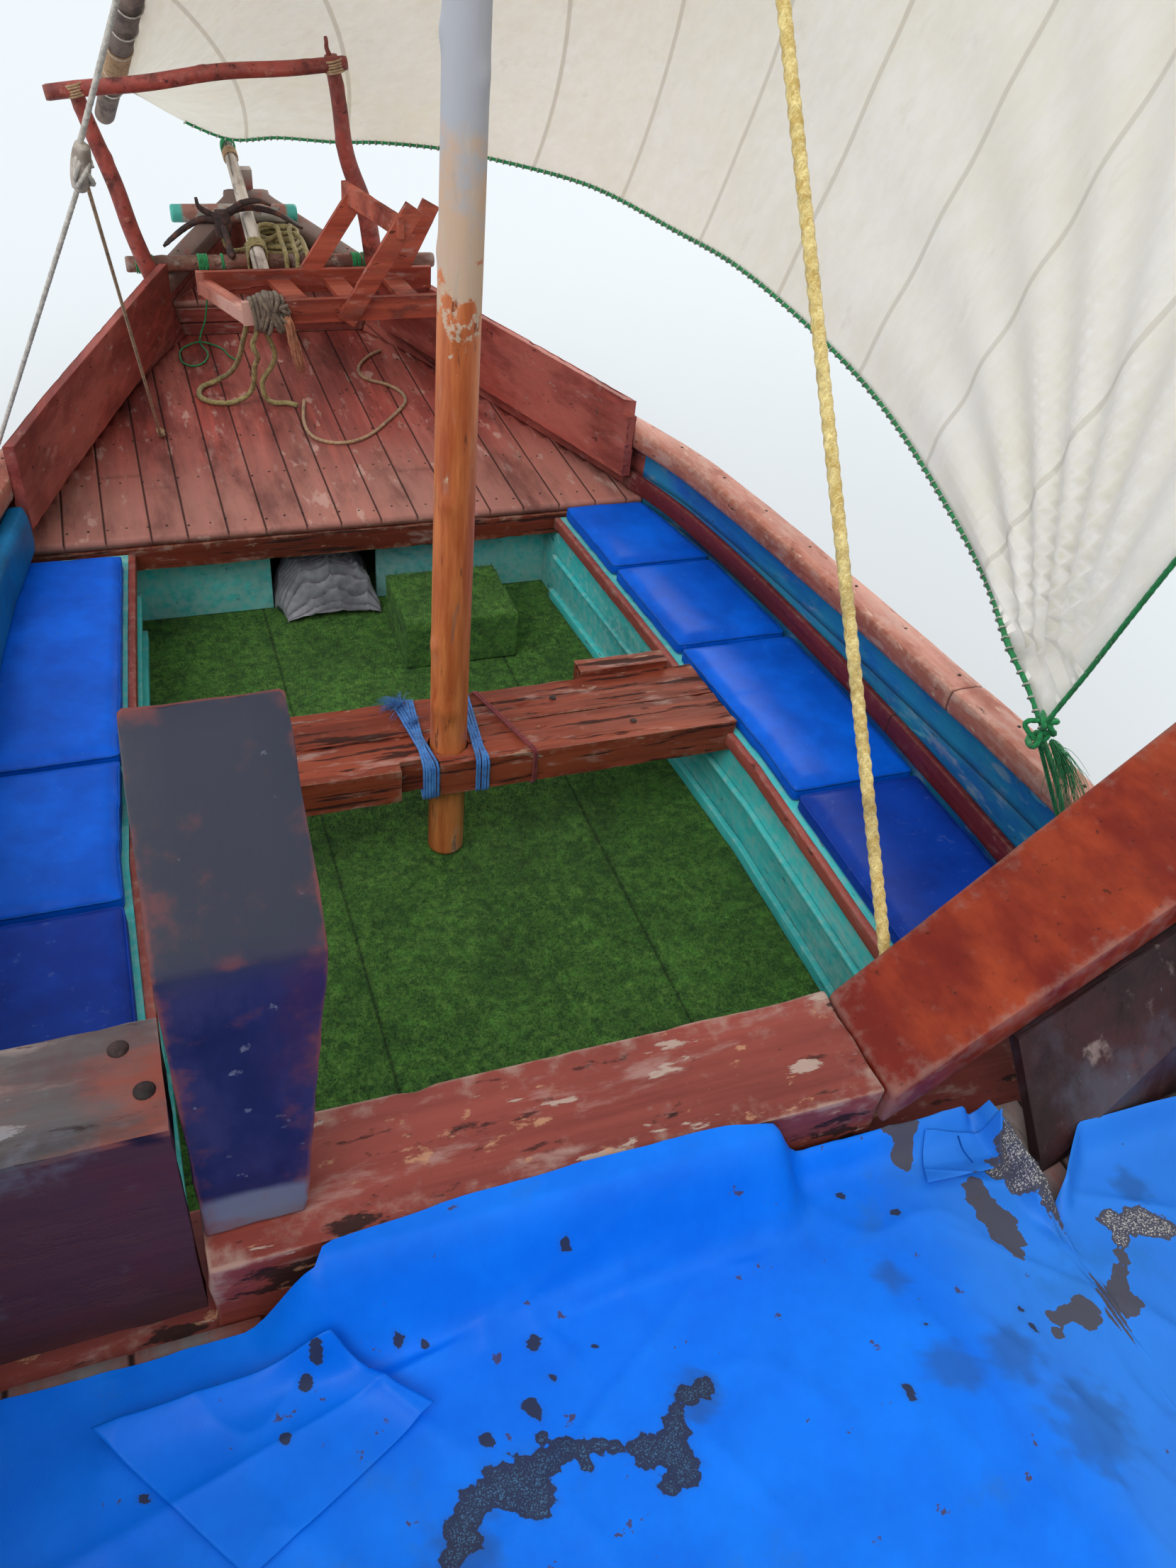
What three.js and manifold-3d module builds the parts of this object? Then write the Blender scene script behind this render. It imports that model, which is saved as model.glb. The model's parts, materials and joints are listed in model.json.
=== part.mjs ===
// A wooden lateen-rigged dhow of about eleven metres, with an open waist for passengers, a foredeck
// and a raised poop. Millimetres, +X to starboard, +Y to the bow, +Z up. The origin is on the
// centreline at the waterline, below the mast.
import * as THREE from 'three';
import { mergeVertices } from 'three/addons/utils/BufferGeometryUtils.js';
import Module from 'manifold-3d';

const wasm = await Module();
wasm.setup();

// Driving dimensions
const GAP = 0.3; // between pieces that touch
const HULL_THICK = 50; // planking and frames together, as seen at the rim
const STERN_Y = -5900; // after end of the planking, before the transom's rake
const BOW_Y = 4760; // where the planking meets the stem at the rail
const TRANSOM_RAKE = 0.22; // how far aft the transom leans for each unit of height
const RAKE_FROM_Y = -3600; // forward of this the stations are upright
const RAKE_FROM_Z = 350;
const KEEL_BOTTOM = -950;
const FLOOR_Z = 100; // top of the turf floor
const FLOOR_THICK = 30;
const FOREDECK_Z = 600;
const FOREDECK_THICK = 40;
const FOREDECK_AFT_Y = 1600;
const BENCH_Z = 534; // top of the bench board
const BENCH_FRONT_X = 1100;
const BENCH_FRONT_THICK = 25;
const CUSHION_THICK = 62;
const POOP_Y = -2150; // forward face of the beam at the break of the poop
const POOP_Z = 1550; // top of the poop deck
const POOP_BEAM_Z = 1700; // top of the beam
const POOP_BEAM_WIDTH = 220;
const WING_Z = 2000; // top of the port wing timber
const WING_DEPTH = 85; // of the starboard wing timber
const CAP_THICK = 95;
const CAP_WIDTH = 135;
const MAST_Y = -20;
const MAST_FOOT_R = 67;
const MAST_TRUCK_R = 52;
const MAST_TRUCK_Z = 5650;
const MAST_BEAM_Z = 600;
const MAST_HEAD_SLING_Z = 5150;
const KEEL_HALF = 45; // half the siding of the keel, stem and sternpost
const KEEL_SEAT = 30; // half-breadth of the planking where it lands on the keel
const STEM_HEAD_Z = 1222;
const STERNPOST_TOP = 2400;
const STERNPOST_DEPTH = 130;
const TRANSOM_TOP = 2290;
const RUDDER_AXIS_OFFSET = 60; // pivot line aft of the sternpost
const RUDDER_THICK = 56;
const RUDDER_HEAD_Z = 2170; // along the pivot line
const PINTLE_R = 12;
const GUDGEON_ZS = [-850, 0, 900];
const STEP_FORE_Y = -1420; // the rail's sweep up to the poop
const STEP_AFT_Y = -1740;
const CAP_OVERHANG = 25;
const STRAKE_BELOW_RAIL = 240;
const STRAKE_DEPTH = 80;
const STRAKE_THICK = 40;
const STRINGER_Z = 606;
const STRINGER_THICK = 34; // stringer drawn on the planking behind the cushions
const BULKHEAD_Y = 1740;
const LOCKER_X = [-370, 120]; // the opening under the foredeck
const BOW_DECK_Z = 790;
const BOW_DECK_AFT_Y = 3840;
const WASHBOARD_TOP = 1057;
const WASHBOARD_THICK = 45;
const POOP_DECK_THICK = 35;
const CATBEAM_Z = 996.5; // log across the rails in the bow
const CATBEAM_R = 42;
const BOWSPRIT_R = 40;
const BOWSPRIT_SLOPE = 0.194; // so that it also rests on the stem head
const MOORING_BAR_R = 50;
const LADDER_DEPTH = 112;
const LADDER_THICK = 36;
const SINNET_R = 14; // radii of the ropes on the bow
const LINE_R = 5;
const TAN_R = 9;
const ANCHOR_ROPE_R = 14;
const YARD_OFF_MAST = 139; // yard's axis to starboard of the mast's axis at the sling
const YARD_R = 80; // at the sling
const YARD_LENGTH = 13600;
const YARD_SLING_RUN = 6516; // from the yard's heel to the mast
const SAIL_THICK = 12;
const SAIL_BELLY = 500;
const LEECH_HOLLOW = 550;
const SAIL_HEAD_RUN = [350, 13350]; // where the sail's head starts and ends along the yard

// Colours, roughness and metalness of the finishes
const FINISH = {
  hullRed: [0x7d2a1c, 0.75, 0],
  capRed: [0x9c4a32, 0.8, 0],
  redWood: [0x8a2f1e, 0.7, 0],
  wornRed: [0x7a3a2c, 0.85, 0],
  darkWood: [0x4a2a22, 0.85, 0],
  keelWood: [0x3f2a20, 0.9, 0],
  turquoise: [0x2f8f8c, 0.6, 0],
  turf: [0x2c4a1c, 1, 0],
  vinyl: [0x1550b8, 0.5, 0],
  tarp: [0x0a6fe0, 0.45, 0],
  spar: [0x9a7a52, 0.75, 0],
  sail: [0xe9e2d2, 0.9, 0],
  yellowRope: [0xd2b455, 0.9, 0],
  paleRope: [0xc4b7a2, 0.95, 0],
  oliveRope: [0x6f6440, 0.95, 0],
  greenRope: [0x0c7a3c, 0.9, 0],
  iron: [0x2b2422, 0.8, 0.6],
  greyCloth: [0x8b8a90, 0.95, 0],
  greyWood: [0x8c857c, 0.9, 0],
};

const dhow = new THREE.Group();
dhow.name = 'dhow';

function add(name, geometry, finish, parent = dhow) {
  const [color, roughness, metalness] = FINISH[finish];
  const material = new THREE.MeshStandardMaterial({ color, roughness, metalness });
  const mesh = new THREE.Mesh(geometry, material);
  mesh.name = name;
  parent.add(mesh);
  return mesh;
}

// A smooth curve through rows of [position, value], by cubic Hermite pieces
function curveThrough(rows) {
  const slope = rows.map((row, i) => {
    const a = rows[Math.max(i - 1, 0)];
    const b = rows[Math.min(i + 1, rows.length - 1)];
    return (b[1] - a[1]) / (b[0] - a[0]);
  });
  return (at) => {
    const x = THREE.MathUtils.clamp(at, rows[0][0], rows[rows.length - 1][0]);
    let i = 0;
    while (i < rows.length - 2 && x > rows[i + 1][0]) i += 1;
    const h = rows[i + 1][0] - rows[i][0];
    const t = (x - rows[i][0]) / h;
    const t2 = t * t;
    const t3 = t2 * t;
    return (2 * t3 - 3 * t2 + 1) * rows[i][1] + (t3 - 2 * t2 + t) * h * slope[i]
      + (3 * t2 - 2 * t3) * rows[i + 1][1] + (t3 - t2) * h * slope[i + 1];
  };
}

// Solids from three.js geometry, for cutting and joining
function solidOf(geometry) {
  const bare = new THREE.BufferGeometry();
  bare.setAttribute('position', geometry.getAttribute('position'));
  if (geometry.index) bare.setIndex(geometry.index);
  const merged = mergeVertices(bare, 1e-3);
  const solid = new wasm.Manifold(new wasm.Mesh({
    numProp: 3,
    vertProperties: Float32Array.from(merged.getAttribute('position').array),
    triVerts: Uint32Array.from(merged.index.array),
  }));
  return solid;
}

function geometryOf(solid) {
  const mesh = solid.getMesh();
  const geometry = new THREE.BufferGeometry();
  geometry.setAttribute('position', new THREE.BufferAttribute(Float32Array.from(mesh.vertProperties), 3));
  geometry.setIndex(new THREE.BufferAttribute(Uint32Array.from(mesh.triVerts), 1));
  return geometry;
}

const join = (...geometries) => geometryOf(geometries.map(solidOf).reduce((a, b) => a.add(b)));
const cut = (geometry, ...tools) => geometryOf(tools.map(solidOf).reduce((a, b) => a.subtract(b), solidOf(geometry)));
const overlap = (a, b) => geometryOf(solidOf(a).intersect(solidOf(b)));

// A closed skin over rings of points. Every ring has the same even count, and its point k lies
// across from its point count-1-k, so the ends close in strips.
function skin(rings) {
  const count = rings[0].length;
  const positions = rings.flat().flatMap((p) => [p.x, p.y, p.z]);
  const index = [];
  const quad = (a, b, c, d) => index.push(a, b, c, a, c, d);
  for (let i = 0; i < rings.length - 1; i += 1) {
    for (let k = 0; k < count; k += 1) {
      const n = (k + 1) % count;
      quad(i * count + k, i * count + n, (i + 1) * count + n, (i + 1) * count + k);
    }
  }
  const last = (rings.length - 1) * count;
  for (let k = 0; k < count / 2 - 1; k += 1) {
    quad(k, count - 1 - k, count - 2 - k, k + 1);
    quad(last + k, last + k + 1, last + count - 2 - k, last + count - 1 - k);
  }
  const geometry = new THREE.BufferGeometry();
  geometry.setAttribute('position', new THREE.Float32BufferAttribute(positions, 3));
  geometry.setIndex(index);
  return facingOut(geometry);
}

function facingOut(geometry) {
  const p = geometry.getAttribute('position');
  const ids = geometry.index.array;
  const a = new THREE.Vector3();
  const b = new THREE.Vector3();
  const c = new THREE.Vector3();
  let volume = 0;
  for (let i = 0; i < ids.length; i += 3) {
    a.fromBufferAttribute(p, ids[i]);
    b.fromBufferAttribute(p, ids[i + 1]);
    c.fromBufferAttribute(p, ids[i + 2]);
    volume += a.dot(b.cross(c));
  }
  if (volume < 0) {
    const turned = Array.from(ids);
    for (let i = 0; i < turned.length; i += 3) [turned[i], turned[i + 1]] = [turned[i + 1], turned[i]];
    geometry.setIndex(turned);
  }
  return geometry;
}

const V = (x, y, z) => new THREE.Vector3(x, y, z);

function box([x0, x1], [y0, y1], [z0, z1]) {
  const geometry = new THREE.BoxGeometry(x1 - x0, y1 - y0, z1 - z0);
  geometry.translate((x0 + x1) / 2, (y0 + y1) / 2, (z0 + z1) / 2);
  return geometry;
}

// A plank or timber given by its four corners at each end
function timber(endA, endB) {
  return skin([endA, endB]);
}

// A straight square timber between two points, with a width across and a depth, upright side up
function spanTimber(a, b, width, depth) {
  const along = b.clone().sub(a).normalize();
  const side = new THREE.Vector3().crossVectors(along, Math.abs(along.z) > 0.9 ? V(0, 1, 0) : V(0, 0, 1)).normalize();
  const up = new THREE.Vector3().crossVectors(side, along);
  const ring = (p) => [[-1, -1], [-1, 1], [1, 1], [1, -1]].map(([s, u]) => p.clone()
    .addScaledVector(side, s * width / 2).addScaledVector(up, u * depth / 2));
  return skin([ring(a), ring(b)]);
}

// A round bar with a radius at each point of its route
function roundBar(points, radii, sides = 10) {
  const rings = points.map((p, i) => {
    const before = points[Math.max(i - 1, 0)];
    const after = points[Math.min(i + 1, points.length - 1)];
    const along = after.clone().sub(before).normalize();
    const side = new THREE.Vector3().crossVectors(along, Math.abs(along.z) > 0.9 ? V(0, 1, 0) : V(0, 0, 1)).normalize();
    const up = new THREE.Vector3().crossVectors(side, along);
    const r = Array.isArray(radii) ? radii[i] : radii;
    return Array.from({ length: sides }, (_, k) => {
      const turn = ((k + 0.5) / sides) * 2 * Math.PI;
      return p.clone().addScaledVector(side, r * Math.cos(turn)).addScaledVector(up, r * Math.sin(turn));
    });
  });
  return skin(rings);
}

// A slab with a plan outline and two heights
function slab(outline, [z0, z1]) {
  const shape = new THREE.Shape(outline.map(([x, y]) => new THREE.Vector2(x, y)));
  const geometry = new THREE.ExtrudeGeometry(shape, { depth: z1 - z0, bevelEnabled: false });
  geometry.translate(0, 0, z0);
  return geometry;
}

// Hull lines: half-breadth at the rail, height of the rail's smooth run, and height of the keel or
// stem line, each against the distance forward of the mast
const railHalf = curveThrough([
  [-6200, 1060], [-5000, 1340], [-3500, 1560], [-2200, 1655], [-1250, 1680], [-650, 1675], [250, 1635],
  [1250, 1520], [1750, 1385], [2500, 1110], [3250, 840], [3750, 640], [4400, 280], [4760, 45],
]);
const sheer = curveThrough([
  [-6200, 1300], [-4500, 1190], [-2500, 1110], [-1250, 1050], [0, 970], [1250, 930], [2500, 910],
  [3750, 945], [4400, 1040], [4760, 1120],
]);
const keelLine = curveThrough([
  [-6200, -560], [-5000, -640], [-3000, -700], [0, -700], [2600, -600], [3300, -420], [3800, -80],
  [4200, 310], [4500, 640], [4760, 960],
]);
// How full the sections are: 1 is a straight V, larger is rounder
const fullness = curveThrough([
  [-6200, 1.5], [-5000, 2.1], [-3000, 2.8], [0, 3.0], [2000, 2.5], [3300, 1.7], [4760, 1.15],
]);
const poopSheer = curveThrough([[-6200, 2380], [-4500, 2180], [-2200, 2085], [-1700, 2080]]);

// The rail rises in a short sweep from the waist to the poop
function railTop(y) {
  const t = THREE.MathUtils.smoothstep(-y, -STEP_FORE_Y, -STEP_AFT_Y);
  return sheer(y) * (1 - t) + poopSheer(y) * t;
}

// The cap rail keeps its thickness square to the rail where the rail is steep
function capDepth(y) {
  const slope = (railTop(y + 10) - railTop(y - 10)) / 20;
  return CAP_THICK * Math.sqrt(1 + Math.min(slope * slope, 8));
}

function outerHalf(y, z) {
  const low = keelLine(y);
  const s = THREE.MathUtils.clamp((z - low) / (sheer(y) - low), 0, 1);
  const run = Math.sqrt(Math.max(1 - (1 - s) ** fullness(y), 0));
  const hollow = THREE.MathUtils.smoothstep(-y, 3800, 6000) * 0.45 * (1 - s) * Math.min(s * 3, 1);
  const above = Math.max(z - sheer(y), 0);
  return Math.max(railHalf(y) * (run - hollow) - 0.03 * above, 0) + KEEL_SEAT;
}

const innerHalf = (y, z) => Math.max(outerHalf(y, z) - HULL_THICK, 8);

// A station's place at a height, allowing for the transom's rake
function stationY(y, z) {
  const lean = THREE.MathUtils.smoothstep(-y, -RAKE_FROM_Y, 5800);
  return y - lean * TRANSOM_RAKE * (z - RAKE_FROM_Z);
}

const STATIONS = [-5500, -5000, -4400, -3700, -3000, -2400, -2000, -1740, -1660, -1580, -1500, -1420,
  -1000, -500, 0, 500, 1000, 1500, 2000, 2500, 3000, 3400, 3750, 4050, 4350, 4600];
const HEIGHT_STEPS = [0, 0.03, 0.09, 0.18, 0.3, 0.45, 0.62, 0.8, 1];

function stationsBetween(from, to) {
  return [from, ...STATIONS.filter((y) => y > from + 40 && y < to - 40), to];
}

function hullSolid({ half, low, top, from, to, shrink = 0 }) {
  return skin(stationsBetween(from, to).map((y) => {
    const z0 = low(y);
    const z1 = top(y);
    const side = HEIGHT_STEPS.map((f) => {
      const z = z0 + (z1 - z0) * f;
      return [Math.max(half(y, z) - shrink, 5), stationY(y, z), z];
    });
    return [...side.slice().reverse().map(([x, yy, z]) => V(-x, yy, z)), ...side.map(([x, yy, z]) => V(x, yy, z))];
  }));
}

// The open space inside the planking; shrunk by the gap it trims what fits inside
const innerSpace = (shrink) => hullSolid({
  half: innerHalf, low: (y) => keelLine(y) + 110 + shrink, top: (y) => railTop(y) + 260, from: STERN_Y - 300, to: 4640, shrink,
});
const inside = innerSpace(GAP);
const outerSpace = (grow) => hullSolid({
  half: (y, z) => outerHalf(y, z) + grow,
  low: (y) => keelLine(y) - grow,
  top: (y) => railTop(y) - capDepth(y) - GAP,
  from: STERN_Y,
  to: BOW_Y + grow,
});
add('hull_planking', cut(outerSpace(0), innerSpace(0)), 'hullRed');
const offTheHull = outerSpace(GAP);

// Each side has its own bar along the rail or the planking. The section's corners are given as
// [distance out from the centreline, height], lower inner corner first, going round.
function sideBar(side, ys, section) {
  return skin(ys.map((y) => section(y).map(([x, z]) => V(side * x, stationY(y, z), z))));
}
const capSection = (grow) => (y) => {
  const top = railTop(y) + grow;
  const bottom = railTop(y) - capDepth(y) - grow;
  const out = outerHalf(y, railTop(y)) + CAP_OVERHANG + grow;
  const inner = Math.max(out - CAP_WIDTH - 2 * grow, GAP);
  return [[inner, bottom], [inner, top], [out, top], [out, bottom]];
};
const capStations = stationsBetween(STERN_Y, BOW_Y);
const SIDES = [['port', -1], ['stbd', 1]];
const capBar = (side, grow = 0) => sideBar(side, capStations, capSection(grow));
const trimmedByCaps = (geometry) => cut(geometry, capBar(-1, GAP), capBar(1, GAP));
SIDES.forEach(([name, side]) => add(`cap_rail_${name}`, capBar(side), 'capRed'));

// Rubbing strake outside, a little below the rail
const strake = (side) => sideBar(side, stationsBetween(-5750, 4500), (y) => {
  const z = sheer(y) - STRAKE_BELOW_RAIL;
  const half = STRAKE_DEPTH / 2;
  const face = outerHalf(y, z);
  return [[face - 40, z - half], [face - 40, z + half], [face + STRAKE_THICK, z + half], [face + STRAKE_THICK, z - half]];
});
SIDES.forEach(([name, side]) => add(`rubbing_strake_${name}`, cut(strake(side), offTheHull, inside), 'wornRed'));

// Keel, stem and sternpost in one piece on the centreline. The outline runs along the keel's
// underside, up the stem, back under the planking and up the sternpost, as [y, z].
function keelGeometry() {
  const stem = [
    [3050, KEEL_BOTTOM + 60], [3500, -560], [4020, -40], [4420, 420], [4700, 760],
    [5000, 1180], [4860, STEM_HEAD_Z], [4775, STEM_HEAD_Z], [4775, 1010],
  ];
  const under = [];
  for (let y = 4720; y >= -5400; y -= 460) under.push([y, keelLine(y) - 1 - GAP]);
  const post = (y, z) => [stationY(STERN_Y, z) + y, z];
  const outline = [...stem, ...under, post(-GAP, keelLine(STERN_Y)), post(-GAP, STERNPOST_TOP),
    post(-STERNPOST_DEPTH, STERNPOST_TOP), post(-STERNPOST_DEPTH, KEEL_BOTTOM)];
  const shape = new THREE.Shape(outline.map(([y, z]) => new THREE.Vector2(y, z)));
  const geometry = new THREE.ExtrudeGeometry(shape, { depth: 2 * KEEL_HALF, bevelEnabled: false });
  // the shape's own axes are Y and Z, and it is extruded along X
  geometry.applyMatrix4(new THREE.Matrix4().makeBasis(V(0, 1, 0), V(0, 0, 1), V(1, 0, 0)));
  geometry.translate(-KEEL_HALF, 0, 0);
  return geometry;
}

// The rudder hangs on the raked sternpost. Its frame has +Z up the pivot line and +Y forward.
const steering = new THREE.Group();
steering.position.set(0, stationY(STERN_Y, RAKE_FROM_Z) - STERNPOST_DEPTH - RUDDER_AXIS_OFFSET, RAKE_FROM_Z);
steering.rotation.x = Math.atan(TRANSOM_RAKE);
dhow.add(steering);
steering.updateMatrixWorld(true);
const gudgeon = (z) => cut(
  box([-30, 30], [-22, RUDDER_AXIS_OFFSET + 30], [z - 12, z + 12]),
  new THREE.CylinderGeometry(PINTLE_R + 1, PINTLE_R + 1, 60, 16).rotateX(Math.PI / 2).translate(0, 0, z),
);
const gudgeons = GUDGEON_ZS.map((z) => gudgeon(z).applyMatrix4(steering.matrix));
add('keel_stem_sternpost', join(cut(keelGeometry(), offTheHull), ...gudgeons), 'keelWood');

function rudderGeometry() {
  // blade outline as [aft of the pivot line, height along it]
  const blade = [[-20, -1130], [650, -1130], [690, -700], [600, -150], [420, 350], [220, 800], [-20, 1000]];
  const shape = new THREE.Shape(blade.map(([aft, z]) => new THREE.Vector2(-aft, z)));
  const plate = new THREE.ExtrudeGeometry(shape, { depth: RUDDER_THICK, bevelEnabled: false });
  plate.applyMatrix4(new THREE.Matrix4().makeBasis(V(0, 1, 0), V(0, 0, 1), V(1, 0, 0)));
  plate.translate(-RUDDER_THICK / 2, 0, 0);
  const height = RUDDER_HEAD_Z + 1130;
  const mid = (RUDDER_HEAD_Z - 1130) / 2;
  const stock = box([-50, 50], [-130, 0], [-1130, RUDDER_HEAD_Z]);
  const nose = new THREE.CylinderGeometry(50, 50, height, 16).rotateX(Math.PI / 2).translate(0, 0, mid);
  const notches = GUDGEON_ZS.map((z) => box([-80, 80], [-62, 80], [z - 20, z + 20]));
  const pins = GUDGEON_ZS.map((z) => new THREE.CylinderGeometry(PINTLE_R, PINTLE_R, 60, 12)
    .rotateX(Math.PI / 2).translate(0, 0, z));
  return join(cut(join(plate, stock, nose), ...notches), ...pins);
}
add('rudder', rudderGeometry(), 'hullRed', steering);
// the tiller's stations as [forward of the pivot line, height above the rudder head, half width]
const TILLER = [[-150, 36, 36], [200, 36, 34], [900, -60, 28], [1650, -190, 22]];
add('tiller', skin(TILLER.map(([y, up, half]) => {
  const z = RUDDER_HEAD_Z + up + GAP;
  return [V(-half, y, z - half), V(-half, y, z + half), V(half, y, z + half), V(half, y, z - half)];
})), 'darkWood', steering);

// Transom and the rail across its top
const aftPlane = (y, z) => stationY(STERN_Y, z) + y;
const transomBlock = timber(
  [V(-2000, aftPlane(GAP, -700), -700), V(-2000, aftPlane(50, -700), -700), V(2000, aftPlane(50, -700), -700), V(2000, aftPlane(GAP, -700), -700)],
  [V(-2000, aftPlane(GAP, TRANSOM_TOP), TRANSOM_TOP), V(-2000, aftPlane(50, TRANSOM_TOP), TRANSOM_TOP),
    V(2000, aftPlane(50, TRANSOM_TOP), TRANSOM_TOP), V(2000, aftPlane(GAP, TRANSOM_TOP), TRANSOM_TOP)],
);
add('transom', trimmedByCaps(overlap(transomBlock, inside)), 'hullRed');
add('taffrail', trimmedByCaps(overlap(
  box([-1040, 1040], [aftPlane(GAP, TRANSOM_TOP), aftPlane(150, TRANSOM_TOP)], [TRANSOM_TOP + GAP, TRANSOM_TOP + 80]), inside,
)), 'capRed');

// Floor of the waist, running on under the foredeck, covered with turf
add('floor_turf', overlap(box([-2000, 2000], [-2240, 2500], [FLOOR_Z - FLOOR_THICK, FLOOR_Z]), inside), 'turf');
add('turf_step', box([120, 640], [1120, 1550], [FLOOR_Z + GAP, FLOOR_Z + 240]), 'turf');

// Foredeck, its beam, the panels below it and the little deck in the bow
add('foredeck', overlap(box([-2000, 2000], [FOREDECK_AFT_Y, 3940], [FOREDECK_Z - FOREDECK_THICK, FOREDECK_Z]), inside), 'redWood');
const underDeck = FOREDECK_Z - FOREDECK_THICK - GAP;
add('foredeck_beam', overlap(box([-2000, 2000], [FOREDECK_AFT_Y - 10, BULKHEAD_Y - GAP], [445, underDeck]), inside), 'darkWood');
const lockerSides = [['port', -2000, LOCKER_X[0]], ['stbd', LOCKER_X[1], 2000]];
lockerSides.forEach(([name, x0, x1]) => add(`bulkhead_panel_${name}`, overlap(
  box([x0, x1], [BULKHEAD_Y, BULKHEAD_Y + 25], [FLOOR_Z + GAP, underDeck]), inside,
), 'turquoise'));
add('bow_deck', trimmedByCaps(overlap(join(
  box([-1000, 1000], [BOW_DECK_AFT_Y, 4630], [BOW_DECK_Z - 40, BOW_DECK_Z]),
  box([-1000, 1000], [BOW_DECK_AFT_Y, BOW_DECK_AFT_Y + 30], [FOREDECK_Z + GAP, BOW_DECK_Z - 20]),
), inside)), 'redWood');

// Inner bulwark boards beside the foredeck; the starboard one is rotten and broken at its after end
SIDES.forEach(([name, side]) => {
  const from = side > 0 ? 1650 : 1575;
  const section = (y) => {
    const out = outerHalf(y, railTop(y)) + CAP_OVERHANG - CAP_WIDTH;
    return [[out - WASHBOARD_THICK, 690], [out - WASHBOARD_THICK, WASHBOARD_TOP], [out, WASHBOARD_TOP], [out, 690]];
  };
  let board = sideBar(side, stationsBetween(from, 3650), section);
  if (side > 0) {
    board = cut(
      board,
      spanTimber(V(1500, 1500, 1080), V(900, 1780, 1080), 160, 180),
      spanTimber(V(1500, 1560, 800), V(1000, 1640, 800), 120, 90),
    );
  }
  add(`washboard_${name}`, trimmedByCaps(board), 'redWood');
});

// Benches along both sides of the waist, and the thwart timbers that hold the mast between them
const frontLine = (inset) => [
  [BENCH_FRONT_X - inset, -2239], [BENCH_FRONT_X - inset, -300], [960 - inset, BULKHEAD_Y - GAP],
];
function benchOutline(side, inset, outer) {
  const front = frontLine(inset);
  return [...front, ...outer].map(([x, y]) => [side * x, y]);
}
const wall = [[2000, BULKHEAD_Y - GAP], [2000, -2239]];
const beamRoom = box([-2100, 2100], [FOREDECK_AFT_Y - 10 - GAP, 2000], [445 - GAP, 800]);
SIDES.forEach(([name, side]) => {
  const top = overlap(slab(benchOutline(side, 0, wall), [BENCH_Z - 34, BENCH_Z]), inside);
  const back = frontLine(-BENCH_FRONT_THICK).reverse();
  const front = slab(benchOutline(side, 0, back), [FLOOR_Z + GAP, BENCH_Z - 10]);
  add(`bench_${name}`, cut(join(top, front), beamRoom), 'turquoise');
});
const well = slab([...frontLine(GAP), ...frontLine(GAP).reverse().map(([x, y]) => [-x, y])], [0, 2000]);
const mastHole = new THREE.CylinderGeometry(MAST_FOOT_R + 1, MAST_FOOT_R + 1, 1000, 32)
  .rotateX(Math.PI / 2).translate(0, MAST_Y, 500);
const thwart = (ys, zs) => overlap(box([-2000, 2000], ys, zs), well);
add('mast_beam_fore', cut(join(
  thwart([52, 250], [MAST_BEAM_Z - 145, MAST_BEAM_Z]), box([590, 960], [240, 320], [MAST_BEAM_Z - 100, MAST_BEAM_Z + 35]),
), mastHole), 'wornRed');
add('mast_beam_aft', cut(
  thwart([-140, 51.5], [MAST_BEAM_Z - 145, MAST_BEAM_Z]), mastHole, box([-190, -60], [-160, -92], [400, 700]),
), 'wornRed');
add('mast', roundBar([V(0, MAST_Y, FLOOR_Z + GAP), V(0, MAST_Y, MAST_TRUCK_Z)], [MAST_FOOT_R, MAST_TRUCK_R], 16), 'spar');

// Cushions on the benches, as [name, side, after end, forward end], and the pads at the port side
const CUSHIONS = [
  ['cushion_port_fore', -1, 160, 1500], ['cushion_port_mid', -1, -520, 150], ['cushion_port_aft', -1, -2180, -530],
  ['cushion_stbd_corner', 1, 1020, 1580], ['cushion_stbd_fore', 1, 380, 1010], ['cushion_stbd_mid', 1, -560, 370],
  ['cushion_stbd_aft', 1, -2180, -570],
];
const roomForCushions = innerSpace(14);
CUSHIONS.forEach(([name, side, aft, fore]) => {
  const plan = slab(benchOutline(side, -12, wall), [BENCH_Z + GAP, BENCH_Z + CUSHION_THICK]);
  const part = overlap(plan, box([-2000, 2000], [aft, fore], [0, 2000]));
  add(name, overlap(part, roomForCushions), 'vinyl');
});
add('back_pad_port', sideBar(-1, [100, 460, 820, 1180, 1560], (y) => {
  const z0 = BENCH_Z + CUSHION_THICK + 0.5;
  const z1 = railTop(y) - capDepth(y) - 5;
  const out = innerHalf(y, STRINGER_Z) - GAP - 3 - STRINGER_THICK;
  return [[out - 62, z0], [out - 62, z1], [out, z1], [out, z0]];
}), 'vinyl');

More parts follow.
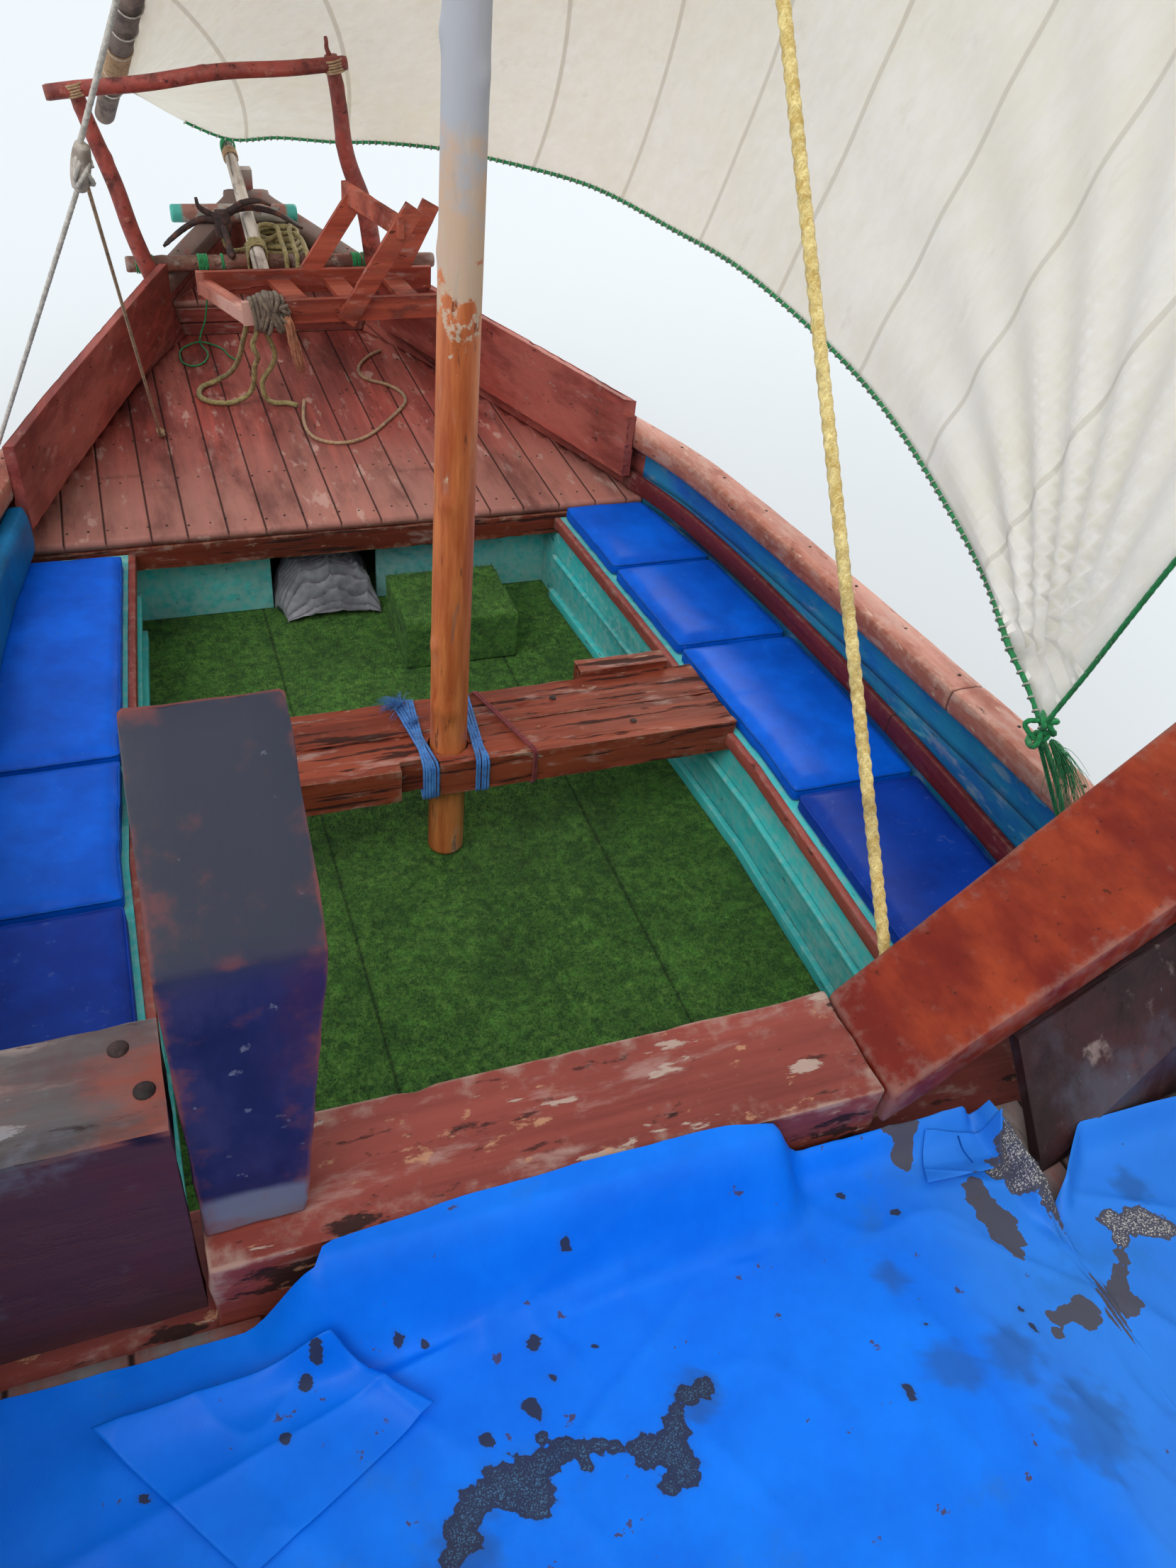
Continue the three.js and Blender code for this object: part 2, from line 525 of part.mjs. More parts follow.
// Poop: bulkhead, carrier beam, deck, the beam at its break, the wings each side and the post
const carrierZ = POOP_Z - POOP_DECK_THICK;
add('poop_bulkhead', overlap(box([-2000, 2000], [POOP_Y - 130, POOP_Y - 90], [FLOOR_Z + GAP, carrierZ - 95 - GAP]), inside), 'turquoise');
const beamEndX = [-980, 95];
add('poop_front_beam', join(
  overlap(box([-2000, 2000], [POOP_Y - POOP_BEAM_WIDTH, POOP_Y], [carrierZ - 95, carrierZ - GAP]), inside),
  box(beamEndX, [POOP_Y - POOP_BEAM_WIDTH, POOP_Y], [carrierZ - 40, POOP_BEAM_Z]),
), 'wornRed');
add('poop_deck', cut(
  overlap(box([-2000, 2000], [-6350, POOP_Y], [carrierZ, POOP_Z]), inside),
  box([beamEndX[0] - GAP, beamEndX[1] + GAP], [POOP_Y - POOP_BEAM_WIDTH - GAP, 0], [0, 3000]),
  timber(
    [V(-2000, aftPlane(-900, 1400), 1400), V(-2000, aftPlane(50 + GAP, 1400), 1400), V(2000, aftPlane(50 + GAP, 1400), 1400), V(2000, aftPlane(-900, 1400), 1400)],
    [V(-2000, aftPlane(-900, 1700), 1700), V(-2000, aftPlane(50 + GAP, 1700), 1700), V(2000, aftPlane(50 + GAP, 1700), 1700), V(2000, aftPlane(-900, 1700), 1700)],
  ),
), 'greyWood');
add('poop_wing_port', trimmedByCaps(overlap(join(
  box([-2000, -985], [-2340, -2160], [WING_Z - 120, WING_Z]),
  box([-2000, -985], [-2340, -2300], [POOP_Z + GAP, WING_Z - 60]),
), inside)), 'greyWood');
// the starboard wing timber rises outboard from the beam's end to the ship's side
function wingTimber(grow, extraHeight) {
  const end = (x, farY, nearY, z) => [
    V(x, farY + grow, z - WING_DEPTH - grow), V(x, farY + grow, z + extraHeight),
    V(x, nearY - grow, z + extraHeight), V(x, nearY - grow, z - WING_DEPTH - grow),
  ];
  return timber(end(95.4, -2160, -2385, POOP_BEAM_Z), end(1760, -1707, -2106, 2315));
}
add('poop_wing_stbd', trimmedByCaps(overlap(wingTimber(0, 0), inside)), 'redWood');
const wingBoards = timber(
  [V(360, -2510, POOP_Z + GAP), V(360, -2350, 1712), V(360, -2310, 1712), V(360, -2470, POOP_Z + GAP)],
  [V(1760, -2240, POOP_Z + GAP), V(1760, -2115, 2220), V(1760, -2075, 2220), V(1760, -2200, POOP_Z + GAP)],
);
add('poop_wing_boards_stbd', trimmedByCaps(cut(overlap(wingBoards, inside), wingTimber(2, 400))), 'greyWood');
add('poop_post', timber(
  [V(-976, -2320, POOP_BEAM_Z + GAP), V(-976, -2152, POOP_BEAM_Z + GAP), V(-833, -2152, POOP_BEAM_Z + GAP), V(-833, -2320, POOP_BEAM_Z + GAP)],
  [V(-976, -2326, 2250), V(-966, -2154, 2500), V(-784, -2154, 2500), V(-777, -2326, 2250)],
), 'darkWood');
// the tarp lies on the deck and over the after edge of the beam
const tarpProfile = [[-2330, POOP_BEAM_Z + GAP], [-2380, POOP_BEAM_Z + GAP], [-2520, POOP_Z + GAP], [-4700, POOP_Z + GAP],
  [-4700, POOP_Z + 14], [-2530, POOP_Z + 14], [-2390, POOP_BEAM_Z + 14], [-2330, POOP_BEAM_Z + 14]];
const tarpShape = new THREE.Shape(tarpProfile.map(([y, z]) => new THREE.Vector2(y, z)));
const tarpSheet = new THREE.ExtrudeGeometry(tarpShape, { depth: 2260, bevelEnabled: false });
tarpSheet.applyMatrix4(new THREE.Matrix4().makeBasis(V(0, 1, 0), V(0, 0, 1), V(1, 0, 0)));
tarpSheet.translate(-1150, 0, 0);
add('poop_tarp', cut(
  tarpSheet, box([-1400, -826], [-2460, -2000], [1000, 2600]), box([85, 1400], [-2530, -2000], [1000, 2600]),
), 'tarp');

// Bow gear: a frame of crooked logs, a beam across the rails, the pole that serves as a bowsprit,
// a mooring bar and a small grapnel
const frameBars = [
  [[V(-632, 3735, 930), V(-760, 3735, 1400), V(-888, 3735, 1870)], [46, 42, 36]],
  [[V(575, 3730, 930), V(500, 3730, 1250), V(352, 3730, 2030)], [54, 48, 36]],
  [[V(-1019, 3690, 1833), V(426, 3690, 2005)], [36, 34]],
  [[V(345, 3730, 1990), V(330, 3730, 2110)], [14, 10]],
];
add('bow_frame', trimmedByCaps(join(...frameBars.map(([route, radii]) => roundBar(route, radii)))), 'wornRed');
add('catbeam', trimmedByCaps(roundBar([V(-766, 3831, CATBEAM_Z), V(922, 3831, CATBEAM_Z)], CATBEAM_R, 12)), 'wornRed');
const bowspritZ = (y) => CATBEAM_Z + CATBEAM_R + BOWSPRIT_R + 0.6 + BOWSPRIT_SLOPE * (y - 3831);
add('bowsprit', roundBar(
  [V(-92, 3200, bowspritZ(3200)), V(-78, 3831, bowspritZ(3831)), V(-62, 5020, bowspritZ(5020))], [42, BOWSPRIT_R, 32], 12,
), 'paleRope');
add('mooring_bar', trimmedByCaps(roundBar([V(-472, 4400, 1088), V(240, 4400, 1088)], MOORING_BAR_R)), 'turquoise');
const anchorBars = [
  [[V(-222, 4030, 1075), V(-225, 4030, 1215)], [48, 40]],
  [[V(-225, 4030, 1155), V(-212, 3780, 1035.7)], [16, 16]],
  [[V(-225, 4030, 1150), V(-330, 4025, 1165), V(-427, 4000, 1129), V(-500, 3975, 1085), V(-555, 3950, 1047)], [20, 18, 17, 15, 10]],
  [[V(-225, 4035, 1160), V(-290, 4045, 1190), V(-340, 4050, 1225), V(-350, 4060, 1270)], [20, 18, 16, 10]],
  [[V(-225, 4040, 1180), V(-172, 4045, 1205), V(-108, 4050, 1240), V(-20, 4055, 1252), V(50, 4060, 1228)], [20, 19, 18, 17, 10]],
  [[V(-225, 4050, 1160), V(-140, 4100, 1192), V(-40, 4110, 1200), V(90, 4080, 1175), V(215, 4030, 1110)], [20, 18, 17, 15, 10]],
];
add('anchor', join(...anchorBars.map(([route, radii]) => roundBar(route, radii, 8))), 'iron');

// The boarding ladder lies across the foredeck with its starboard ends on the washboard and a frame of
// planks standing up from its rails
const LADDER_BOTTOM_Z = WASHBOARD_TOP + GAP + 0.2;
const LADDER_Z = LADDER_BOTTOM_Z + LADDER_DEPTH / 2;
const farRail = (x) => V(x, 3190 + 0.025 * x, LADDER_Z);
const nearRail = (x) => V(x, 2762 + 0.045 * x, LADDER_Z);
const TREAD_XS = [[-60, 20], [225, 265], [525, 565]];
const treads = TREAD_XS.map(([far, near]) => spanTimber(farRail(far), nearRail(near), 110, 28));
const LADDER_ARMS = [
  [V(58, 3222, 1075), V(380, 3222, 1535)],
  [V(200, 2741, 1062), V(545, 2741, 1592)],
  [V(547, 3234, 1075), V(751, 3234, 1473)],
];
add('boarding_ladder', join(
  spanTimber(farRail(-457), farRail(745), LADDER_THICK, LADDER_DEPTH),
  spanTimber(nearRail(-293), nearRail(905), LADDER_THICK, LADDER_DEPTH),
  ...treads,
  roundBar([farRail(-408), nearRail(-245)], 27, 12),
  spanTimber(farRail(-446).add(V(0, 0, -20)), nearRail(-282).add(V(0, 0, -20)), 20, 64),
  ...LADDER_ARMS.map(([low, high]) => spanTimber(low, high, 32, 95)),
  spanTimber(V(310, 3270, 1520), V(474, 2700, 1510), 30, 100),
), 'redWood');

// Ropes. Each route is the rope's own lie in millimetres: it leaves what holds it, falls, and lies on
// the deck. A deck point gives its lift above the deck last, and leaves it out where there is none.
function ropeAlong(points, radius, steps, sides = 8) {
  const section = new THREE.Shape(Array.from({ length: sides }, (_, k) => {
    const turn = ((k + 0.5) / sides) * 2 * Math.PI;
    return new THREE.Vector2(radius * Math.cos(turn), radius * Math.sin(turn));
  }));
  const route = new THREE.CatmullRomCurve3(points.map((p) => V(...p)), false, 'centripetal');
  return new THREE.ExtrudeGeometry(section, { steps, bevelEnabled: false, extrudePath: route });
}
const onDeck = (rows, radius) => rows.map(([x, y, lift = 0]) => [x, y, FOREDECK_Z + 0.5 + radius + lift]);

// Rope hanging in a loose chain from the ladder's near rail, then lying in a loop
const SINNET_TAIL = [[-262, 2938, 17], [-290, 2915, 1], [-340, 2896], [-400, 2882], [-455, 2895], [-498, 2935],
  [-512, 2995], [-492, 3055], [-447, 3098], [-390, 3122], [-335, 3155], [-300, 3205], [-280, 3265]];
add('sinnet_rope', join(
  roundBar([V(-232, 2756, 1056.9), V(-232, 2756, 1020), V(-236, 2785, 960), V(-242, 2825, 860), V(-250, 2872, 750),
    V(-257, 2905, 644)], [30, 44, 46, 46, 46, 44], 12),
  ropeAlong([[-258, 2910, 652], ...onDeck(SINNET_TAIL, SINNET_R)], SINNET_R, 34),
), 'oliveRope');

// Green line from the lashing on the catbeam
const GREEN_LIE = [[-435, 3765, 3], [-434, 3690], [-415, 3600], [-416, 3520], [-452, 3430], [-505, 3395], [-548, 3430],
  [-562, 3520], [-548, 3620], [-500, 3680, 4], [-436, 3694, 13], [-370, 3670, 4], [-325, 3610], [-305, 3520], [-268, 3440]];
add('green_line', ropeAlong([
  [-352, 3834 - CATBEAM_R - 9, 990], [-358, 3780, 900], [-372, 3781, 800], [-392, 3782, 700], [-414, 3786, 640], [-428, 3790, 616],
  ...onDeck(GREEN_LIE, LINE_R),
], LINE_R, 78), 'greenRope');

// Tan rope lying across the foredeck
const TAN_LIE = [[532, 3500], [470, 3450], [415, 3380], [370, 3300], [350, 3216], [358, 3140], [400, 3085], [455, 3040],
  [500, 2970], [522, 2888], [512, 2800], [472, 2725], [420, 2650], [360, 2570], [290, 2480], [205, 2400], [120, 2364],
  [35, 2375], [-25, 2430], [-50, 2520], [-48, 2640], [-30, 2760], [-5, 2880]];
add('tan_rope', ropeAlong(onDeck(TAN_LIE, TAN_R), TAN_R, 78), 'paleRope');

// The anchor's rope: a lead down from the crown and the domed ring that holds the heaped length
const COIL = { x: 80, y: 4200, inner: 88, outer: 190, side: 150, height: 285 };
const coilSection = [[COIL.inner, 0], [COIL.outer, 0], [COIL.outer, COIL.side], [COIL.outer - 25, 215],
  [COIL.outer - 55, 262], [COIL.inner + 30, COIL.height], [COIL.inner + 7, COIL.height],
  [COIL.inner, COIL.height - 35], [COIL.inner, 0]];
const coil = new THREE.LatheGeometry(coilSection.map(([r, z]) => new THREE.Vector2(r, z)), 28);
coil.rotateX(Math.PI / 2);
coil.translate(COIL.x, COIL.y, BOW_DECK_Z + GAP);
add('anchor_rope_coil', geometryOf(solidOf(coil)), 'oliveRope');
add('anchor_rope_lead', ropeAlong([
  [-222, 4030, 1074.2], [-222, 4030, 1045], [-217, 4031, 1016], [-198, 4034, 992], [-162, 4042, 978],
  [-120, 4053, 982], [-82, 4063, 991], [-45.2, 4074.6, 998],
], ANCHOR_ROPE_R, 16), 'oliveRope');

// Cloth stuffed into the locker under the foredeck
const clothRing = (y, inset, low, high) => [
  V(-355 + inset, y, low), V(-350 + inset, y, (low + high) / 2), V(-260 + inset, y, high), V(40 - inset, y, high - 30),
  V(100 - inset, y, (low + high) / 2), V(105 - inset, y, low),
];
add('cloth_bundle', skin([
  clothRing(1590, 60, 130, 300), clothRing(1640, 10, FLOOR_Z + GAP, 380), clothRing(1850, 0, FLOOR_Z + GAP, 400),
  clothRing(1990, 50, FLOOR_Z + GAP, 330),
]), 'greyCloth');

// Standing and running gear that stays with the hull
const aroundMast = (z, reach, thick) => new THREE.TorusGeometry(reach, thick, 8, 24).translate(0, MAST_Y, z);
const mastR = (z) => MAST_FOOT_R + (MAST_TRUCK_R - MAST_FOOT_R) * (z / MAST_TRUCK_Z);
add('halyard', join(
  aroundMast(4950, mastR(4950) + 13, 12),
  roundBar([V(20, -88, 4960), V(30, -100, 4920), V(246, -2108, 1690)], 12, 10),
), 'yellowRope');
const SHROUD_BLOCK = V(-905, 1085, 2200);
add('port_shroud', join(
  aroundMast(4480, mastR(4480) + 11, 10),
  roundBar([V(-62, 20, 4480), SHROUD_BLOCK], 10, 8),
  roundBar([SHROUD_BLOCK.clone().add(V(0, 0, -30)), V(-1425, 1690, railTop(1690) + 5.2)], 9, 8),
  roundBar([SHROUD_BLOCK.clone().add(V(0, 0, -30)), V(-745, 2560, FOREDECK_Z + 6.6)], 9, 8),
  spanTimber(SHROUD_BLOCK.clone().add(V(10, -12, 50)), SHROUD_BLOCK.clone().add(V(-20, 24, -90)), 50, 70),
), 'paleRope');

// The lateen yard swings about the mast, with the sail laced along it. This group stands at the
// mast's axis.
const rig = new THREE.Group();
rig.position.set(0, MAST_Y, 0);
dhow.add(rig);
const yardDirection = V(0.870, -5.250, 3.760).normalize();
const yardAtMast = V(YARD_OFF_MAST, -MAST_Y, MAST_HEAD_SLING_Z);
const yardPoint = (run) => yardAtMast.clone().addScaledVector(yardDirection, run - YARD_SLING_RUN);
const yardR = curveThrough([[0, 58], [3000, 74], [YARD_SLING_RUN, YARD_R], [10000, 66], [YARD_LENGTH, 34]]);
const yardRuns = [0, 1500, 3200, 5000, YARD_SLING_RUN, 8200, 10000, 11800, YARD_LENGTH];
add('yard', join(
  roundBar(yardRuns.map(yardPoint), yardRuns.map(yardR), 12),
  new THREE.TorusGeometry(mastR(MAST_HEAD_SLING_Z - 20) + 20, 14, 8, 28).translate(0, 0, MAST_HEAD_SLING_Z - 20),
), 'spar', rig);

// The sail's foot from tack to clew, in millimetres from the origin
const SAIL_FOOT = [
  [-560, 4930, 1580], [-270, 4920, 1430], [-55, 4900, 1360], [200, 4650, 1430], [490, 4450, 1460], [700, 4200, 1520],
  [1000, 3850, 1575], [1190, 3550, 1600], [1500, 2950, 1636], [1680, 2250, 1630], [1755, 1650, 1640],
  [1820, 650, 1545], [1650, -300, 1470], [1430, -1000, 1430], [1360, -1250, 1370],
];
const footCurve = new THREE.CatmullRomCurve3(SAIL_FOOT.map(([x, y, z]) => V(x, y - MAST_Y, z)), false, 'centripetal');
const besideYard = V(-yardDirection.y, yardDirection.x, 0).normalize();
function sailPoint(a, b) {
  const run = SAIL_HEAD_RUN[0] + a * (SAIL_HEAD_RUN[1] - SAIL_HEAD_RUN[0]);
  const head = yardPoint(run).addScaledVector(besideYard, yardR(run) + SAIL_THICK / 2 - 1);
  const p = footCurve.getPointAt(a).lerp(head, b);
  const bow = 4 * b * (1 - b);
  p.addScaledVector(V(0.93, 0.37, 0), SAIL_BELLY * Math.sin(Math.PI * a) * bow);
  p.y += LEECH_HOLLOW * bow * a ** 3;
  return p;
}
const SAIL_GRID = [30, 22];
function sailNormal(a, b) {
  const h = 1e-3;
  const along = sailPoint(Math.min(a + h, 1), b).sub(sailPoint(Math.max(a - h, 0), b));
  const up = sailPoint(a, Math.min(b + h, 1)).sub(sailPoint(a, Math.max(b - h, 0)));
  return along.cross(up).normalize();
}
function sailGeometry() {
  const rings = [];
  for (let i = 0; i <= SAIL_GRID[0]; i += 1) {
    const faces = [1, -1].map((side) => Array.from({ length: SAIL_GRID[1] + 1 }, (_, j) => {
      const a = i / SAIL_GRID[0];
      const b = j / SAIL_GRID[1];
      return sailPoint(a, b).addScaledVector(sailNormal(a, b), side * SAIL_THICK / 2);
    }));
    rings.push([...faces[0], ...faces[1].reverse()]);
  }
  return skin(rings);
}
add('sail', sailGeometry(), 'sail', rig);

export default dhow;
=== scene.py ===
# %% [markdown]
# # A planked sailing dhow, dressed piece by piece
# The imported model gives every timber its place. This lesson builds the surfaces that a person sees:
# worn paint, open seams, twisted rope, puffed cushions and a laced sail. Lengths are in metres, +X is
# starboard, +Y is the bow, and the water is at z = 0.

import json
import math

import bmesh
import bpy
import numpy as np
from mathutils import Matrix, Vector
from mathutils.bvhtree import BVHTree

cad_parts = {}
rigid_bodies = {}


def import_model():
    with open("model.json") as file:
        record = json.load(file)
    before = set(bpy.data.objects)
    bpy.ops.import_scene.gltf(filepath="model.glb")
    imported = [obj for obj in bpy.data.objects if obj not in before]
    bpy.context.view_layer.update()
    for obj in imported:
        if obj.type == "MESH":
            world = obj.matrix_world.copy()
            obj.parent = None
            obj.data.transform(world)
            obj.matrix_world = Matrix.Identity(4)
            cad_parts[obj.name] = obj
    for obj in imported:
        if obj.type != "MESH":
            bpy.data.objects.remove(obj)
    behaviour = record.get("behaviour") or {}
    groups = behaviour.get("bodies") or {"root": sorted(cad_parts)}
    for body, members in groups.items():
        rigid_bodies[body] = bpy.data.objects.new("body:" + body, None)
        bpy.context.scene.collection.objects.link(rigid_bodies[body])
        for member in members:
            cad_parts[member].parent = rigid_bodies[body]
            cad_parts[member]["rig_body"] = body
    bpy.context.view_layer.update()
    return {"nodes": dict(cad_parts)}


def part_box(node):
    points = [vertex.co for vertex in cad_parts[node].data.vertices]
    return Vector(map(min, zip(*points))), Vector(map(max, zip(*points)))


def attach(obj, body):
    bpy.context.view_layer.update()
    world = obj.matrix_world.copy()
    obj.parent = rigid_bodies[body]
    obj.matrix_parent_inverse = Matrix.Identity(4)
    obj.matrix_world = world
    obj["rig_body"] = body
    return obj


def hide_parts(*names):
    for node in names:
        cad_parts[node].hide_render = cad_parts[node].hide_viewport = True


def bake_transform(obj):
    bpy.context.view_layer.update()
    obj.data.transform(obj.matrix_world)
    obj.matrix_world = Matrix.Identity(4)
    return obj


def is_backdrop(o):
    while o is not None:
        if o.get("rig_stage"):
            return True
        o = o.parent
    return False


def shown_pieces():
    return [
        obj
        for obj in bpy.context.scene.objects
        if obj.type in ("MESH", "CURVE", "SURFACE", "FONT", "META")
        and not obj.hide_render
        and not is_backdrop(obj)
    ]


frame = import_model()

# %% [markdown]
# ## The camera
# The view is from eye height above the poop, a little to port, looking forward and down. A camera is a
# position and three directions: right, down and ahead. Blender's camera looks along its own -Z with +Y
# up, so those directions fill the columns of its matrix.

# %% Camera
CAMERA_AT = (-0.91, -3.25, 3.30)
YAW, PITCH, ROLL = np.radians([24.5, 40.3, -7.2])
LENS_MM = 27.67

ahead = np.array([math.sin(YAW) * math.cos(PITCH), math.cos(YAW) * math.cos(PITCH), -math.sin(PITCH)])
level = np.array([math.cos(YAW), -math.sin(YAW), 0.0])
down = np.cross(ahead, level)
right = math.cos(ROLL) * level + math.sin(ROLL) * down
down = math.cos(ROLL) * down - math.sin(ROLL) * level


def placed(name, data):
    """A new object that shows the data in the scene."""
    made = bpy.data.objects.new(name, data)
    bpy.context.scene.collection.objects.link(made)
    return made


camera = placed("camera", bpy.data.cameras.new("camera"))
camera.data.lens = LENS_MM
camera.data.clip_end = 400
camera.matrix_world = Matrix((
    (right[0], -down[0], -ahead[0], CAMERA_AT[0]),
    (right[1], -down[1], -ahead[1], CAMERA_AT[1]),
    (right[2], -down[2], -ahead[2], CAMERA_AT[2]),
    (0, 0, 0, 1),
))
bpy.context.scene.camera = camera
print("camera at", CAMERA_AT)

# %% [markdown]
# ## Shapes from grids
# Every new piece is a table of points worked out at once with numpy. Two kinds are enough: a sheet with
# a front and a back grid, sewn round its edge, and a loft of rings with closed ends. Both come out as
# closed skins with their faces outwards.

# %% Mesh helpers
rng = np.random.default_rng(7)


def unit(v):
    """Each vector divided by its own length."""
    v = np.asarray(v, float)
    return v / np.maximum(np.linalg.norm(v, axis=-1, keepdims=True), 1e-12)


def grid_faces(rows, columns, start=0, around=False):
    """Quads between neighbouring rows and columns of a point table; around also joins last to first."""
    index = np.arange(rows * columns).reshape(rows, columns) + start
    if around:
        index = np.hstack([index, index[:, :1]])
    return np.stack([index[:-1, :-1], index[1:, :-1], index[1:, 1:], index[:-1, 1:]], -1).reshape(-1, 4)


def make_mesh(name, points, faces, uv=None, marks=None, smooth=True, merge=True, recalc=True):
    """A mesh object from points (n, 3) and lists of faces; uv and marks hold a value for each point."""
    mesh = bpy.data.meshes.new(name)
    flat = [face for part in faces for face in (part.tolist() if hasattr(part, "tolist") else part)]
    mesh.from_pydata(np.asarray(points, float).reshape(-1, 3).tolist(), [], flat)
    loops = np.zeros(len(mesh.loops), int)
    mesh.loops.foreach_get("vertex_index", loops)
    if uv is not None:
        layer = mesh.uv_layers.new(name="UVMap")
        layer.data.foreach_set("uv", np.asarray(uv, float).reshape(-1, 2)[loops].ravel())
    for key, values in (marks or {}).items():
        attribute = mesh.attributes.new(key, "FLOAT", "POINT")
        attribute.data.foreach_set("value", np.asarray(values, np.float32).ravel())
    if merge or recalc:
        work = bmesh.new()
        work.from_mesh(mesh)
        if merge:
            bmesh.ops.remove_doubles(work, verts=work.verts, dist=2e-5)
            bmesh.ops.dissolve_degenerate(work, edges=work.edges, dist=1e-6)
        if recalc:
            bmesh.ops.recalc_face_normals(work, faces=work.faces)
        work.to_mesh(mesh)
        work.free()
    mesh.polygons.foreach_set("use_smooth", np.full(len(mesh.polygons), smooth))
    mesh.update()
    return placed(name, mesh)


def closed_sheet(front, back):
    """Points and faces of two equal grids, front and back, with strips sewn along all four edges."""
    rows, columns = front.shape[:2]
    size = rows * columns
    index = np.arange(size).reshape(rows, columns)
    edges = [index[0], index[:, -1], index[-1, ::-1], index[::-1, 0]]
    strips = [np.stack([e[:-1], e[1:], e[1:] + size, e[:-1] + size], -1) for e in edges]
    faces = [grid_faces(rows, columns), grid_faces(rows, columns, size)[:, ::-1], *strips]
    return np.concatenate([front.reshape(-1, 3), back.reshape(-1, 3)]), faces


def closed_loft(rings):
    """Points and faces of rings joined in order, each end closed by one flat face."""
    rows, columns = rings.shape[:2]
    first = [list(range(columns))[::-1]]
    last = [list(range((rows - 1) * columns, rows * columns))]
    return rings.reshape(-1, 3), [grid_faces(rows, columns, around=True), first, last]


def looped_faces(rows, columns, count=1):
    """Quads of count closed rings whose rows go round each ring and whose columns go round its section."""
    index = np.arange(count * rows * columns).reshape(count, rows, columns)
    ahead = np.roll(index, -1, 1)
    return np.stack([index, ahead, np.roll(ahead, -1, 2), np.roll(index, -1, 2)], -1).reshape(-1, 4)


def lines_at(lines, places, *offsets):
    """Grid lines, with more of them at the offsets from each of the places."""
    return np.unique(np.concatenate([lines, *[place + np.array(offsets) for place in places]]))


def ripple(p, size, seed=0, waves=9):
    """A smooth bumpy field from -1 to 1: the mean of sine waves in random directions of one rough size."""
    own = np.random.default_rng(seed)
    directions = unit(own.normal(size=(waves, 3))) * own.uniform(0.6, 1.7, (waves, 1)) * 2 * math.pi / size
    phases = own.uniform(0, 2 * math.pi, waves)
    return np.sin(p @ directions.T + phases).mean(-1) * 1.6


def steps(a, b, count):
    """Numbers from a to b, all the same distance apart."""
    return np.linspace(a, b, count)


def ease(a, b, x):
    """0 below a, 1 above b, and a smooth S between."""
    t = np.clip((np.asarray(x, float) - a) / (b - a), 0, 1)
    return t * t * (3 - 2 * t)


def curve_through(rows):
    """A smooth curve through [position, value] rows by cubic Hermite pieces with central slopes."""
    rows = np.array(rows, float)
    before = rows[np.maximum(np.arange(len(rows)) - 1, 0)]
    after = rows[np.minimum(np.arange(len(rows)) + 1, len(rows) - 1)]
    slope = (after[:, 1] - before[:, 1]) / (after[:, 0] - before[:, 0])

    def value(at):
        x = np.clip(at, rows[0, 0], rows[-1, 0])
        i = np.clip(np.searchsorted(rows[:, 0], x, side="left") - 1, 0, len(rows) - 2)
        h = rows[i + 1, 0] - rows[i, 0]
        t = (x - rows[i, 0]) / h
        return ((2 * t**3 - 3 * t**2 + 1) * rows[i, 1] + (t**3 - 2 * t**2 + t) * h * slope[i]
                + (3 * t**2 - 2 * t**3) * rows[i + 1, 1] + (t**3 - t**2) * h * slope[i + 1])

    return value


def run_of(path):
    """The distance along a path from its start to each of its points."""
    return np.concatenate([[0], np.cumsum(np.linalg.norm(np.diff(path, axis=0), axis=1))])


def even_points(path, count):
    """Points at equal steps along a path."""
    run = run_of(path)
    even = steps(0, run[-1], count)
    return np.stack([np.interp(even, run, path[:, k]) for k in range(3)], -1)


def smooth_path(points, count):
    """A path of equal steps along the cubic Hermite curve through the points, by distance."""
    points = np.asarray(points, float)
    run = run_of(points)
    fine = steps(0, run[-1], count * 4)
    curve = np.stack([curve_through(np.stack([run, points[:, k]], -1))(fine) for k in range(3)], -1)
    return even_points(curve, count)


def path_length(path):
    """The sum of the distances between neighbouring points."""
    return float(np.linalg.norm(np.diff(path, axis=0), axis=1).sum())


def path_frames(path):
    """Along, side and up directions down a path. Each side is the last one carried on without twist."""
    along = unit(np.gradient(path, axis=0))
    side = np.zeros_like(along)
    start = np.array([0.0, 0, 1]) if abs(along[0, 2]) < 0.9 else np.array([1.0, 0, 0])
    side[0] = unit(np.cross(along[0], start))
    for i in range(1, len(path)):
        carried = side[i - 1] - along[i] * (side[i - 1] @ along[i])
        side[i] = unit(carried)
    return along, side, np.cross(side, along)


def full_turn(count):
    """Equal angles round a circle, without the last, which meets the first."""
    return steps(0, 2 * math.pi, count + 1)[:-1]


def round_at(centres, side, up, angle, r, thin=None):
    """Rings about centres: centre + r cos(angle) side + thin sin(angle) up, where thin is r if not given."""
    thin = r if thin is None else thin
    return (centres[:, None] + (r * np.cos(angle))[..., None] * side[:, None]
            + (thin * np.sin(angle))[..., None] * up[:, None])


def tube_rings(path, radius, sides=12, lobes=0, lay=0.08, depth=0.2):
    """Rings round a path. With lobes, the radius dips between strands that wind once round every lay
    metres: r = R (1 - depth + depth |cos(lobes/2 (angle - turn))|)."""
    along, side, up = path_frames(path)
    angle = full_turn(sides)
    r = np.broadcast_to(np.asarray(radius, float), (len(path),))[:, None] * np.ones(sides)
    if lobes:
        turn = run_of(path)[:, None] / lay * 2 * math.pi
        r = r * (1 - depth + depth * np.abs(np.cos(lobes / 2 * (angle - turn))))
    return round_at(path, side, up, angle, r)


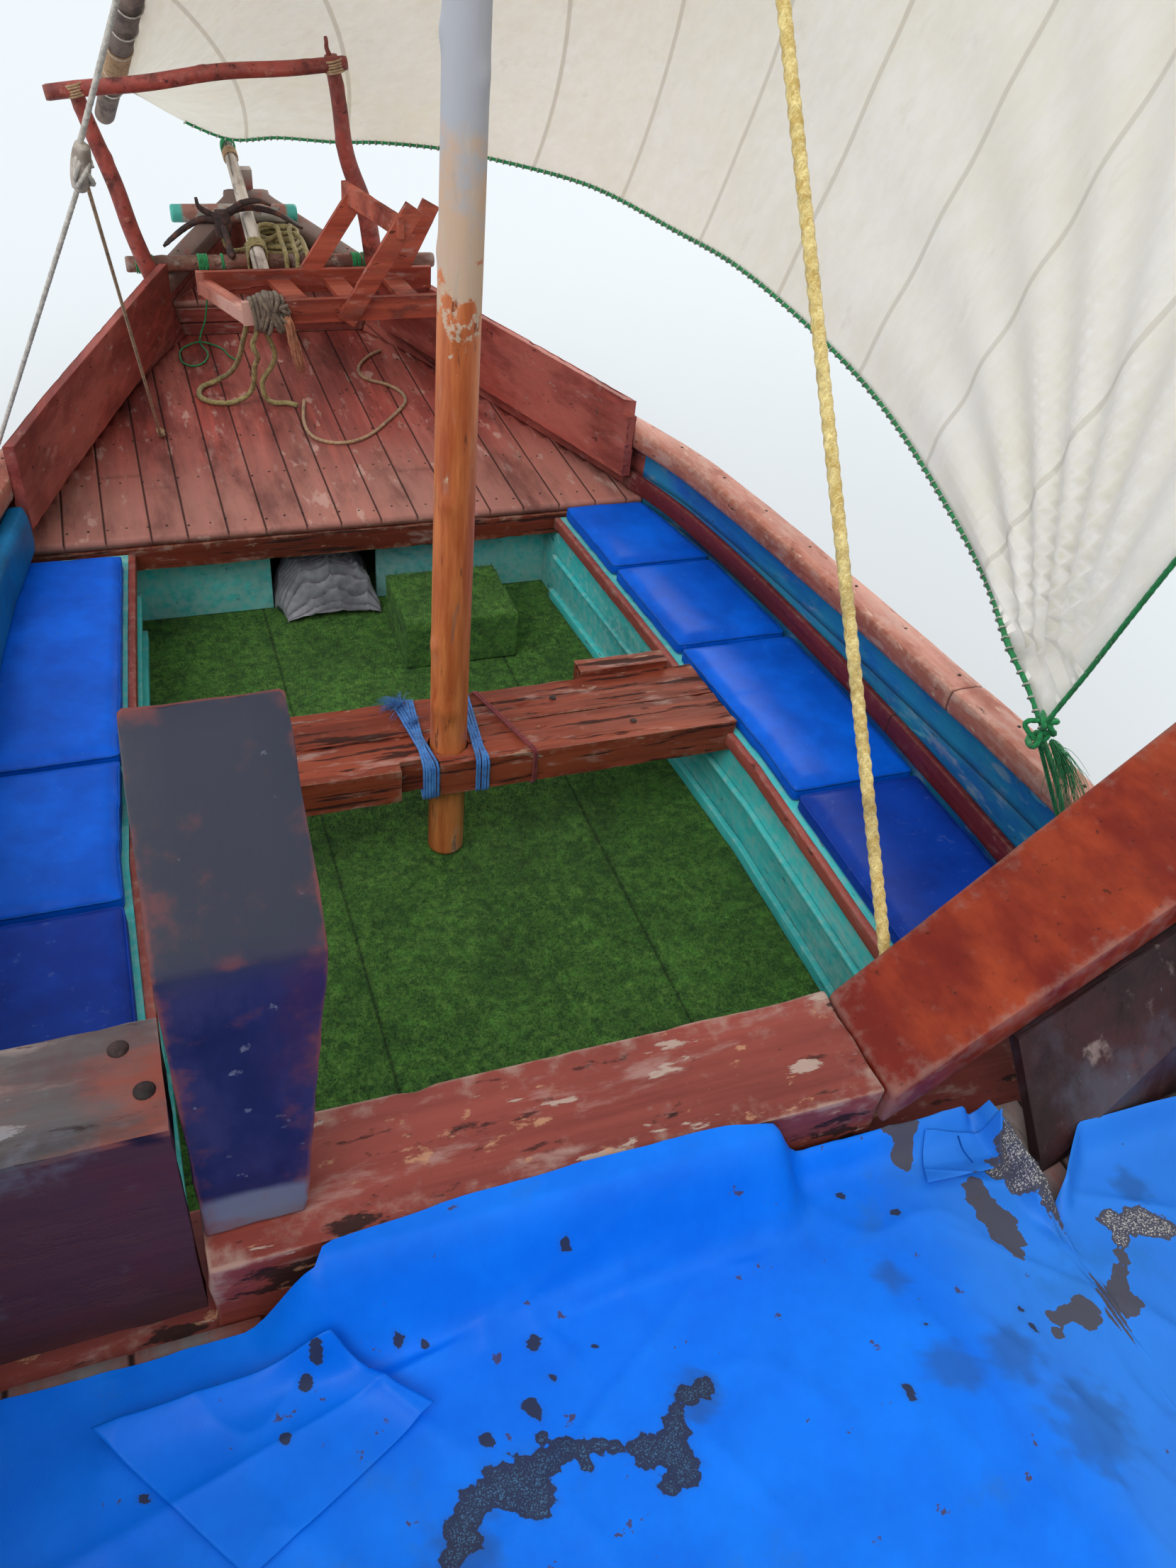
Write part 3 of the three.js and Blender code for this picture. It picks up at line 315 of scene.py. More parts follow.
def rounded_box(width, depth, radius, corner=3):
    """A closed loop of (across, up) points: a rectangle with its corners turned to quarter circles."""
    turn = steps(0, math.pi / 2, corner + 1)
    w, d = width / 2 - radius, depth / 2 - radius
    loops = [np.stack([cx * w + radius * np.cos(turn + a), cy * d + radius * np.sin(turn + a)], -1)
             for cx, cy, a in ((1, 1, 0), (-1, 1, math.pi / 2), (-1, -1, math.pi), (1, -1, 1.5 * math.pi))]
    return np.concatenate(loops)


def with_sides(loop, most):
    """The same closed loop with more points, so that no side is longer than most."""
    ends = np.roll(loop, -1, 0)
    parts = [steps(0, 1, max(int(np.ceil(np.linalg.norm(b - a) / most)), 1) + 1)[:-1, None] * (b - a) + a
             for a, b in zip(loop, ends)]
    return np.concatenate(parts)


def carried(loop, centres, across, up):
    """Rings of a profile carried along a path: centre + across * loop x + up * loop y."""
    return centres[:, None] + loop[None, :, :1] * across[:, None] + loop[None, :, 1:] * up[:, None]


print("helpers ready")

# %% [markdown]
# ## Finishes
# Weathered boats share a few effects: grain that runs along the timber, patches where paint has gone,
# rubbed edges, and a ragged line between two coats. Each effect is one shader node group with named
# sockets, and every material only says how much of each it wants. A layer lays a colour over what is
# below it wherever its mask is white, and may also change the roughness and raise the surface.
# The ragged line also paints light in a few places: glare on the foredeck, sky light on the post's head and a sheen
# on the tarp.

# %% Node groups
def paint(code):
    """A hex colour as the linear numbers that shaders use."""
    srgb = np.array([int(code[i:i + 2], 16) for i in (1, 3, 5)]) / 255
    return (*np.where(srgb <= 0.04045, srgb / 12.92, ((srgb + 0.055) / 1.055) ** 2.4), 1.0)


def new_group(name, inputs, outputs):
    """An empty node group with named sockets; inputs are (name, kind, default)."""
    tree = bpy.data.node_groups.new(name, "ShaderNodeTree")
    for label, kind, default in inputs:
        socket = tree.interface.new_socket(label, in_out="INPUT", socket_type="NodeSocket" + kind)
        socket.default_value = default
    for label in outputs:
        tree.interface.new_socket(label, in_out="OUTPUT", socket_type="NodeSocketFloat")
    return tree, tree.nodes.new("NodeGroupInput").outputs, tree.nodes.new("NodeGroupOutput").inputs


def node(tree, kind, sockets=None, **settings):
    """A node with its settings, and its sockets given as numbers or linked from other outputs."""
    made = tree.nodes.new("ShaderNode" + kind)
    for key, value in settings.items():
        setattr(made, key, value)
    for key, value in (sockets or {}).items():
        if isinstance(value, bpy.types.NodeSocket):
            tree.links.new(value, made.inputs[key])
        else:
            made.inputs[key].default_value = value
    return made


def maths(tree, operation, a, b=0.0, clamp=False):
    """One sum, product or power of two sockets or numbers."""
    return node(tree, "Math", {0: a, 1: b}, operation=operation, use_clamp=clamp).outputs[0]


def noise(tree, vector, scale, detail=4.0, rough=0.6):
    """Cloudy noise from 0 to 1 at each point."""
    made = node(tree, "TexNoise", {"Vector": vector, "Scale": scale, "Detail": detail, "Roughness": rough})
    return made.outputs["Fac"]


def soft_step(tree, value, low, high):
    """0 below low, 1 above high, and smooth between."""
    made = node(tree, "MapRange", {"Value": value, "From Min": low, "From Max": high},
                interpolation_type="SMOOTHSTEP", clamp=True)
    return made.outputs["Result"]


GRAIN, g_in, g_out = new_group("grain", [("Vector", "Vector", (0, 0, 0)), ("Stretch", "Vector", (1, 1, 1)),
                                         ("Scale", "Float", 20.0)], ["Fine", "Broad"])
stretched = node(GRAIN, "VectorMath", {0: g_in["Vector"], 1: g_in["Stretch"]}, operation="MULTIPLY").outputs[0]
GRAIN.links.new(noise(GRAIN, stretched, g_in["Scale"], 6.0, 0.65), g_out["Fine"])
GRAIN.links.new(noise(GRAIN, stretched, maths(GRAIN, "MULTIPLY", g_in["Scale"], 0.16), 2.0), g_out["Broad"])

PATCH, p_in, p_out = new_group("patch", [("Vector", "Vector", (0, 0, 0)), ("Stretch", "Vector", (1, 1, 1)),
                                         ("Scale", "Float", 5.0), ("Amount", "Float", 0.3),
                                         ("Softness", "Float", 0.03)], ["Mask"])
stretched = node(PATCH, "VectorMath", {0: p_in["Vector"], 1: p_in["Stretch"]}, operation="MULTIPLY").outputs[0]
field = noise(PATCH, stretched, p_in["Scale"], 7.0, 0.62)
limit = maths(PATCH, "SUBTRACT", 0.72, maths(PATCH, "MULTIPLY", p_in["Amount"], 0.44))
PATCH.links.new(soft_step(PATCH, field, maths(PATCH, "SUBTRACT", limit, p_in["Softness"]),
                          maths(PATCH, "ADD", limit, p_in["Softness"])), p_out["Mask"])

EDGE, e_in, e_out = new_group("rubbed_edge", [("Vector", "Vector", (0, 0, 0)), ("Scale", "Float", 14.0)],
                                ["Mask"])
pointed = node(EDGE, "NewGeometry").outputs["Pointiness"]
uneven = maths(EDGE, "MULTIPLY", maths(EDGE, "SUBTRACT", noise(EDGE, e_in["Vector"], e_in["Scale"]), 0.5), 0.16)
EDGE.links.new(soft_step(EDGE, maths(EDGE, "ADD", pointed, uneven), 0.515, 0.575), e_out["Mask"])

ZONE, z_in, z_out = new_group("ragged_line", [("Vector", "Vector", (0, 0, 0)), ("Axis", "Vector", (0, 0, 1)),
                                              ("From", "Float", 0.0), ("To", "Float", 1.0),
                                              ("Ragged", "Float", 0.02), ("Scale", "Float", 8.0)], ["Mask"])
height = node(ZONE, "VectorMath", {0: z_in["Vector"], 1: z_in["Axis"]}, operation="DOT_PRODUCT").outputs["Value"]
jag = maths(ZONE, "MULTIPLY", maths(ZONE, "SUBTRACT", noise(ZONE, z_in["Vector"], z_in["Scale"], 6.0), 0.5),
            z_in["Ragged"])
ZONE.links.new(soft_step(ZONE, maths(ZONE, "ADD", height, jag), z_in["From"], z_in["To"]), z_out["Mask"])

WEAVE, w_in, w_out = new_group("weave", [("Vector", "Vector", (0, 0, 0)), ("Threads", "Float", 400.0)],
                               ["Height"])
parts = node(WEAVE, "SeparateXYZ", {0: w_in["Vector"]}).outputs
waves = [maths(WEAVE, "SINE", maths(WEAVE, "MULTIPLY", maths(WEAVE, "MULTIPLY", parts[k], w_in["Threads"]),
                                    2 * math.pi)) for k in (0, 1)]
WEAVE.links.new(maths(WEAVE, "MULTIPLY", waves[0], waves[1]), w_out["Height"])
print("node groups", [g.name for g in bpy.data.node_groups])

# %% [markdown]
# A finish starts from two tones mixed by the grain. Each layer is a tuple that starts with its kind:
# - ("patch", colour, strength, roughness, lift, scale, amount, softness, stretch)
# - ("edge", colour, strength, roughness, lift, scale)
# - ("line", colour, strength, roughness, lift, axis, from, to, ragged, scale)
# - ("mark", colour, strength, roughness, lift, attribute)
# - ("stain", colour, strength, roughness, lift, attribute, ragged, scale): a mark with a crisp torn edge
# - ("weave", colour, strength, roughness, lift, threads)

# %% Finishes as layers
MATERIALS = {}


GROUP_OF = {
    "patch": (PATCH, ("Scale", "Amount", "Softness", "Stretch")),
    "edge": (EDGE, ("Scale",)),
    "line": (ZONE, ("Axis", "From", "To", "Ragged", "Scale")),
    "weave": (WEAVE, ("Threads",)),
}


def grouped(tree, group, sockets):
    """A shared node group placed in a material with its own values; gives the group's outputs."""
    made = tree.nodes.new("ShaderNodeGroup")
    made.node_tree = group
    for key, value in sockets.items():
        if key == "Vector":
            tree.links.new(value, made.inputs[key])
        else:
            made.inputs[key].default_value = value
    return made.outputs


def layer_mask(tree, vector, layer):
    """Where a layer shows, 0 to 1: from its group, or from the vertex mark that it names."""
    kind, args = layer[0], layer[5:]
    if kind in GROUP_OF:
        group, sockets = GROUP_OF[kind]
        return grouped(tree, group, {**dict(zip(sockets, args)), "Vector": vector})[0]
    mark = node(tree, "Attribute", attribute_name=args[0], attribute_type="GEOMETRY").outputs["Fac"]
    if kind == "mark":
        return mark
    torn = maths(tree, "MULTIPLY", maths(tree, "SUBTRACT", noise(tree, vector, args[2], 5.0), 0.5), args[1])
    return soft_step(tree, maths(tree, "ADD", mark, torn), 0.44, 0.53)


def finish(name, dark, light, scale=18.0, stretch=(1, 1, 1), layers=(), rough=(0.6, 0.85), bump=(0.5, 0.002),
           coords="Object", contrast=(0.35, 0.65), **shader):
    """A material: two tones mixed by grain, then each layer over the last."""
    material = bpy.data.materials.new(name)
    material.use_nodes = True
    tree = material.node_tree
    principled = tree.nodes["Principled BSDF"]
    vector = node(tree, "TexCoord").outputs[coords]
    fine, broad = grouped(tree, GRAIN, {"Vector": vector, "Stretch": stretch, "Scale": scale})
    mixed = maths(tree, "ADD", maths(tree, "MULTIPLY", fine, 0.6), maths(tree, "MULTIPLY", broad, 0.4))
    share = soft_step(tree, mixed, *contrast)
    colour = node(tree, "Mix", {"Factor": share, 6: paint(dark), 7: paint(light)}, data_type="RGBA").outputs[2]
    roughness = node(tree, "MapRange", {"Value": fine, "To Min": rough[0], "To Max": rough[1]}).outputs["Result"]
    surface = share
    for layer in layers:
        mask = layer_mask(tree, vector, layer)
        tint, strength, own_rough, lift = layer[1:5]
        if strength:
            cover = maths(tree, "MULTIPLY", mask, strength, clamp=True)
            colour = node(tree, "Mix", {"Factor": cover, 6: colour, 7: paint(tint)}, data_type="RGBA").outputs[2]
            roughness = node(tree, "Mix", {"Factor": cover, 2: roughness, 3: own_rough}).outputs[0]
        if lift:
            surface = maths(tree, "ADD", surface, maths(tree, "MULTIPLY", mask, lift))
    tree.links.new(colour, principled.inputs["Base Color"])
    tree.links.new(roughness, principled.inputs["Roughness"])
    raised = node(tree, "Bump", {"Strength": bump[0], "Distance": bump[1], "Height": surface})
    tree.links.new(raised.outputs["Normal"], principled.inputs["Normal"])
    for key, value in shader.items():
        principled.inputs[key.replace("_", " ")].default_value = value
    MATERIALS[name] = material
    return material


ALONG_Y, ALONG_X, ALONG_Z = (1, 0.06, 1), (0.06, 1, 1), (1, 1, 0.06)
BARE, GRIME, CHALK = "#a58274", "#2b1612", "#c9b3a8"
SEAMS = ("mark", "#1d0f0c", 0.92, 0.95, 0.0, "seam_and_fold_shade")


def shorter(stretch):
    """The same direction with marks a third as long."""
    return tuple(1.0 if s == 1 else 0.28 for s in stretch)


def worn_paint(name, dark, light, stretch, worn=BARE, amount=0.12, scuff=0.14, rough=(0.42, 0.66), more=(),
               faded=None):
    """Old gloss paint on timber: plank-wide tones, dirt, chalky scuffs, dark chips, bare spots, rubbed edges."""
    blotch = shorter(stretch)
    return finish(name, dark, light, 26, stretch, [
        ("patch", faded or light, 0.75, 0.5, 0.0, 3.4, 0.48, 0.10, stretch),
        ("patch", dark, 0.65, 0.6, 0.0, 5.0, 0.42, 0.08, stretch),
        ("patch", GRIME, 0.45, 0.8, -0.2, 2.3, 0.30, 0.16, blotch),
        ("patch", CHALK, 0.34, 0.85, 0.1, 16.0, scuff, 0.07, blotch),
        ("patch", GRIME, 0.75, 0.85, -0.6, 34.0, 0.13, 0.03, blotch),
        ("patch", worn, 0.8, 0.85, -0.8, 19.0, amount, 0.015, blotch),
        ("edge", worn, 0.55, 0.85, 0.0, 26.0), *more, SEAMS,
    ], rough, (0.5, 0.002), Specular_IOR_Level=0.3)


UP, DOWN = (0, 0, 1), (0, 0, -1)
TOPSIDE = ("line", "#8c3020", 0.9, 0.6, 0.4, UP, 0.60, 0.63, 0.03, 6)  # red above this height
BOTTOM = ("line", "#bdb6aa", 0.9, 0.95, 0.3, DOWN, -0.06, -0.04, 0.05, 5)  # pale lime wash below it
print("finish layers ready")

# %% [markdown]
# The palette goes from the deck's old red lead to the bright blue bulwark planks. Grain runs along the
# timber, so the red paint comes in three versions, one for each direction.

# %% The boat's finishes
for tag, run in (("along", ALONG_Y), ("across", ALONG_X), ("upright", ALONG_Z)):
    worn_paint("red_" + tag, "#75302a", "#a94c40", run, faded="#b5665a")
    worn_paint("thwart_" + tag, "#632312", "#96442b", run, "#a5836f", 0.14, 0.2, (0.5, 0.75), [
        ("patch", "#1d0d09", 0.85, 0.9, -1.0, 34, 0.30, 0.03, tuple(s if s < 1 else 0.9 for s in run)),
        ("patch", "#3a1610", 0.75, 0.85, -0.5, 3.0, 0.22, 0.04, shorter(run))])
    worn_paint("grey_" + tag, "#4e4644", "#8b817d", run, "#a9a5a5", 0.25, 0.25, (0.65, 0.85), [
        ("patch", "#9a4a38", 0.8, 0.8, 0.3, 3.6, 0.42, 0.08, shorter(run)),
        ("patch", "#3a201d", 0.8, 0.8, 0.3, 2.6, 0.30, 0.06, (1, 1, 1))])
worn_paint("ladder_red", "#7c2d1e", "#b5523a", ALONG_X, "#b98070", 0.12, 0.2, (0.4, 0.6), [
    ("patch", "#3c1a16", 0.6, 0.8, -0.3, 7, 0.25, 0.06, (0.4, 1, 1)),
    ("line", "#bb7b6a", 0.6, 0.75, 0.1, (-0.874, -0.488, 0), -1.185, -1.165, 0.012, 14),
    ("line", "#d2a596", 0.85, 0.75, 0.1, (-0.874, -0.488, 0), -1.135, -1.115, 0.02, 14),
    ("patch", "#8f5a4e", 0.35, 0.8, -0.2, 14, 0.25, 0.05, (0.4, 1, 1))], faded="#c4664c")
worn_paint("deck_red", "#7c332e", "#b05146", ALONG_Y, faded="#bf6f63", more=[
    # Paler over the foredeck's aft metre: a painted highlight, the glare on the part nearest the waist.
    ("line", "#b98779", 0.55, 0.6, 0.0, (0, -1, 0), -2.75, -1.75, 0.5, 3),
    ("patch", "#c9a294", 0.65, 0.8, 0.0, 12, 0.20, 0.03, (1, 0.35, 1)),
    ("patch", "#431a18", 0.6, 0.8, -0.3, 4, 0.30, 0.10, (1, 0.3, 1))])
finish("stem_wood", "#5a2c20", "#84492f", 22, ALONG_Z, [
    ("patch", "#331a12", 0.6, 0.85, -0.3, 2.4, 0.36, 0.12, ALONG_Z),
    TOPSIDE, ("line", "#a49b92", 0.9, 0.9, 0.2, UP, 1.10, 1.22, 0.10, 12),
    ("patch", "#9c8272", 0.6, 0.95, -0.6, 16, 0.14, 0.02, (1, 0.25, 1)), SEAMS, BOTTOM], (0.5, 0.8), (0.6, 0.003))
worn_paint("poop_beam_red", "#722d26", "#9a4a3f", ALONG_X, "#b9a394", 0.16, 0.2, (0.42, 0.66), [
    ("patch", "#1e1210", 0.9, 0.8, -0.6, 15, 0.23, 0.025, (0.45, 1, 1)),
    ("patch", "#c08e6c", 0.75, 0.85, -0.4, 24, 0.17, 0.03, (0.5, 1, 1))])
finish("wing_red", "#701d12", "#8f2f1a", 9, (1, 0.5, 1), [
    ("patch", "#c0562c", 0.45, 0.42, 0.0, 4.5, 0.42, 0.14, (1, 0.5, 1)),
    ("patch", "#57190f", 0.5, 0.5, 0.0, 3.0, 0.36, 0.16, (1, 0.5, 1)),
    ("patch", "#2c1612", 0.7, 0.8, -0.3, 40, 0.13, 0.03), ("edge", "#9a7c70", 0.45, 0.8, 0, 30)],
    (0.36, 0.5), (0.3, 0.0015), Specular_IOR_Level=0.2)
worn_paint("wing_port_paint", "#3a3334", "#615a5a", ALONG_X, "#908d8e", 0.25, 0.25, (0.6, 0.8), [
    ("patch", "#a04c38", 0.8, 0.7, 0.3, 3.6, 0.42, 0.08, (0.4, 1, 1)),
    ("line", "#4a2c32", 0.96, 0.6, 0.1, DOWN, -1.990, -1.984, 0.003, 12),
    ("patch", "#5e2a2c", 0.5, 0.6, 0.1, 5, 0.30, 0.10),
    ("patch", "#6b6e7a", 0.55, 0.7, 0.1, 7, 0.20, 0.08)])
# The wing boards' near-black tones are painted shade from the slanted wing timber over them; the grey and rust
# patches are their weathering.
worn_paint("wing_board", "#1b1012", "#382023", ALONG_Z, "#6c6c76", 0.14, 0.12, (0.45, 0.7), [
    ("patch", "#4f4e58", 0.75, 0.8, 0.2, 3.2, 0.34, 0.08, (1, 1, 0.5)),
    ("patch", "#7c402c", 0.6, 0.8, 0.2, 8.0, 0.18, 0.06, (1, 1, 0.4))], faded="#481f20")
worn_paint("cap_red", "#8d4533", "#b26b56", ALONG_Y, "#d2ab99", 0.18, 0.35, (0.45, 0.7), [
    ("line", "#6f625b", 0.88, 0.85, 0.0, (0, 1, 0), 3.30, 3.95, 0.5, 5),
    ("patch", "#8d4a3c", 0.5, 0.8, 0.0, 11, 0.30, 0.05, (1, 0.4, 1))], faded="#c07c68")
worn_paint("bulwark_blue", "#125b98", "#1d7cbc", ALONG_Y, "#5a9fb4", 0.12, 0.2, (0.3, 0.5), [
    ("patch", "#2c93a6", 0.6, 0.5, 0.2, 4.0, 0.40, 0.10, (1, 0.4, 1)),
    ("patch", "#8297a0", 0.6, 0.7, 0.0, 9.0, 0.20, 0.05, (1, 0.3, 1))], faded="#1f62c0")
worn_paint("stringer_red", "#541a1c", "#7d2c2a", ALONG_Y, "#84584e", 0.1, 0.1, (0.3, 0.5))
# The turquoise is set lighter than the paint itself: painted light that lifts the shade under the foredeck and the
# benches.
worn_paint("turquoise", "#3bbcbc", "#58e0de", ALONG_Y, "#a9c9c2", 0.08, 0.12, (0.38, 0.58), faded="#4cc2be")
finish("turf", "#21451a", "#568c34", 160, (1, 1, 1), [
    ("patch", "#76a047", 0.5, 1.0, 0.4, 45, 0.35, 0.1), ("patch", "#1b3614", 0.5, 1.0, -0.4, 5, 0.34, 0.15),
    ("mark", "#10220c", 0.8, 1.0, 0.0, "seam_and_fold_shade")], (0.85, 1.0), (0.9, 0.004))
finish("hull_outside", "#5a2c20", "#84492f", 22, ALONG_Y, [
    ("patch", "#331a12", 0.6, 0.85, -0.3, 2.4, 0.36, 0.12, ALONG_Y),
    ("patch", "#9a7058", 0.45, 0.9, 0.2, 7, 0.22, 0.05, ALONG_Y),
    TOPSIDE, ("patch", "#9c8272", 0.7, 0.95, -0.6, 16, 0.14, 0.02, (1, 0.25, 1)), SEAMS, BOTTOM],
    (0.5, 0.8), (0.6, 0.003))
finish("mast_wood", "#ab4f25", "#e0854a", 26, (1, 1, 0.10), [
    ("patch", "#5e2a17", 0.8, 0.7, -0.7, 34, 0.17, 0.03, (1, 1, 0.16)),
    ("patch", "#e3cdaa", 0.9, 0.8, -0.5, 6, 0.16, 0.02, (1, 1, 0.35)),
    ("line", "#cdb59c", 0.85, 0.8, -0.3, UP, 2.12, 2.18, 0.95, 17),
    ("patch", "#c8bfb2", 0.3, 0.8, 0.0, 7, 0.24, 0.06, (1, 1, 0.3)),
    ("line", "#b1b4ba", 0.95, 0.85, 0.0, UP, 2.32, 2.62, 0.9, 12),
    ("patch", "#6d625a", 0.45, 0.8, -0.5, 30, 0.14, 0.03, (1, 1, 0.12)),
    ("mark", "#21140e", 0.9, 0.95, 0.0, "seam_and_fold_shade")], (0.35, 0.62), (0.5, 0.0015))
finish("spar_wood", "#4a3a33", "#7d675c", 26, (0.5, 0.12, 0.2), [
    ("patch", "#2b211d", 0.6, 0.85, -0.4, 9, 0.35, 0.05), ("edge", "#a08f84", 0.4, 0.85, 0, 14),
    ("mark", "#1b120d", 0.9, 0.95, 0.0, "seam_and_fold_shade")], (0.6, 0.85), (0.5, 0.002))
finish("log_red", "#6a251e", "#a04235", 14, (1, 1, 1), [
    ("patch", "#3a120e", 0.75, 0.85, -0.7, 6, 0.30, 0.06), ("patch", "#c07a66", 0.45, 0.8, 0.3, 17, 0.18, 0.04),
    ("patch", "#1e0f0c", 0.8, 0.9, -0.8, 30, 0.16, 0.03), ("edge", "#b07a68", 0.35, 0.9, 0, 18)],
    (0.42, 0.7), (0.7, 0.004))
finish("log_brown", "#54382f", "#8d6a5a", 14, (0.4, 1, 1), [
    ("patch", "#7e3a2e", 0.7, 0.8, -0.3, 5, 0.40, 0.08, (0.4, 1, 1)),
    ("patch", "#9a8f86", 0.6, 0.85, 0.2, 9, 0.30, 0.06),
    ("patch", "#2a1a16", 0.8, 0.9, -0.8, 26, 0.20, 0.03), ("edge", "#a8968a", 0.35, 0.9, 0, 18)],
    (0.55, 0.8), (0.7, 0.004), Specular_IOR_Level=0.3)
finish("log_pale", "#94867a", "#d0c4b6", 16, (1, 0.15, 1), [
    ("patch", "#6e5d50", 0.6, 0.9, -0.6, 8, 0.28, 0.05, (1, 0.3, 1)),
    ("mark", "#3a2b20", 0.9, 0.95, 0.0, "seam_and_fold_shade")], (0.6, 0.85), (0.6, 0.003))
finish("log_mottled", "#7c7971", "#b9b2a6", 16, (0.3, 1, 1), [
    ("patch", "#94503f", 0.75, 0.85, -0.3, 9, 0.38, 0.04), ("patch", "#4a433b", 0.6, 0.9, -0.5, 15, 0.22, 0.03),
    ("mark", "#3fae9f", 0.95, 0.6, 0.3, "turquoise_end")], (0.6, 0.85), (0.6, 0.003))
# The post's very dark navy is partly its paint and partly painted shade on the faces turned from the sky.
finish("post_paint_and_painted_light", "#1e2044", "#2e2f5e", 12, (1, 1, 0.5), [
    ("patch", "#3c3a58", 0.6, 0.5, 0.1, 6, 0.40, 0.10, (1, 1, 0.5)),
    ("patch", "#472741", 0.6, 0.5, 0.0, 4, 0.30, 0.10, (1, 1, 0.5)),
    # Grey head above z 2.2: painted light, the sky on its upward cut face.
    ("line", "#343742", 0.97, 0.5, 0.1, UP, 2.20, 2.28, 0.03, 9),
    ("line", "#7b8190", 0.85, 0.7, 0.0, DOWN, -1.80, -1.775, 0.015, 10),
    ("edge", "#8a4a40", 0.75, 0.8, 0, 16), ("patch", "#8a8fa0", 0.5, 0.8, -0.5, 30, 0.05, 0.03)],
    (0.4, 0.6), (0.35, 0.0015), Specular_IOR_Level=0.3)
finish("iron", "#241c1b", "#4d3834", 40, (1, 1, 1), [
    ("patch", "#7a4a38", 0.7, 0.95, 0.4, 18, 0.32, 0.06), ("patch", "#15110f", 0.6, 0.7, -0.4, 30, 0.3, 0.04)],
    (0.6, 0.9), (0.7, 0.002), Metallic=0.2)
VINYL = {"Specular_IOR_Level": 0.14}
BLUE_SCUFF = ("patch", "#4f86d6", 0.22, 0.6, 0.1, 34, 0.14, 0.04)
NAVY_SCUFF = ("patch", "#6079b4", 0.22, 0.6, 0.1, 30, 0.16, 0.05)
for name, dark, light, shade, dull, rough, scuffs in (
        ("vinyl_blue", "#0053c8", "#0369ea", "#003c9c", 0.45, (0.34, 0.48), [BLUE_SCUFF]),
        ("vinyl_navy", "#062c88", "#0c40aa", "#08256e", 0.45, (0.36, 0.50), [NAVY_SCUFF]),
        ("vinyl_teal", "#0a5a88", "#127ab4", "#0a4468", 0.5, (0.34, 0.48), [])):
    finish(name, dark, light, 6, (1, 1, 1), [
        ("patch", shade, 0.5, dull, -0.2, 2.2, 0.4, 0.2), *scuffs, ("weave", shade, 0.0, 0.5, 0.12, 900)],
        rough, (0.25, 0.0008), **VINYL)
finish("piping", "#04408f", "#0857b8", 30, (1, 1, 1), [], (0.4, 0.55), (0.2, 0.0005), **VINYL)
for name, dark, light in (("rope_yellow", "#c09c48", "#fbe79e"), ("rope_white", "#9f978d", "#e0d8cc"),
                          ("rope_olive", "#5c4f2a", "#b8a76c"), ("rope_tan", "#86684a", "#c8a47c"),
                          ("rope_blue", "#1a5aa6", "#4f95dd"), ("rope_green", "#0a6a38", "#22a45c"),
                          ("rope_red", "#5a1418", "#912c33"), ("rope_orange", "#b0623c", "#eeaa80"),
                          ("rope_grey", "#75706a", "#b0aaa0"), ("rope_brown", "#3c3029", "#8c7a64")):
    finish(name, dark, light, 60, (3, 12, 3), [
        ("patch", "#2b241c", 0.35, 0.95, -0.2, 12, 0.3, 0.1), ("mark", "#1a1510", 0.7, 0.95, 0.0, "seam_and_fold_shade")],
        (0.7, 0.9), (0.6, 0.0012), Sheen_Weight=0.15)
print(len(MATERIALS), "finishes")

# %% [markdown]
# ## Free ropes
# A laid rope is three strands wound round each other. Its surface is a tube whose radius dips between
# the strands, with the dips turning once for every lay. Each free rope lies where its solid lies: these
# are the same routes, in millimetres on the deck, turned into metres. A rope that lies on the deck has its
# own radius between its centre and the planks.

# %% Rope helpers
DECK_Z, POOP_Z = 0.600, 1.550
CATBEAM_Y, CATBEAM_Z, CATBEAM_R = 3.831, 0.9965, 0.042


def dress(piece, material, body="hull", *nodes):
    """Gives a piece its finish and its body, and says which solids it stands for."""
    piece.data.materials.clear()
    piece.data.materials.append(MATERIALS[material])
    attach(piece, body)
    if nodes:
        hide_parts(*nodes)
    return piece


def build(name, shape, material, body="hull", nodes=(), merge=False, **extra):
    """A finished piece from a shape, which is a pair of points and faces."""
    return dress(make_mesh(name, *shape, merge=merge, **extra), material, body, *nodes)


def rope(name, path, diameter, material, body="hull", nodes=(), sides=12, steps_per_lay=9, lay=3.6):
    """A three-strand rope along a path; lay is the length of one twist in diameters."""
    length = path_length(path)
    count = max(int(length / (diameter * lay) * steps_per_lay), 8)
    path = smooth_path(path, count)
    rings = tube_rings(path, diameter / 2, sides, 3, diameter * lay, 0.22)
    uv = np.stack(np.broadcast_arrays(steps(0, length, count)[:, None] * 4, steps(0, 1, sides)), -1)
    return build(name, closed_loft(rings), material, body, nodes, uv=uv), path


def free_rope(name, points, diameter, material, far_end, lay, **extra):
    """A rope with a free run along the points; far_end and lay are not used."""
    piece, path = rope(name, points, diameter, material, **extra)
    print(name, round(path_length(path), 2), "m")


def on_deck(rows, radius):
    """Deck points (x, y, lift) in mm as metres, with the rope's centre its own radius above the deck."""
    rows = [(row + [0])[:3] for row in rows]
    return [(x / 1000, y / 1000, DECK_Z + 0.0005 + radius + lift / 1000) for x, y, lift in rows]


def metres(rows):
    """Rows of millimetres turned into metres."""
    return [tuple(v / 1000 for v in row) for row in rows]


# %% [markdown]
# The hanging rope is wound into a loose spiral under the ladder's near rail, and its tail lies in a loop. A
# spiral is the fall line plus a circle that turns as it drops; the circle opens and closes softly so
# that the rope bends no tighter than two of its diameters.

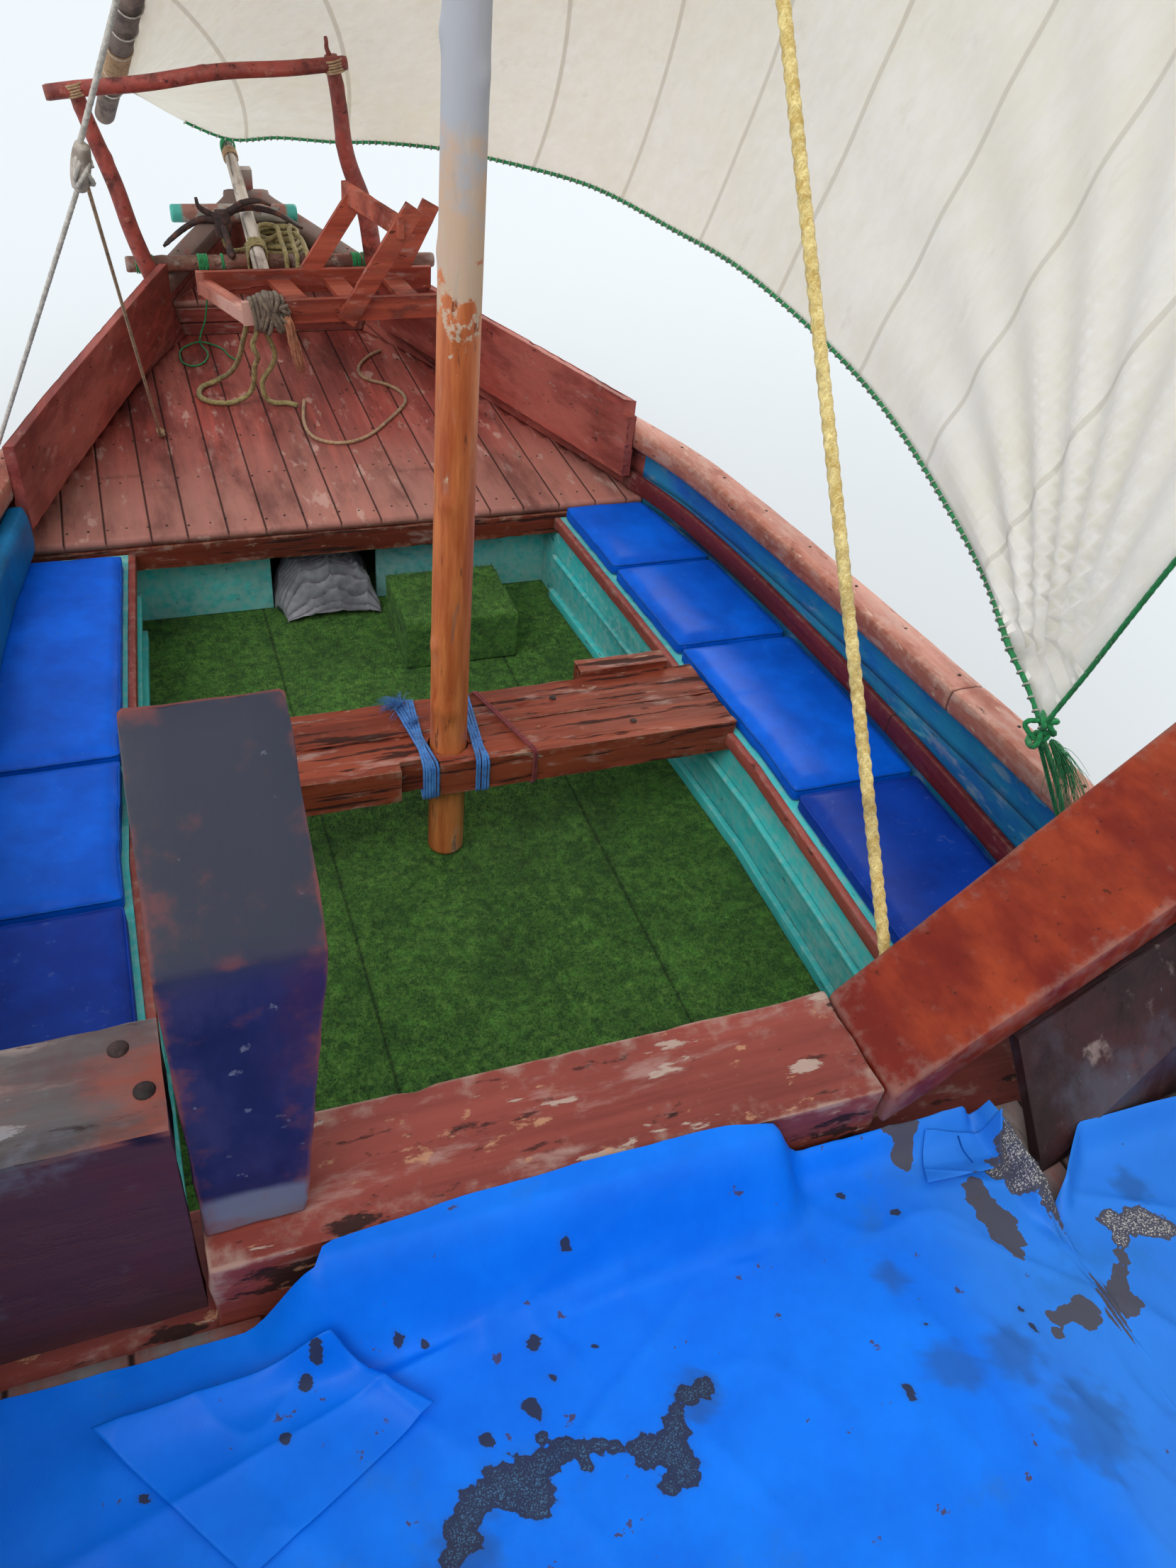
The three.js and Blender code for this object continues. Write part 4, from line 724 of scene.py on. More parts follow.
# %% Spiral rope with its tail
HEAVY_ROPE = 0.028
SPIRAL_R, SPIRAL_PITCH = 0.030, 0.215
FALL = metres([(-232, 2756, 1056.5), (-233, 2760, 1010), (-236, 2785, 945), (-242, 2825, 850), (-247, 2850, 790)])
fall = smooth_path(FALL, 140)
drop = steps(0, path_length(fall), len(fall))
opened = SPIRAL_R * ease(-0.04, 0.24, drop) * (1 - ease(drop[-1] - 0.20, drop[-1] + 0.02, drop))
turn = drop / SPIRAL_PITCH * 2 * math.pi
spiral = fall + np.stack([opened * np.cos(turn), opened * np.sin(turn), 0 * turn], -1)
TAIL = metres([(-250, 2868, 735), (-262, 2884, 682), (-292, 2892, 642)]) + on_deck(
    [[-336, 2888, 8], [-380, 2882], [-425, 2888], [-476, 2911], [-510, 2960], [-516, 3025], [-494, 3095],
     [-446, 3138]], HEAVY_ROPE / 2) + metres(
    [(-396, 3138, 636), (-357, 3092, 676), (-331, 3022, 736), (-313, 2965, 795), (-300, 2915, 860), (-288, 2860, 940),
     (-276, 2808, 1015), (-272, 2790, 1045)])
free_rope("hanging_rope", np.concatenate([spiral, TAIL]), HEAVY_ROPE, "rope_olive", "object", "hanging",
          nodes=["sinnet_rope"])
SECOND = metres([(-201, 2762, 1052), (-190, 2774, 1020), (-166, 2795, 960), (-146, 2808, 890), (-158, 2826, 826),
                 (-192, 2840, 774), (-214, 2842, 730), (-212, 2842, 690), (-203, 2844, 650),
                 (-180, 2848, 626)]) + on_deck([[-147, 2852], [-97, 2846], [-52, 2812]], HEAVY_ROPE / 2)
free_rope("hanging_rope_end", SECOND, HEAVY_ROPE, "rope_olive", "bare", "hanging")

# %% Green line and tan rope on the deck
GREEN = metres([(-352, 3783, 990), (-358, 3780, 900), (-372, 3781, 800), (-392, 3782, 700), (-412, 3784, 652),
                (-425, 3773, 624)]) + on_deck(
    [[-434, 3748, 2], [-434, 3690], [-415, 3600], [-416, 3520], [-452, 3430], [-505, 3395], [-548, 3430],
     [-562, 3520], [-548, 3620], [-500, 3680, 4], [-436, 3694, 13], [-370, 3670, 4], [-325, 3610], [-305, 3520],
     [-268, 3440]], 0.005)
free_rope("green_line_loop", GREEN, 0.010, "rope_green", "bare", "hanging", nodes=["green_line"], sides=9)
TAN = on_deck([[532, 3500], [470, 3450], [415, 3380], [370, 3300], [350, 3216], [358, 3140], [400, 3085],
               [455, 3040], [500, 2970], [522, 2888], [512, 2800], [472, 2725], [420, 2650], [360, 2570],
               [290, 2480], [205, 2400], [120, 2364], [35, 2375], [-25, 2430], [-50, 2520], [-48, 2640],
               [-30, 2760], [-5, 2880]], 0.009)
free_rope("tan_deck_rope", TAN, 0.018, "rope_tan", "bare", "loose", nodes=["tan_rope"])

# %% [markdown]
# The anchor's rope drops from the grapnel's crown, goes over its own heap, hangs in three bights over the
# log across the bow and is then wound down through the heap, layer by layer. Inside a layer the radius
# moves one rope's width in each turn, in or out; between layers the rope steps down over a quarter turn.
# A slow wobble that changes from layer to layer keeps it from looking like a machine's coil.

# %% Anchor rope
COIL_AT, COIL_BASE, COIL_STEP = np.array([0.080, 4.200]), 0.7903, 0.0288
LAYER_OUT = [0.1755] * 6 + [0.1630, 0.1510, 0.1345]
COIL_IN, PER_TURN, COIL_START = 0.1035, 60, math.radians(333)
layer_z = 0.0148 + np.arange(len(LAYER_OUT)) * COIL_STEP
quarter = steps(0, 1, PER_TURN // 4 + 1)
radii, heights = [quarter * 0 + COIL_IN], [0.3100 - (0.3100 - layer_z[-1]) * ease(0, 1, quarter)]
for down, layer in enumerate(range(len(LAYER_OUT) - 1, -1, -1)):
    inward = down % 2 == 1
    turns = (LAYER_OUT[layer] - COIL_IN) / (COIL_STEP if layer < 6 else 0.0315)
    ends = (LAYER_OUT[layer], COIL_IN) if inward else (COIL_IN, LAYER_OUT[layer])
    radii.append(steps(*ends, round(turns * PER_TURN) + 1)[1:])
    heights.append(radii[-1] * 0 + layer_z[layer])
    if layer:
        over = ease(0, 1, quarter[1:])
        radii.append(ends[1] + over * ((COIL_IN if inward else LAYER_OUT[layer - 1]) - ends[1]))
        heights.append(layer_z[layer] - COIL_STEP * over)
radii, heights = np.concatenate(radii), np.concatenate(heights)
angle = COIL_START + np.arange(len(radii)) / PER_TURN * 2 * math.pi
loose = (1 + 1.3 * ease(0.16, 0.25, heights)) * ease(0, 20, np.arange(len(radii)))
wobble = 1 + loose * (0.026 * np.cos(2 * angle + 0.6 + 13 * heights) + 0.016 * np.cos(3 * angle + 2 - 19 * heights))
coil = np.stack([COIL_AT[0] + radii * wobble * np.cos(angle) + 0.005 * loose * np.sin(61 * heights),
                 COIL_AT[1] + radii * wobble * np.sin(angle) + 0.005 * loose * np.cos(47 * heights),
                 COIL_BASE + heights], -1)
LEAD = metres([(-222, 4030, 1074), (-222, 4030, 1054), (-214, 4033.5, 1022), (-193, 4043, 998), (-162, 4058, 987),
               (-125, 4072, 987), (-86, 4074, 993), (-44, 4064, 1008), (4, 4058, 1034), (52, 4062, 1058),
               (100, 4066, 1074), (148, 4052, 1082), (183, 4012, 1078), (194, 3960, 1070)])


def over_log(x, down):
    """Points over the log at one x: level from behind, then round it at its radius and the rope's."""
    turn, wrap = np.radians([95, 122, 150, 176]), CATBEAM_R + HEAVY_ROPE / 2 + 0.005
    rows = [(x, 3.895, 1.062), *zip([x] * 4, CATBEAM_Y + wrap * np.cos(turn), 0.9922 + wrap * np.sin(turn))]
    return rows if down else rows[::-1]


def half_turn(x, y, z, radius, way, tilt=0.0):
    """Half a circle from +x to -x: way 1 goes round behind (in y), way -1 goes round below (in z)."""
    turn = steps(0, math.pi, 7)
    up = radius * np.sin(turn)
    flat = way == 1
    return list(zip(x + radius * np.cos(turn), y + (up if flat else tilt * up), z + (tilt * up if flat else -up)))


BIGHTS = [*over_log(0.196, True), *half_turn(0.137, 3.768, 0.965, 0.059, -1), *over_log(0.078, False),
          (0.077, 3.965, 1.080), *half_turn(0.019, 4.040, 1.106, 0.058, 1, 0.15), (-0.038, 3.975, 1.078),
          *over_log(-0.037, True), (-0.028, 3.765, 0.962), (0.002, 3.757, 0.922), (0.034, 3.745, 0.898),
          (0.074, 3.740, 0.893), (0.108, 3.742, 0.912), (0.129, 3.752, 0.948), *over_log(0.137, False)[1:],
          (0.137, 3.965, 1.083), (0.138, 4.030, 1.101), (0.152, 4.095, 1.105)]
free_rope("anchor_rope", np.concatenate([LEAD, BIGHTS, coil]), HEAVY_ROPE, "rope_olive", "bare", "coiled",
          nodes=["anchor_rope_lead", "anchor_rope_coil"])

# %% [markdown]
# ## The hull's lines
# Wooden hulls are drawn as a few curves against the length: half-breadth at the rail, sheer, keel and
# how full each section is. The same curves as the solid model's give the skin its place, and the planks'
# seams follow the girth, as a shipwright runs them.

# %% Hull lines
HULL_THICK, KEEL_SEAT, STERN_Y, BOW_Y = 0.050, 0.030, -5.900, 4.760
CAP_WIDTH, CAP_THICK, CAP_OVERHANG = 0.135, 0.095, 0.025
rail_half = curve_through([
    [-6.2, 1.06], [-5, 1.34], [-3.5, 1.56], [-2.2, 1.655], [-1.25, 1.68], [-0.65, 1.675], [0.25, 1.635],
    [1.25, 1.52], [1.75, 1.385], [2.5, 1.11], [3.25, 0.84], [3.75, 0.64], [4.4, 0.28], [4.76, 0.045]])
sheer = curve_through([[-6.2, 1.3], [-4.5, 1.19], [-2.5, 1.11], [-1.25, 1.05], [0, 0.97], [1.25, 0.93],
                       [2.5, 0.91], [3.75, 0.945], [4.4, 1.04], [4.76, 1.12]])
keel_line = curve_through([[-6.2, -0.56], [-5, -0.64], [-3, -0.7], [0, -0.7], [2.6, -0.6], [3.3, -0.42],
                           [3.8, -0.08], [4.2, 0.31], [4.5, 0.64], [4.76, 0.96]])
fullness = curve_through([[-6.2, 1.5], [-5, 2.1], [-3, 2.8], [0, 3.0], [2, 2.5], [3.3, 1.7], [4.76, 1.15]])
poop_sheer = curve_through([[-6.2, 2.38], [-4.5, 2.18], [-2.2, 2.085], [-1.7, 2.08]])


def rail_top(y):
    """The sheer in the waist, the poop's sheer aft, and a smooth step between."""
    t = ease(1.42, 1.74, -y)
    return sheer(y) * (1 - t) + poop_sheer(y) * t


def cap_depth(y):
    """Upright depth of the sloping rail: its thickness * sqrt(1 + slope^2)."""
    slope = (rail_top(y + 0.01) - rail_top(y - 0.01)) / 0.02
    return CAP_THICK * np.sqrt(1 + np.minimum(slope**2, 8))


def outer_half(y, z):
    """Half-breadth outside: rail * (sqrt(1 - (1 - s)^fullness) - hollow aft), s the share of the height."""
    s = np.clip((z - keel_line(y)) / (sheer(y) - keel_line(y)), 0, 1)
    run = np.sqrt(np.maximum(1 - (1 - s) ** fullness(y), 0))
    hollow = ease(3.8, 6.0, -y) * 0.45 * (1 - s) * np.minimum(s * 3, 1)
    return np.maximum(rail_half(y) * (run - hollow) - 0.03 * np.maximum(z - sheer(y), 0), 0) + KEEL_SEAT


def inner_half(y, z):
    """Half-breadth inside: the outer one less the planking."""
    return np.maximum(outer_half(y, z) - HULL_THICK, 0.008)


def station_y(y, z):
    """The transom rakes aft, so stations near the stern lean with it."""
    return y - ease(3.6, 5.8, -y) * 0.22 * (z - 0.350)


print("beam", round(2 * float(rail_half(-1.0)), 2), "m at the rail")

# %% [markdown]
# The skin is one closed shell: an outer grid, an inner grid, and strips along the rim and ends. Down each
# side the height runs in strakes; at a strake's edge the surface dips a few millimetres, which makes the
# seam real in the mesh, and a vertex mark darkens it.

# %% Hull shell
def strake_heights(count, gap=0.02, inner=3):
    """Shares of the girth with three close rows at each seam, and how deep each row lies, 0 to 1."""
    shares, depth = [0.0], [0.0]
    for k in range(count):
        a, b = k / count, (k + 1) / count
        rows = [a + gap * 0.35 / count * 4, *steps(a + gap * 2.5 / count * 4, b - gap * 2.5 / count * 4, inner),
                b - gap * 0.35 / count * 4, b]
        shares += rows
        depth += [0.25] + [0.0] * inner + [0.25, 1.0 if k < count - 1 else 0.0]
    return np.array(shares), np.array(depth)


def hull_grid(half, low, top, ys, strakes, groove):
    """Rows along y and columns from the port rail down, through the keel, and up to the starboard rail."""
    shares, depth = strake_heights(strakes)
    f = shares**1.25
    z = low(ys)[:, None] + (top(ys) - low(ys))[:, None] * f
    ym = np.broadcast_to(ys[:, None], z.shape)
    x = np.maximum(half(ym, z) - depth * groove, 0.006)
    side = np.stack([x, station_y(ym, z), z], -1)
    mark = np.broadcast_to(depth, z.shape)
    port = side[:, ::-1] * np.array([-1, 1, 1])
    return np.concatenate([port, side], 1), np.concatenate([mark[:, ::-1], mark], 1)


hull_ys = np.concatenate([steps(STERN_Y, -1.80, 60), steps(-1.78, -1.38, 24), steps(-1.34, 4.4, 84),
                          steps(4.44, BOW_Y, 8)])
under_cap = lambda y: rail_top(y) - cap_depth(y) - 0.0003
outside, outside_seam = hull_grid(outer_half, keel_line, under_cap, hull_ys, 13, 0.005)
inside, inside_seam = hull_grid(inner_half, lambda y: np.minimum(keel_line(y) + 0.11, under_cap(y) - 0.05),
                                under_cap, hull_ys, 13, -0.004)
points, faces = closed_sheet(outside, inside)
hull_shell = make_mesh("hull_shell", points, faces, merge=False, recalc=False,
                       marks={"seam_and_fold_shade": np.concatenate([outside_seam.ravel(), inside_seam.ravel()])})
dress(hull_shell, "hull_outside", "hull", "hull_planking")
for extra in ("red_along", "bulwark_blue", "grey_along"):
    hull_shell.data.materials.append(MATERIALS[extra])
centres = np.zeros(len(hull_shell.data.polygons) * 3)
hull_shell.data.polygons.foreach_get("center", centres)
centres = centres.reshape(-1, 3)
first_inside = len(faces[0])
zone = np.zeros(len(centres), int)
is_inside = (np.arange(len(centres)) >= first_inside) & (np.arange(len(centres)) < 2 * first_inside)
zone[is_inside] = np.select([centres[is_inside, 1] > 1.60, centres[is_inside, 1] > -2.25], [1, 2], 3)
hull_shell.data.polygons.foreach_set("material_index", zone)
print("hull shell", len(centres), "faces,", 13, "strakes a side")

# %% [markdown]
# ## Rails, stringers and trim
# Long trim follows the hull. Each bar is a rounded profile carried along the side: the section's middle
# sits at a given breadth and height, and the same function makes the port and starboard pieces. Old
# timber isn't true, so a slow ripple moves every surface a millimetre or two.

# %% Bars along the side
SIDES = (("port", -1), ("stbd", 1))


def side_bar(name, side, ys, middle, width, depth, material, nodes=(), scarfs=(), rough=0.0015, corner=0.008,
             seed=1):
    """A bar whose section is a rounded box at middle(y) = (breadth, height), with butt seams at scarfs.
    Its depth is a number or a function of y."""
    ys = lines_at(ys, scarfs, -0.008, -0.002, 0, 0.002, 0.008)
    breadth, height = middle(ys)
    loop = with_sides(rounded_box(1, 1, 0.001, 1), 0.25)
    depth = np.broadcast_to(depth(ys) if callable(depth) else depth, ys.shape)
    across, tall = loop[:, 0][None, :] * width, loop[:, 1][None, :] * depth[:, None]
    # the corner pulls in where both offsets are near their limits
    near = ease(0.5 - corner / width, 0.5, np.abs(loop[:, 0]))[None] * ease(
        0.5 - corner / depth.min(), 0.5, np.abs(loop[:, 1]))[None]
    across, tall = across - np.sign(across) * near * corner * 0.35, tall - np.sign(tall) * near * corner * 0.35
    x, z = side * (breadth[:, None] + across), height[:, None] + tall
    y = np.broadcast_to(ys[:, None], x.shape)
    ring = np.stack([x, station_y(y, z), z], -1)
    gap = sum(np.exp(-((ys - s) / 0.0022) ** 2) for s in scarfs)
    centre = ring.mean(1, keepdims=True)
    ring = ring + (centre - ring) * (gap[:, None, None] * 0.06)
    ring = ring + unit(ring - centre) * ripple(ring, 0.35, seed)[..., None] * rough
    marks = {"seam_and_fold_shade": np.broadcast_to(gap[:, None], ring.shape[:2])}
    return build(name, closed_loft(ring), material, "hull", nodes, True, marks=marks)


def cap_middle(y):
    """Breadth and height of the cap rail's middle, kept clear of the centre line at the stem."""
    out = outer_half(y, rail_top(y)) + CAP_OVERHANG
    return np.maximum(out - CAP_WIDTH / 2, CAP_WIDTH / 2 + 0.0005), rail_top(y) - cap_depth(y) / 2


for name, side in SIDES:
    side_bar("cap_" + name, side, hull_ys, cap_middle, CAP_WIDTH, cap_depth, "cap_red", ["cap_rail_" + name],
             scarfs=(-4.1, -0.62, 2.28), rough=0.002, corner=0.016, seed=side + 3)
    side_bar("outer_strake_" + name, side, hull_ys[(hull_ys > -5.75) & (hull_ys < 4.5)],
             lambda y: (outer_half(y, sheer(y) - 0.24) + 0.018, sheer(y) - 0.24), 0.044, 0.08, "red_along",
             ["rubbing_strake_" + name], scarfs=(-2.6, 1.1), corner=0.02, seed=side + 5)
    side_bar("stringer_" + name, side, steps(-2.22, 1.72, 60),
             lambda y: (inner_half(y, 0.65) - 0.016, 0.651 + 0 * y), 0.034, 0.09, "stringer_red", scarfs=(-0.35,),
             corner=0.01, seed=side + 7)
print("rails, outer strakes and stringers")

# %% [markdown]
# ## Timbers that keep their solid
# Beams, panels and boards already have the right shape, but a real edge is never sharp. A copy of the
# solid's mesh is merged, its flat faces are joined, and the edges get a small bevel; long faces are then
# cut into a lattice so that a ripple can wear them.

# %% Worn copies
EDGE_ANGLE, SHADE_ANGLE, MOST_FACES = math.radians(30), math.radians(38), 60000


def worn_copy(name, node_name, material, bevel=0.006, cell=0.0, wear=0.0, size=0.12, body="hull", seed=1):
    """A copy of a solid with merged corners, beveled edges and, with a cell size, rippled faces."""
    source = frame["nodes"][node_name]
    work = bmesh.new()
    work.from_mesh(source.data)
    bmesh.ops.remove_doubles(work, verts=work.verts, dist=1e-5)
    bmesh.ops.dissolve_limit(work, angle_limit=math.radians(1.0), verts=work.verts, edges=work.edges)
    sharp = [e for e in work.edges if len(e.link_faces) == 2 and e.calc_face_angle(0) > EDGE_ANGLE]
    bmesh.ops.bevel(work, geom=sharp, offset=bevel, offset_type="OFFSET", segments=2, profile=0.6, affect="EDGES",
                    clamp_overlap=True)
    bmesh.ops.triangulate(work, faces=[f for f in work.faces if len(f.verts) > 4])
    if cell:
        for _ in range(7):
            long = [e for e in work.edges if e.calc_length() > cell * 1.5]
            if not long or len(work.faces) > MOST_FACES:
                break
            bmesh.ops.subdivide_edges(work, edges=long, cuts=1, use_grid_fill=True)
            bmesh.ops.triangulate(work, faces=[f for f in work.faces if len(f.verts) > 4])
    mesh = bpy.data.meshes.new(name)
    work.normal_update()
    if wear:
        at = np.array([v.co for v in work.verts])
        normals = np.array([v.normal for v in work.verts])
        moved = at - normals * (0.5 + 0.5 * ripple(at, size, seed))[:, None] * wear
        moved -= normals * np.maximum(ripple(at, size * 0.3, seed + 1) - 0.25, 0)[:, None] * wear
        for vertex, place in zip(work.verts, moved):
            vertex.co = place
    work.to_mesh(mesh)
    work.free()
    mesh.polygons.foreach_set("use_smooth", np.full(len(mesh.polygons), True))
    mesh.set_sharp_from_angle(angle=SHADE_ANGLE)
    return dress(placed(name, mesh), material, body, node_name)


WORN = [  # name, solid, finish, bevel, lattice cell, wear depth
    ("poop_beam", "poop_front_beam", "poop_beam_red", 0.010, 0.035, 0.006),
    ("wing_port", "poop_wing_port", "wing_port_paint", 0.008, 0.035, 0.005),
    ("wing_stbd", "poop_wing_stbd", "wing_red", 0.012, 0.05, 0.002),
    ("wing_boards", "poop_wing_boards_stbd", "wing_board", 0.006, 0.04, 0.004),
    ("post", "poop_post", "post_paint_and_painted_light", 0.009, 0.03, 0.004),
    ("poop_panel", "poop_bulkhead", "turquoise", 0.004, 0.0, 0.0),
    ("thwart_fore", "mast_beam_fore", "thwart_across", 0.009, 0.04, 0.007),
    ("thwart_aft", "mast_beam_aft", "thwart_across", 0.009, 0.04, 0.007),
    ("deck_beam", "foredeck_beam", "thwart_across", 0.009, 0.05, 0.005),
    ("locker_panel_port", "bulkhead_panel_port", "turquoise", 0.003, 0.0, 0.0),
    ("locker_panel_stbd", "bulkhead_panel_stbd", "turquoise", 0.003, 0.0, 0.0),
    ("side_board_port", "washboard_port", "red_along", 0.007, 0.06, 0.004),
    ("side_board_stbd", "washboard_stbd", "red_along", 0.005, 0.035, 0.006),
    ("seat_port", "bench_port", "turquoise", 0.004, 0.0, 0.0),
    ("seat_stbd", "bench_stbd", "turquoise", 0.004, 0.0, 0.0),
    ("keel", "keel_stem_sternpost", "stem_wood", 0.010, 0.0, 0.0),
    ("stern_rail", "taffrail", "cap_red", 0.012, 0.05, 0.003),
    ("ladder", "boarding_ladder", "ladder_red", 0.004, 0.04, 0.003),
]
for k, (name, solid, material, bevel, cell, wear) in enumerate(WORN):
    made = worn_copy(name, solid, material, bevel, cell, wear, seed=k + 2)
    print(name, len(made.data.polygons), end="; ")
worn_copy("rudder_blade", "rudder", "hull_outside", 0.008, 0.06, 0.003, body="steering", seed=40)
worn_copy("tiller_bar", "tiller", "log_red", 0.012, 0.04, 0.004, body="steering", seed=41)
print("rudder and tiller")

# %% [markdown]
# ## Planked decks
# A deck narrows with the hull but its planks run straight, so their seams meet the sides at a slant. The
# grid's lines across the deck stand close together at every seam; where a line would leave the deck it
# is held at the hull's side. The top dips at each seam, each plank sits a little low by its own amount, and shallow
# dents mark its face.

# %% Planked deck
def plank_lines(low, high, width, seed, gap=0.004, even=0.12):
    """Places across a deck with five rows about each seam, and the depth share at each row."""
    own = np.random.default_rng(seed)
    seams = np.cumsum(np.concatenate([[low], own.uniform(1 - even, 1 + even, int((high - low) / width) + 2) * width]))
    seams = seams[seams < high - width * 0.4]
    rows = np.concatenate([[low, high], *[steps(a + 0.01, b - 0.01, 4) for a, b in zip(seams, [*seams[1:], high])]])
    rows = lines_at(rows, seams[1:], -gap * 1.6, -gap * 0.6, 0, gap * 0.6, gap * 1.6)
    rows = np.unique(np.round(rows, 5))
    away = np.abs(rows[:, None] - seams[None, 1:]).min(1) if len(seams) > 1 else rows * 0 + 1
    depth = 1 - ease(gap * 0.4, gap * 1.4, away)
    board = np.searchsorted(seams, rows)
    return rows, depth, board


def planked_deck(name, half, ys, top, thick, width, material, nodes, seed, joints=0.0, groove=0.006):
    """A slab whose top is cut into fore-and-aft planks: z = top - groove * seam, with each plank set a little low and
    its face dented.
    """
    reach = float(np.max(half(ys)))
    rows, depth, board = plank_lines(-reach, reach, width, seed)
    y = np.broadcast_to(ys[:, None], (len(ys), len(rows)))
    x = np.clip(rows[None], -half(ys)[:, None], half(ys)[:, None])
    own = np.random.default_rng(seed + 50)
    level = own.uniform(-0.002, 0.0, board.max() + 2)[board]
    end_joint = own.uniform(ys.min() + 0.4, ys.max() - 0.3, board.max() + 2)[board]
    butt = np.exp(-((y - end_joint[None]) / 0.004) ** 2) * joints
    cut = np.maximum(depth[None], butt)
    flat = np.stack([x, y, np.full_like(x, top)], -1)
    z = top - groove * cut + level * (1 - cut) + np.minimum(ripple(flat * [1, 0.3, 1], 0.12, seed), 0) * 0.0025
    shape = closed_sheet(np.stack([x, y, z], -1), np.stack([x, y, np.full_like(x, top - thick)], -1))
    build(name, shape, material, "hull", nodes, True, marks={"seam_and_fold_shade": np.concatenate([cut.ravel(), cut.ravel() * 0])})


planked_deck("foredeck_planks", lambda y: inner_half(y, 0.58) - 0.0006, steps(1.602, 3.938, 90), DECK_Z, 0.0385,
             0.165, "deck_red", ["foredeck"], 4, joints=1.0)
planked_deck("bow_planks", lambda y: np.minimum(inner_half(y, 0.77) - 0.0006, 0.9), steps(3.842, 4.62, 30), 0.790,
             0.038, 0.13, "red_along", ["bow_deck"], 6)
planked_deck("poop_planks", lambda y: inner_half(y, 1.53) - 0.001, steps(-6.11, -2.372, 90), POOP_Z, 0.034, 0.17,
             "grey_along", ["poop_deck"], 8, joints=1.0)
print("decks planked")

# %% Bow riser, strip of deck beside the poop beam, and the transom's planks
def upright_planks(name, half, zs, y_front, thick, width, nodes, seed):
    """A wall across the boat cut into level planks: rows run up, and its face dips at each seam."""
    rows, depth, board = plank_lines(*zs, width, seed)
    share = steps(-1, 1, 40)
    z = np.broadcast_to(rows[:, None], (len(rows), len(share)))
    x = share[None] * half(z)
    cut = np.broadcast_to(depth[:, None], x.shape)
    place = np.stack([x, 0 * x, z], -1)
    dip = 0.005 * cut + 0.0015 * (1 + ripple(place * [0.3, 1, 1], 0.15, seed))
    shape = closed_sheet(np.stack([x, y_front(z) - dip, z], -1),
                         np.stack([x, y_front(z) - thick + dip * 0.5, z], -1))
    build(name, shape, "red_across", "hull", nodes, True, marks={"seam_and_fold_shade": np.concatenate([cut.ravel(), cut.ravel()])})


upright_planks("bow_riser", lambda z: inner_half(3.84, z) - 0.002, (0.6008, 0.7515), lambda z: 3.87 + 0 * z, 0.028,
               0.075, [], 3)
upright_planks("transom_planks", lambda z: inner_half(STERN_Y + 0 * z, z) - 0.001, (-0.44, 2.289),
               lambda z: station_y(STERN_Y, z) + 0.049, 0.047, 0.19, ["transom"], 9)
print("riser and transom planked")

# %% [markdown]
# ## The waist: turf and benches
# Artificial turf is short plastic pile. A rippled slab carries its colour, and thousands of leaning blades,
# each a single triangle, catch the light along its surface. The turf was laid in strips, so a seam
# shows every metre or so.

# %% Turf
def turf_blades(name, low, high, inside_of, z, spacing, seed, length=0.016):
    """Blades on a jittered lattice: each is one narrow triangle leaning in a random direction."""
    own = np.random.default_rng(seed)
    xs, ys = np.arange(low[0], high[0], spacing), np.arange(low[1], high[1], spacing)
    x, y = (g.ravel() for g in np.meshgrid(xs, ys))
    x, y = x + own.uniform(-0.4, 0.4, x.size) * spacing, y + own.uniform(-0.4, 0.4, x.size) * spacing
    keep = inside_of(x, y)
    x, y = x[keep], y[keep]
    heading, lean = own.uniform(0, 2 * math.pi, x.size), own.uniform(0.2, 0.9, x.size)
    root = np.stack([x, y, np.full_like(x, z - 0.002)], -1)
    across = np.stack([np.cos(heading), np.sin(heading), 0 * x], -1) * 0.0022
    tip = root + np.stack([-np.sin(heading) * lean, np.cos(heading) * lean, 1 - lean * 0.4], -1) * length
    points = np.stack([root - across, root + across, tip], 1).reshape(-1, 3)
    base = np.arange(x.size)[:, None] * 3
    faces = [np.concatenate([base, base + 1, base + 2], 1)]
    build(name, (points, faces), "turf", recalc=False, smooth=False)


TURF_SEAMS_X, TURF_SEAMS_Y = np.array([-0.42, 0.58]), np.array([-1.2, 0.55])
turf_ys = lines_at(steps(-2.238, 2.498, 60), TURF_SEAMS_Y, -0.01, 0, 0.01)
rows = lines_at(steps(-1.75, 1.75, 50), TURF_SEAMS_X, -0.01, 0, 0.01)
turf_half = inner_half(turf_ys, 0.085)[:, None] - 0.001
x, y = np.broadcast_arrays(np.clip(rows, -turf_half, turf_half), turf_ys[:, None])
off_seam = [np.abs(along[..., None] - seams).min(-1) for along, seams in ((x, TURF_SEAMS_X), (y, TURF_SEAMS_Y))]
seam_and_fold_shade = np.exp(-(np.minimum(*off_seam) / 0.006) ** 2)
hump = ripple(np.stack([x, y, 0 * x], -1), 0.5, 3)
turf_shape = closed_sheet(np.stack([x, y, 0.098 + 0.002 * hump - 0.004 * seam_and_fold_shade], -1),
                          np.stack([x, y, 0 * x + 0.072], -1))
build("turf_base", turf_shape, "turf", "hull", ["floor_turf"], True,
      marks={"seam_and_fold_shade": np.concatenate([seam_and_fold_shade.ravel(), 0 * seam_and_fold_shade.ravel()])})
step_lo, step_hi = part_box("turf_step")


def in_well(x, y):
    """True between the benches' fronts and clear of the step."""
    on_step = (x > 0.11) & (x < 0.65) & (y > 1.11) & (y < 1.56)
    return (abs(x) < np.interp(y, [-2.24, -0.30, 1.74], [1.10, 1.10, 0.96]) - 0.01) & ~on_step


turf_blades("turf_pile", (-1.1, -2.22), (1.1, 1.72), in_well, 0.099, 0.0135, 5)
worn_copy("turf_step_block", "turf_step", "turf", 0.012, 0.03, 0.004, seed=12)
turf_blades("turf_step_pile", step_lo[:2], step_hi[:2], lambda x, y: x > -9, step_hi[2] - 0.002, 0.011, 6)

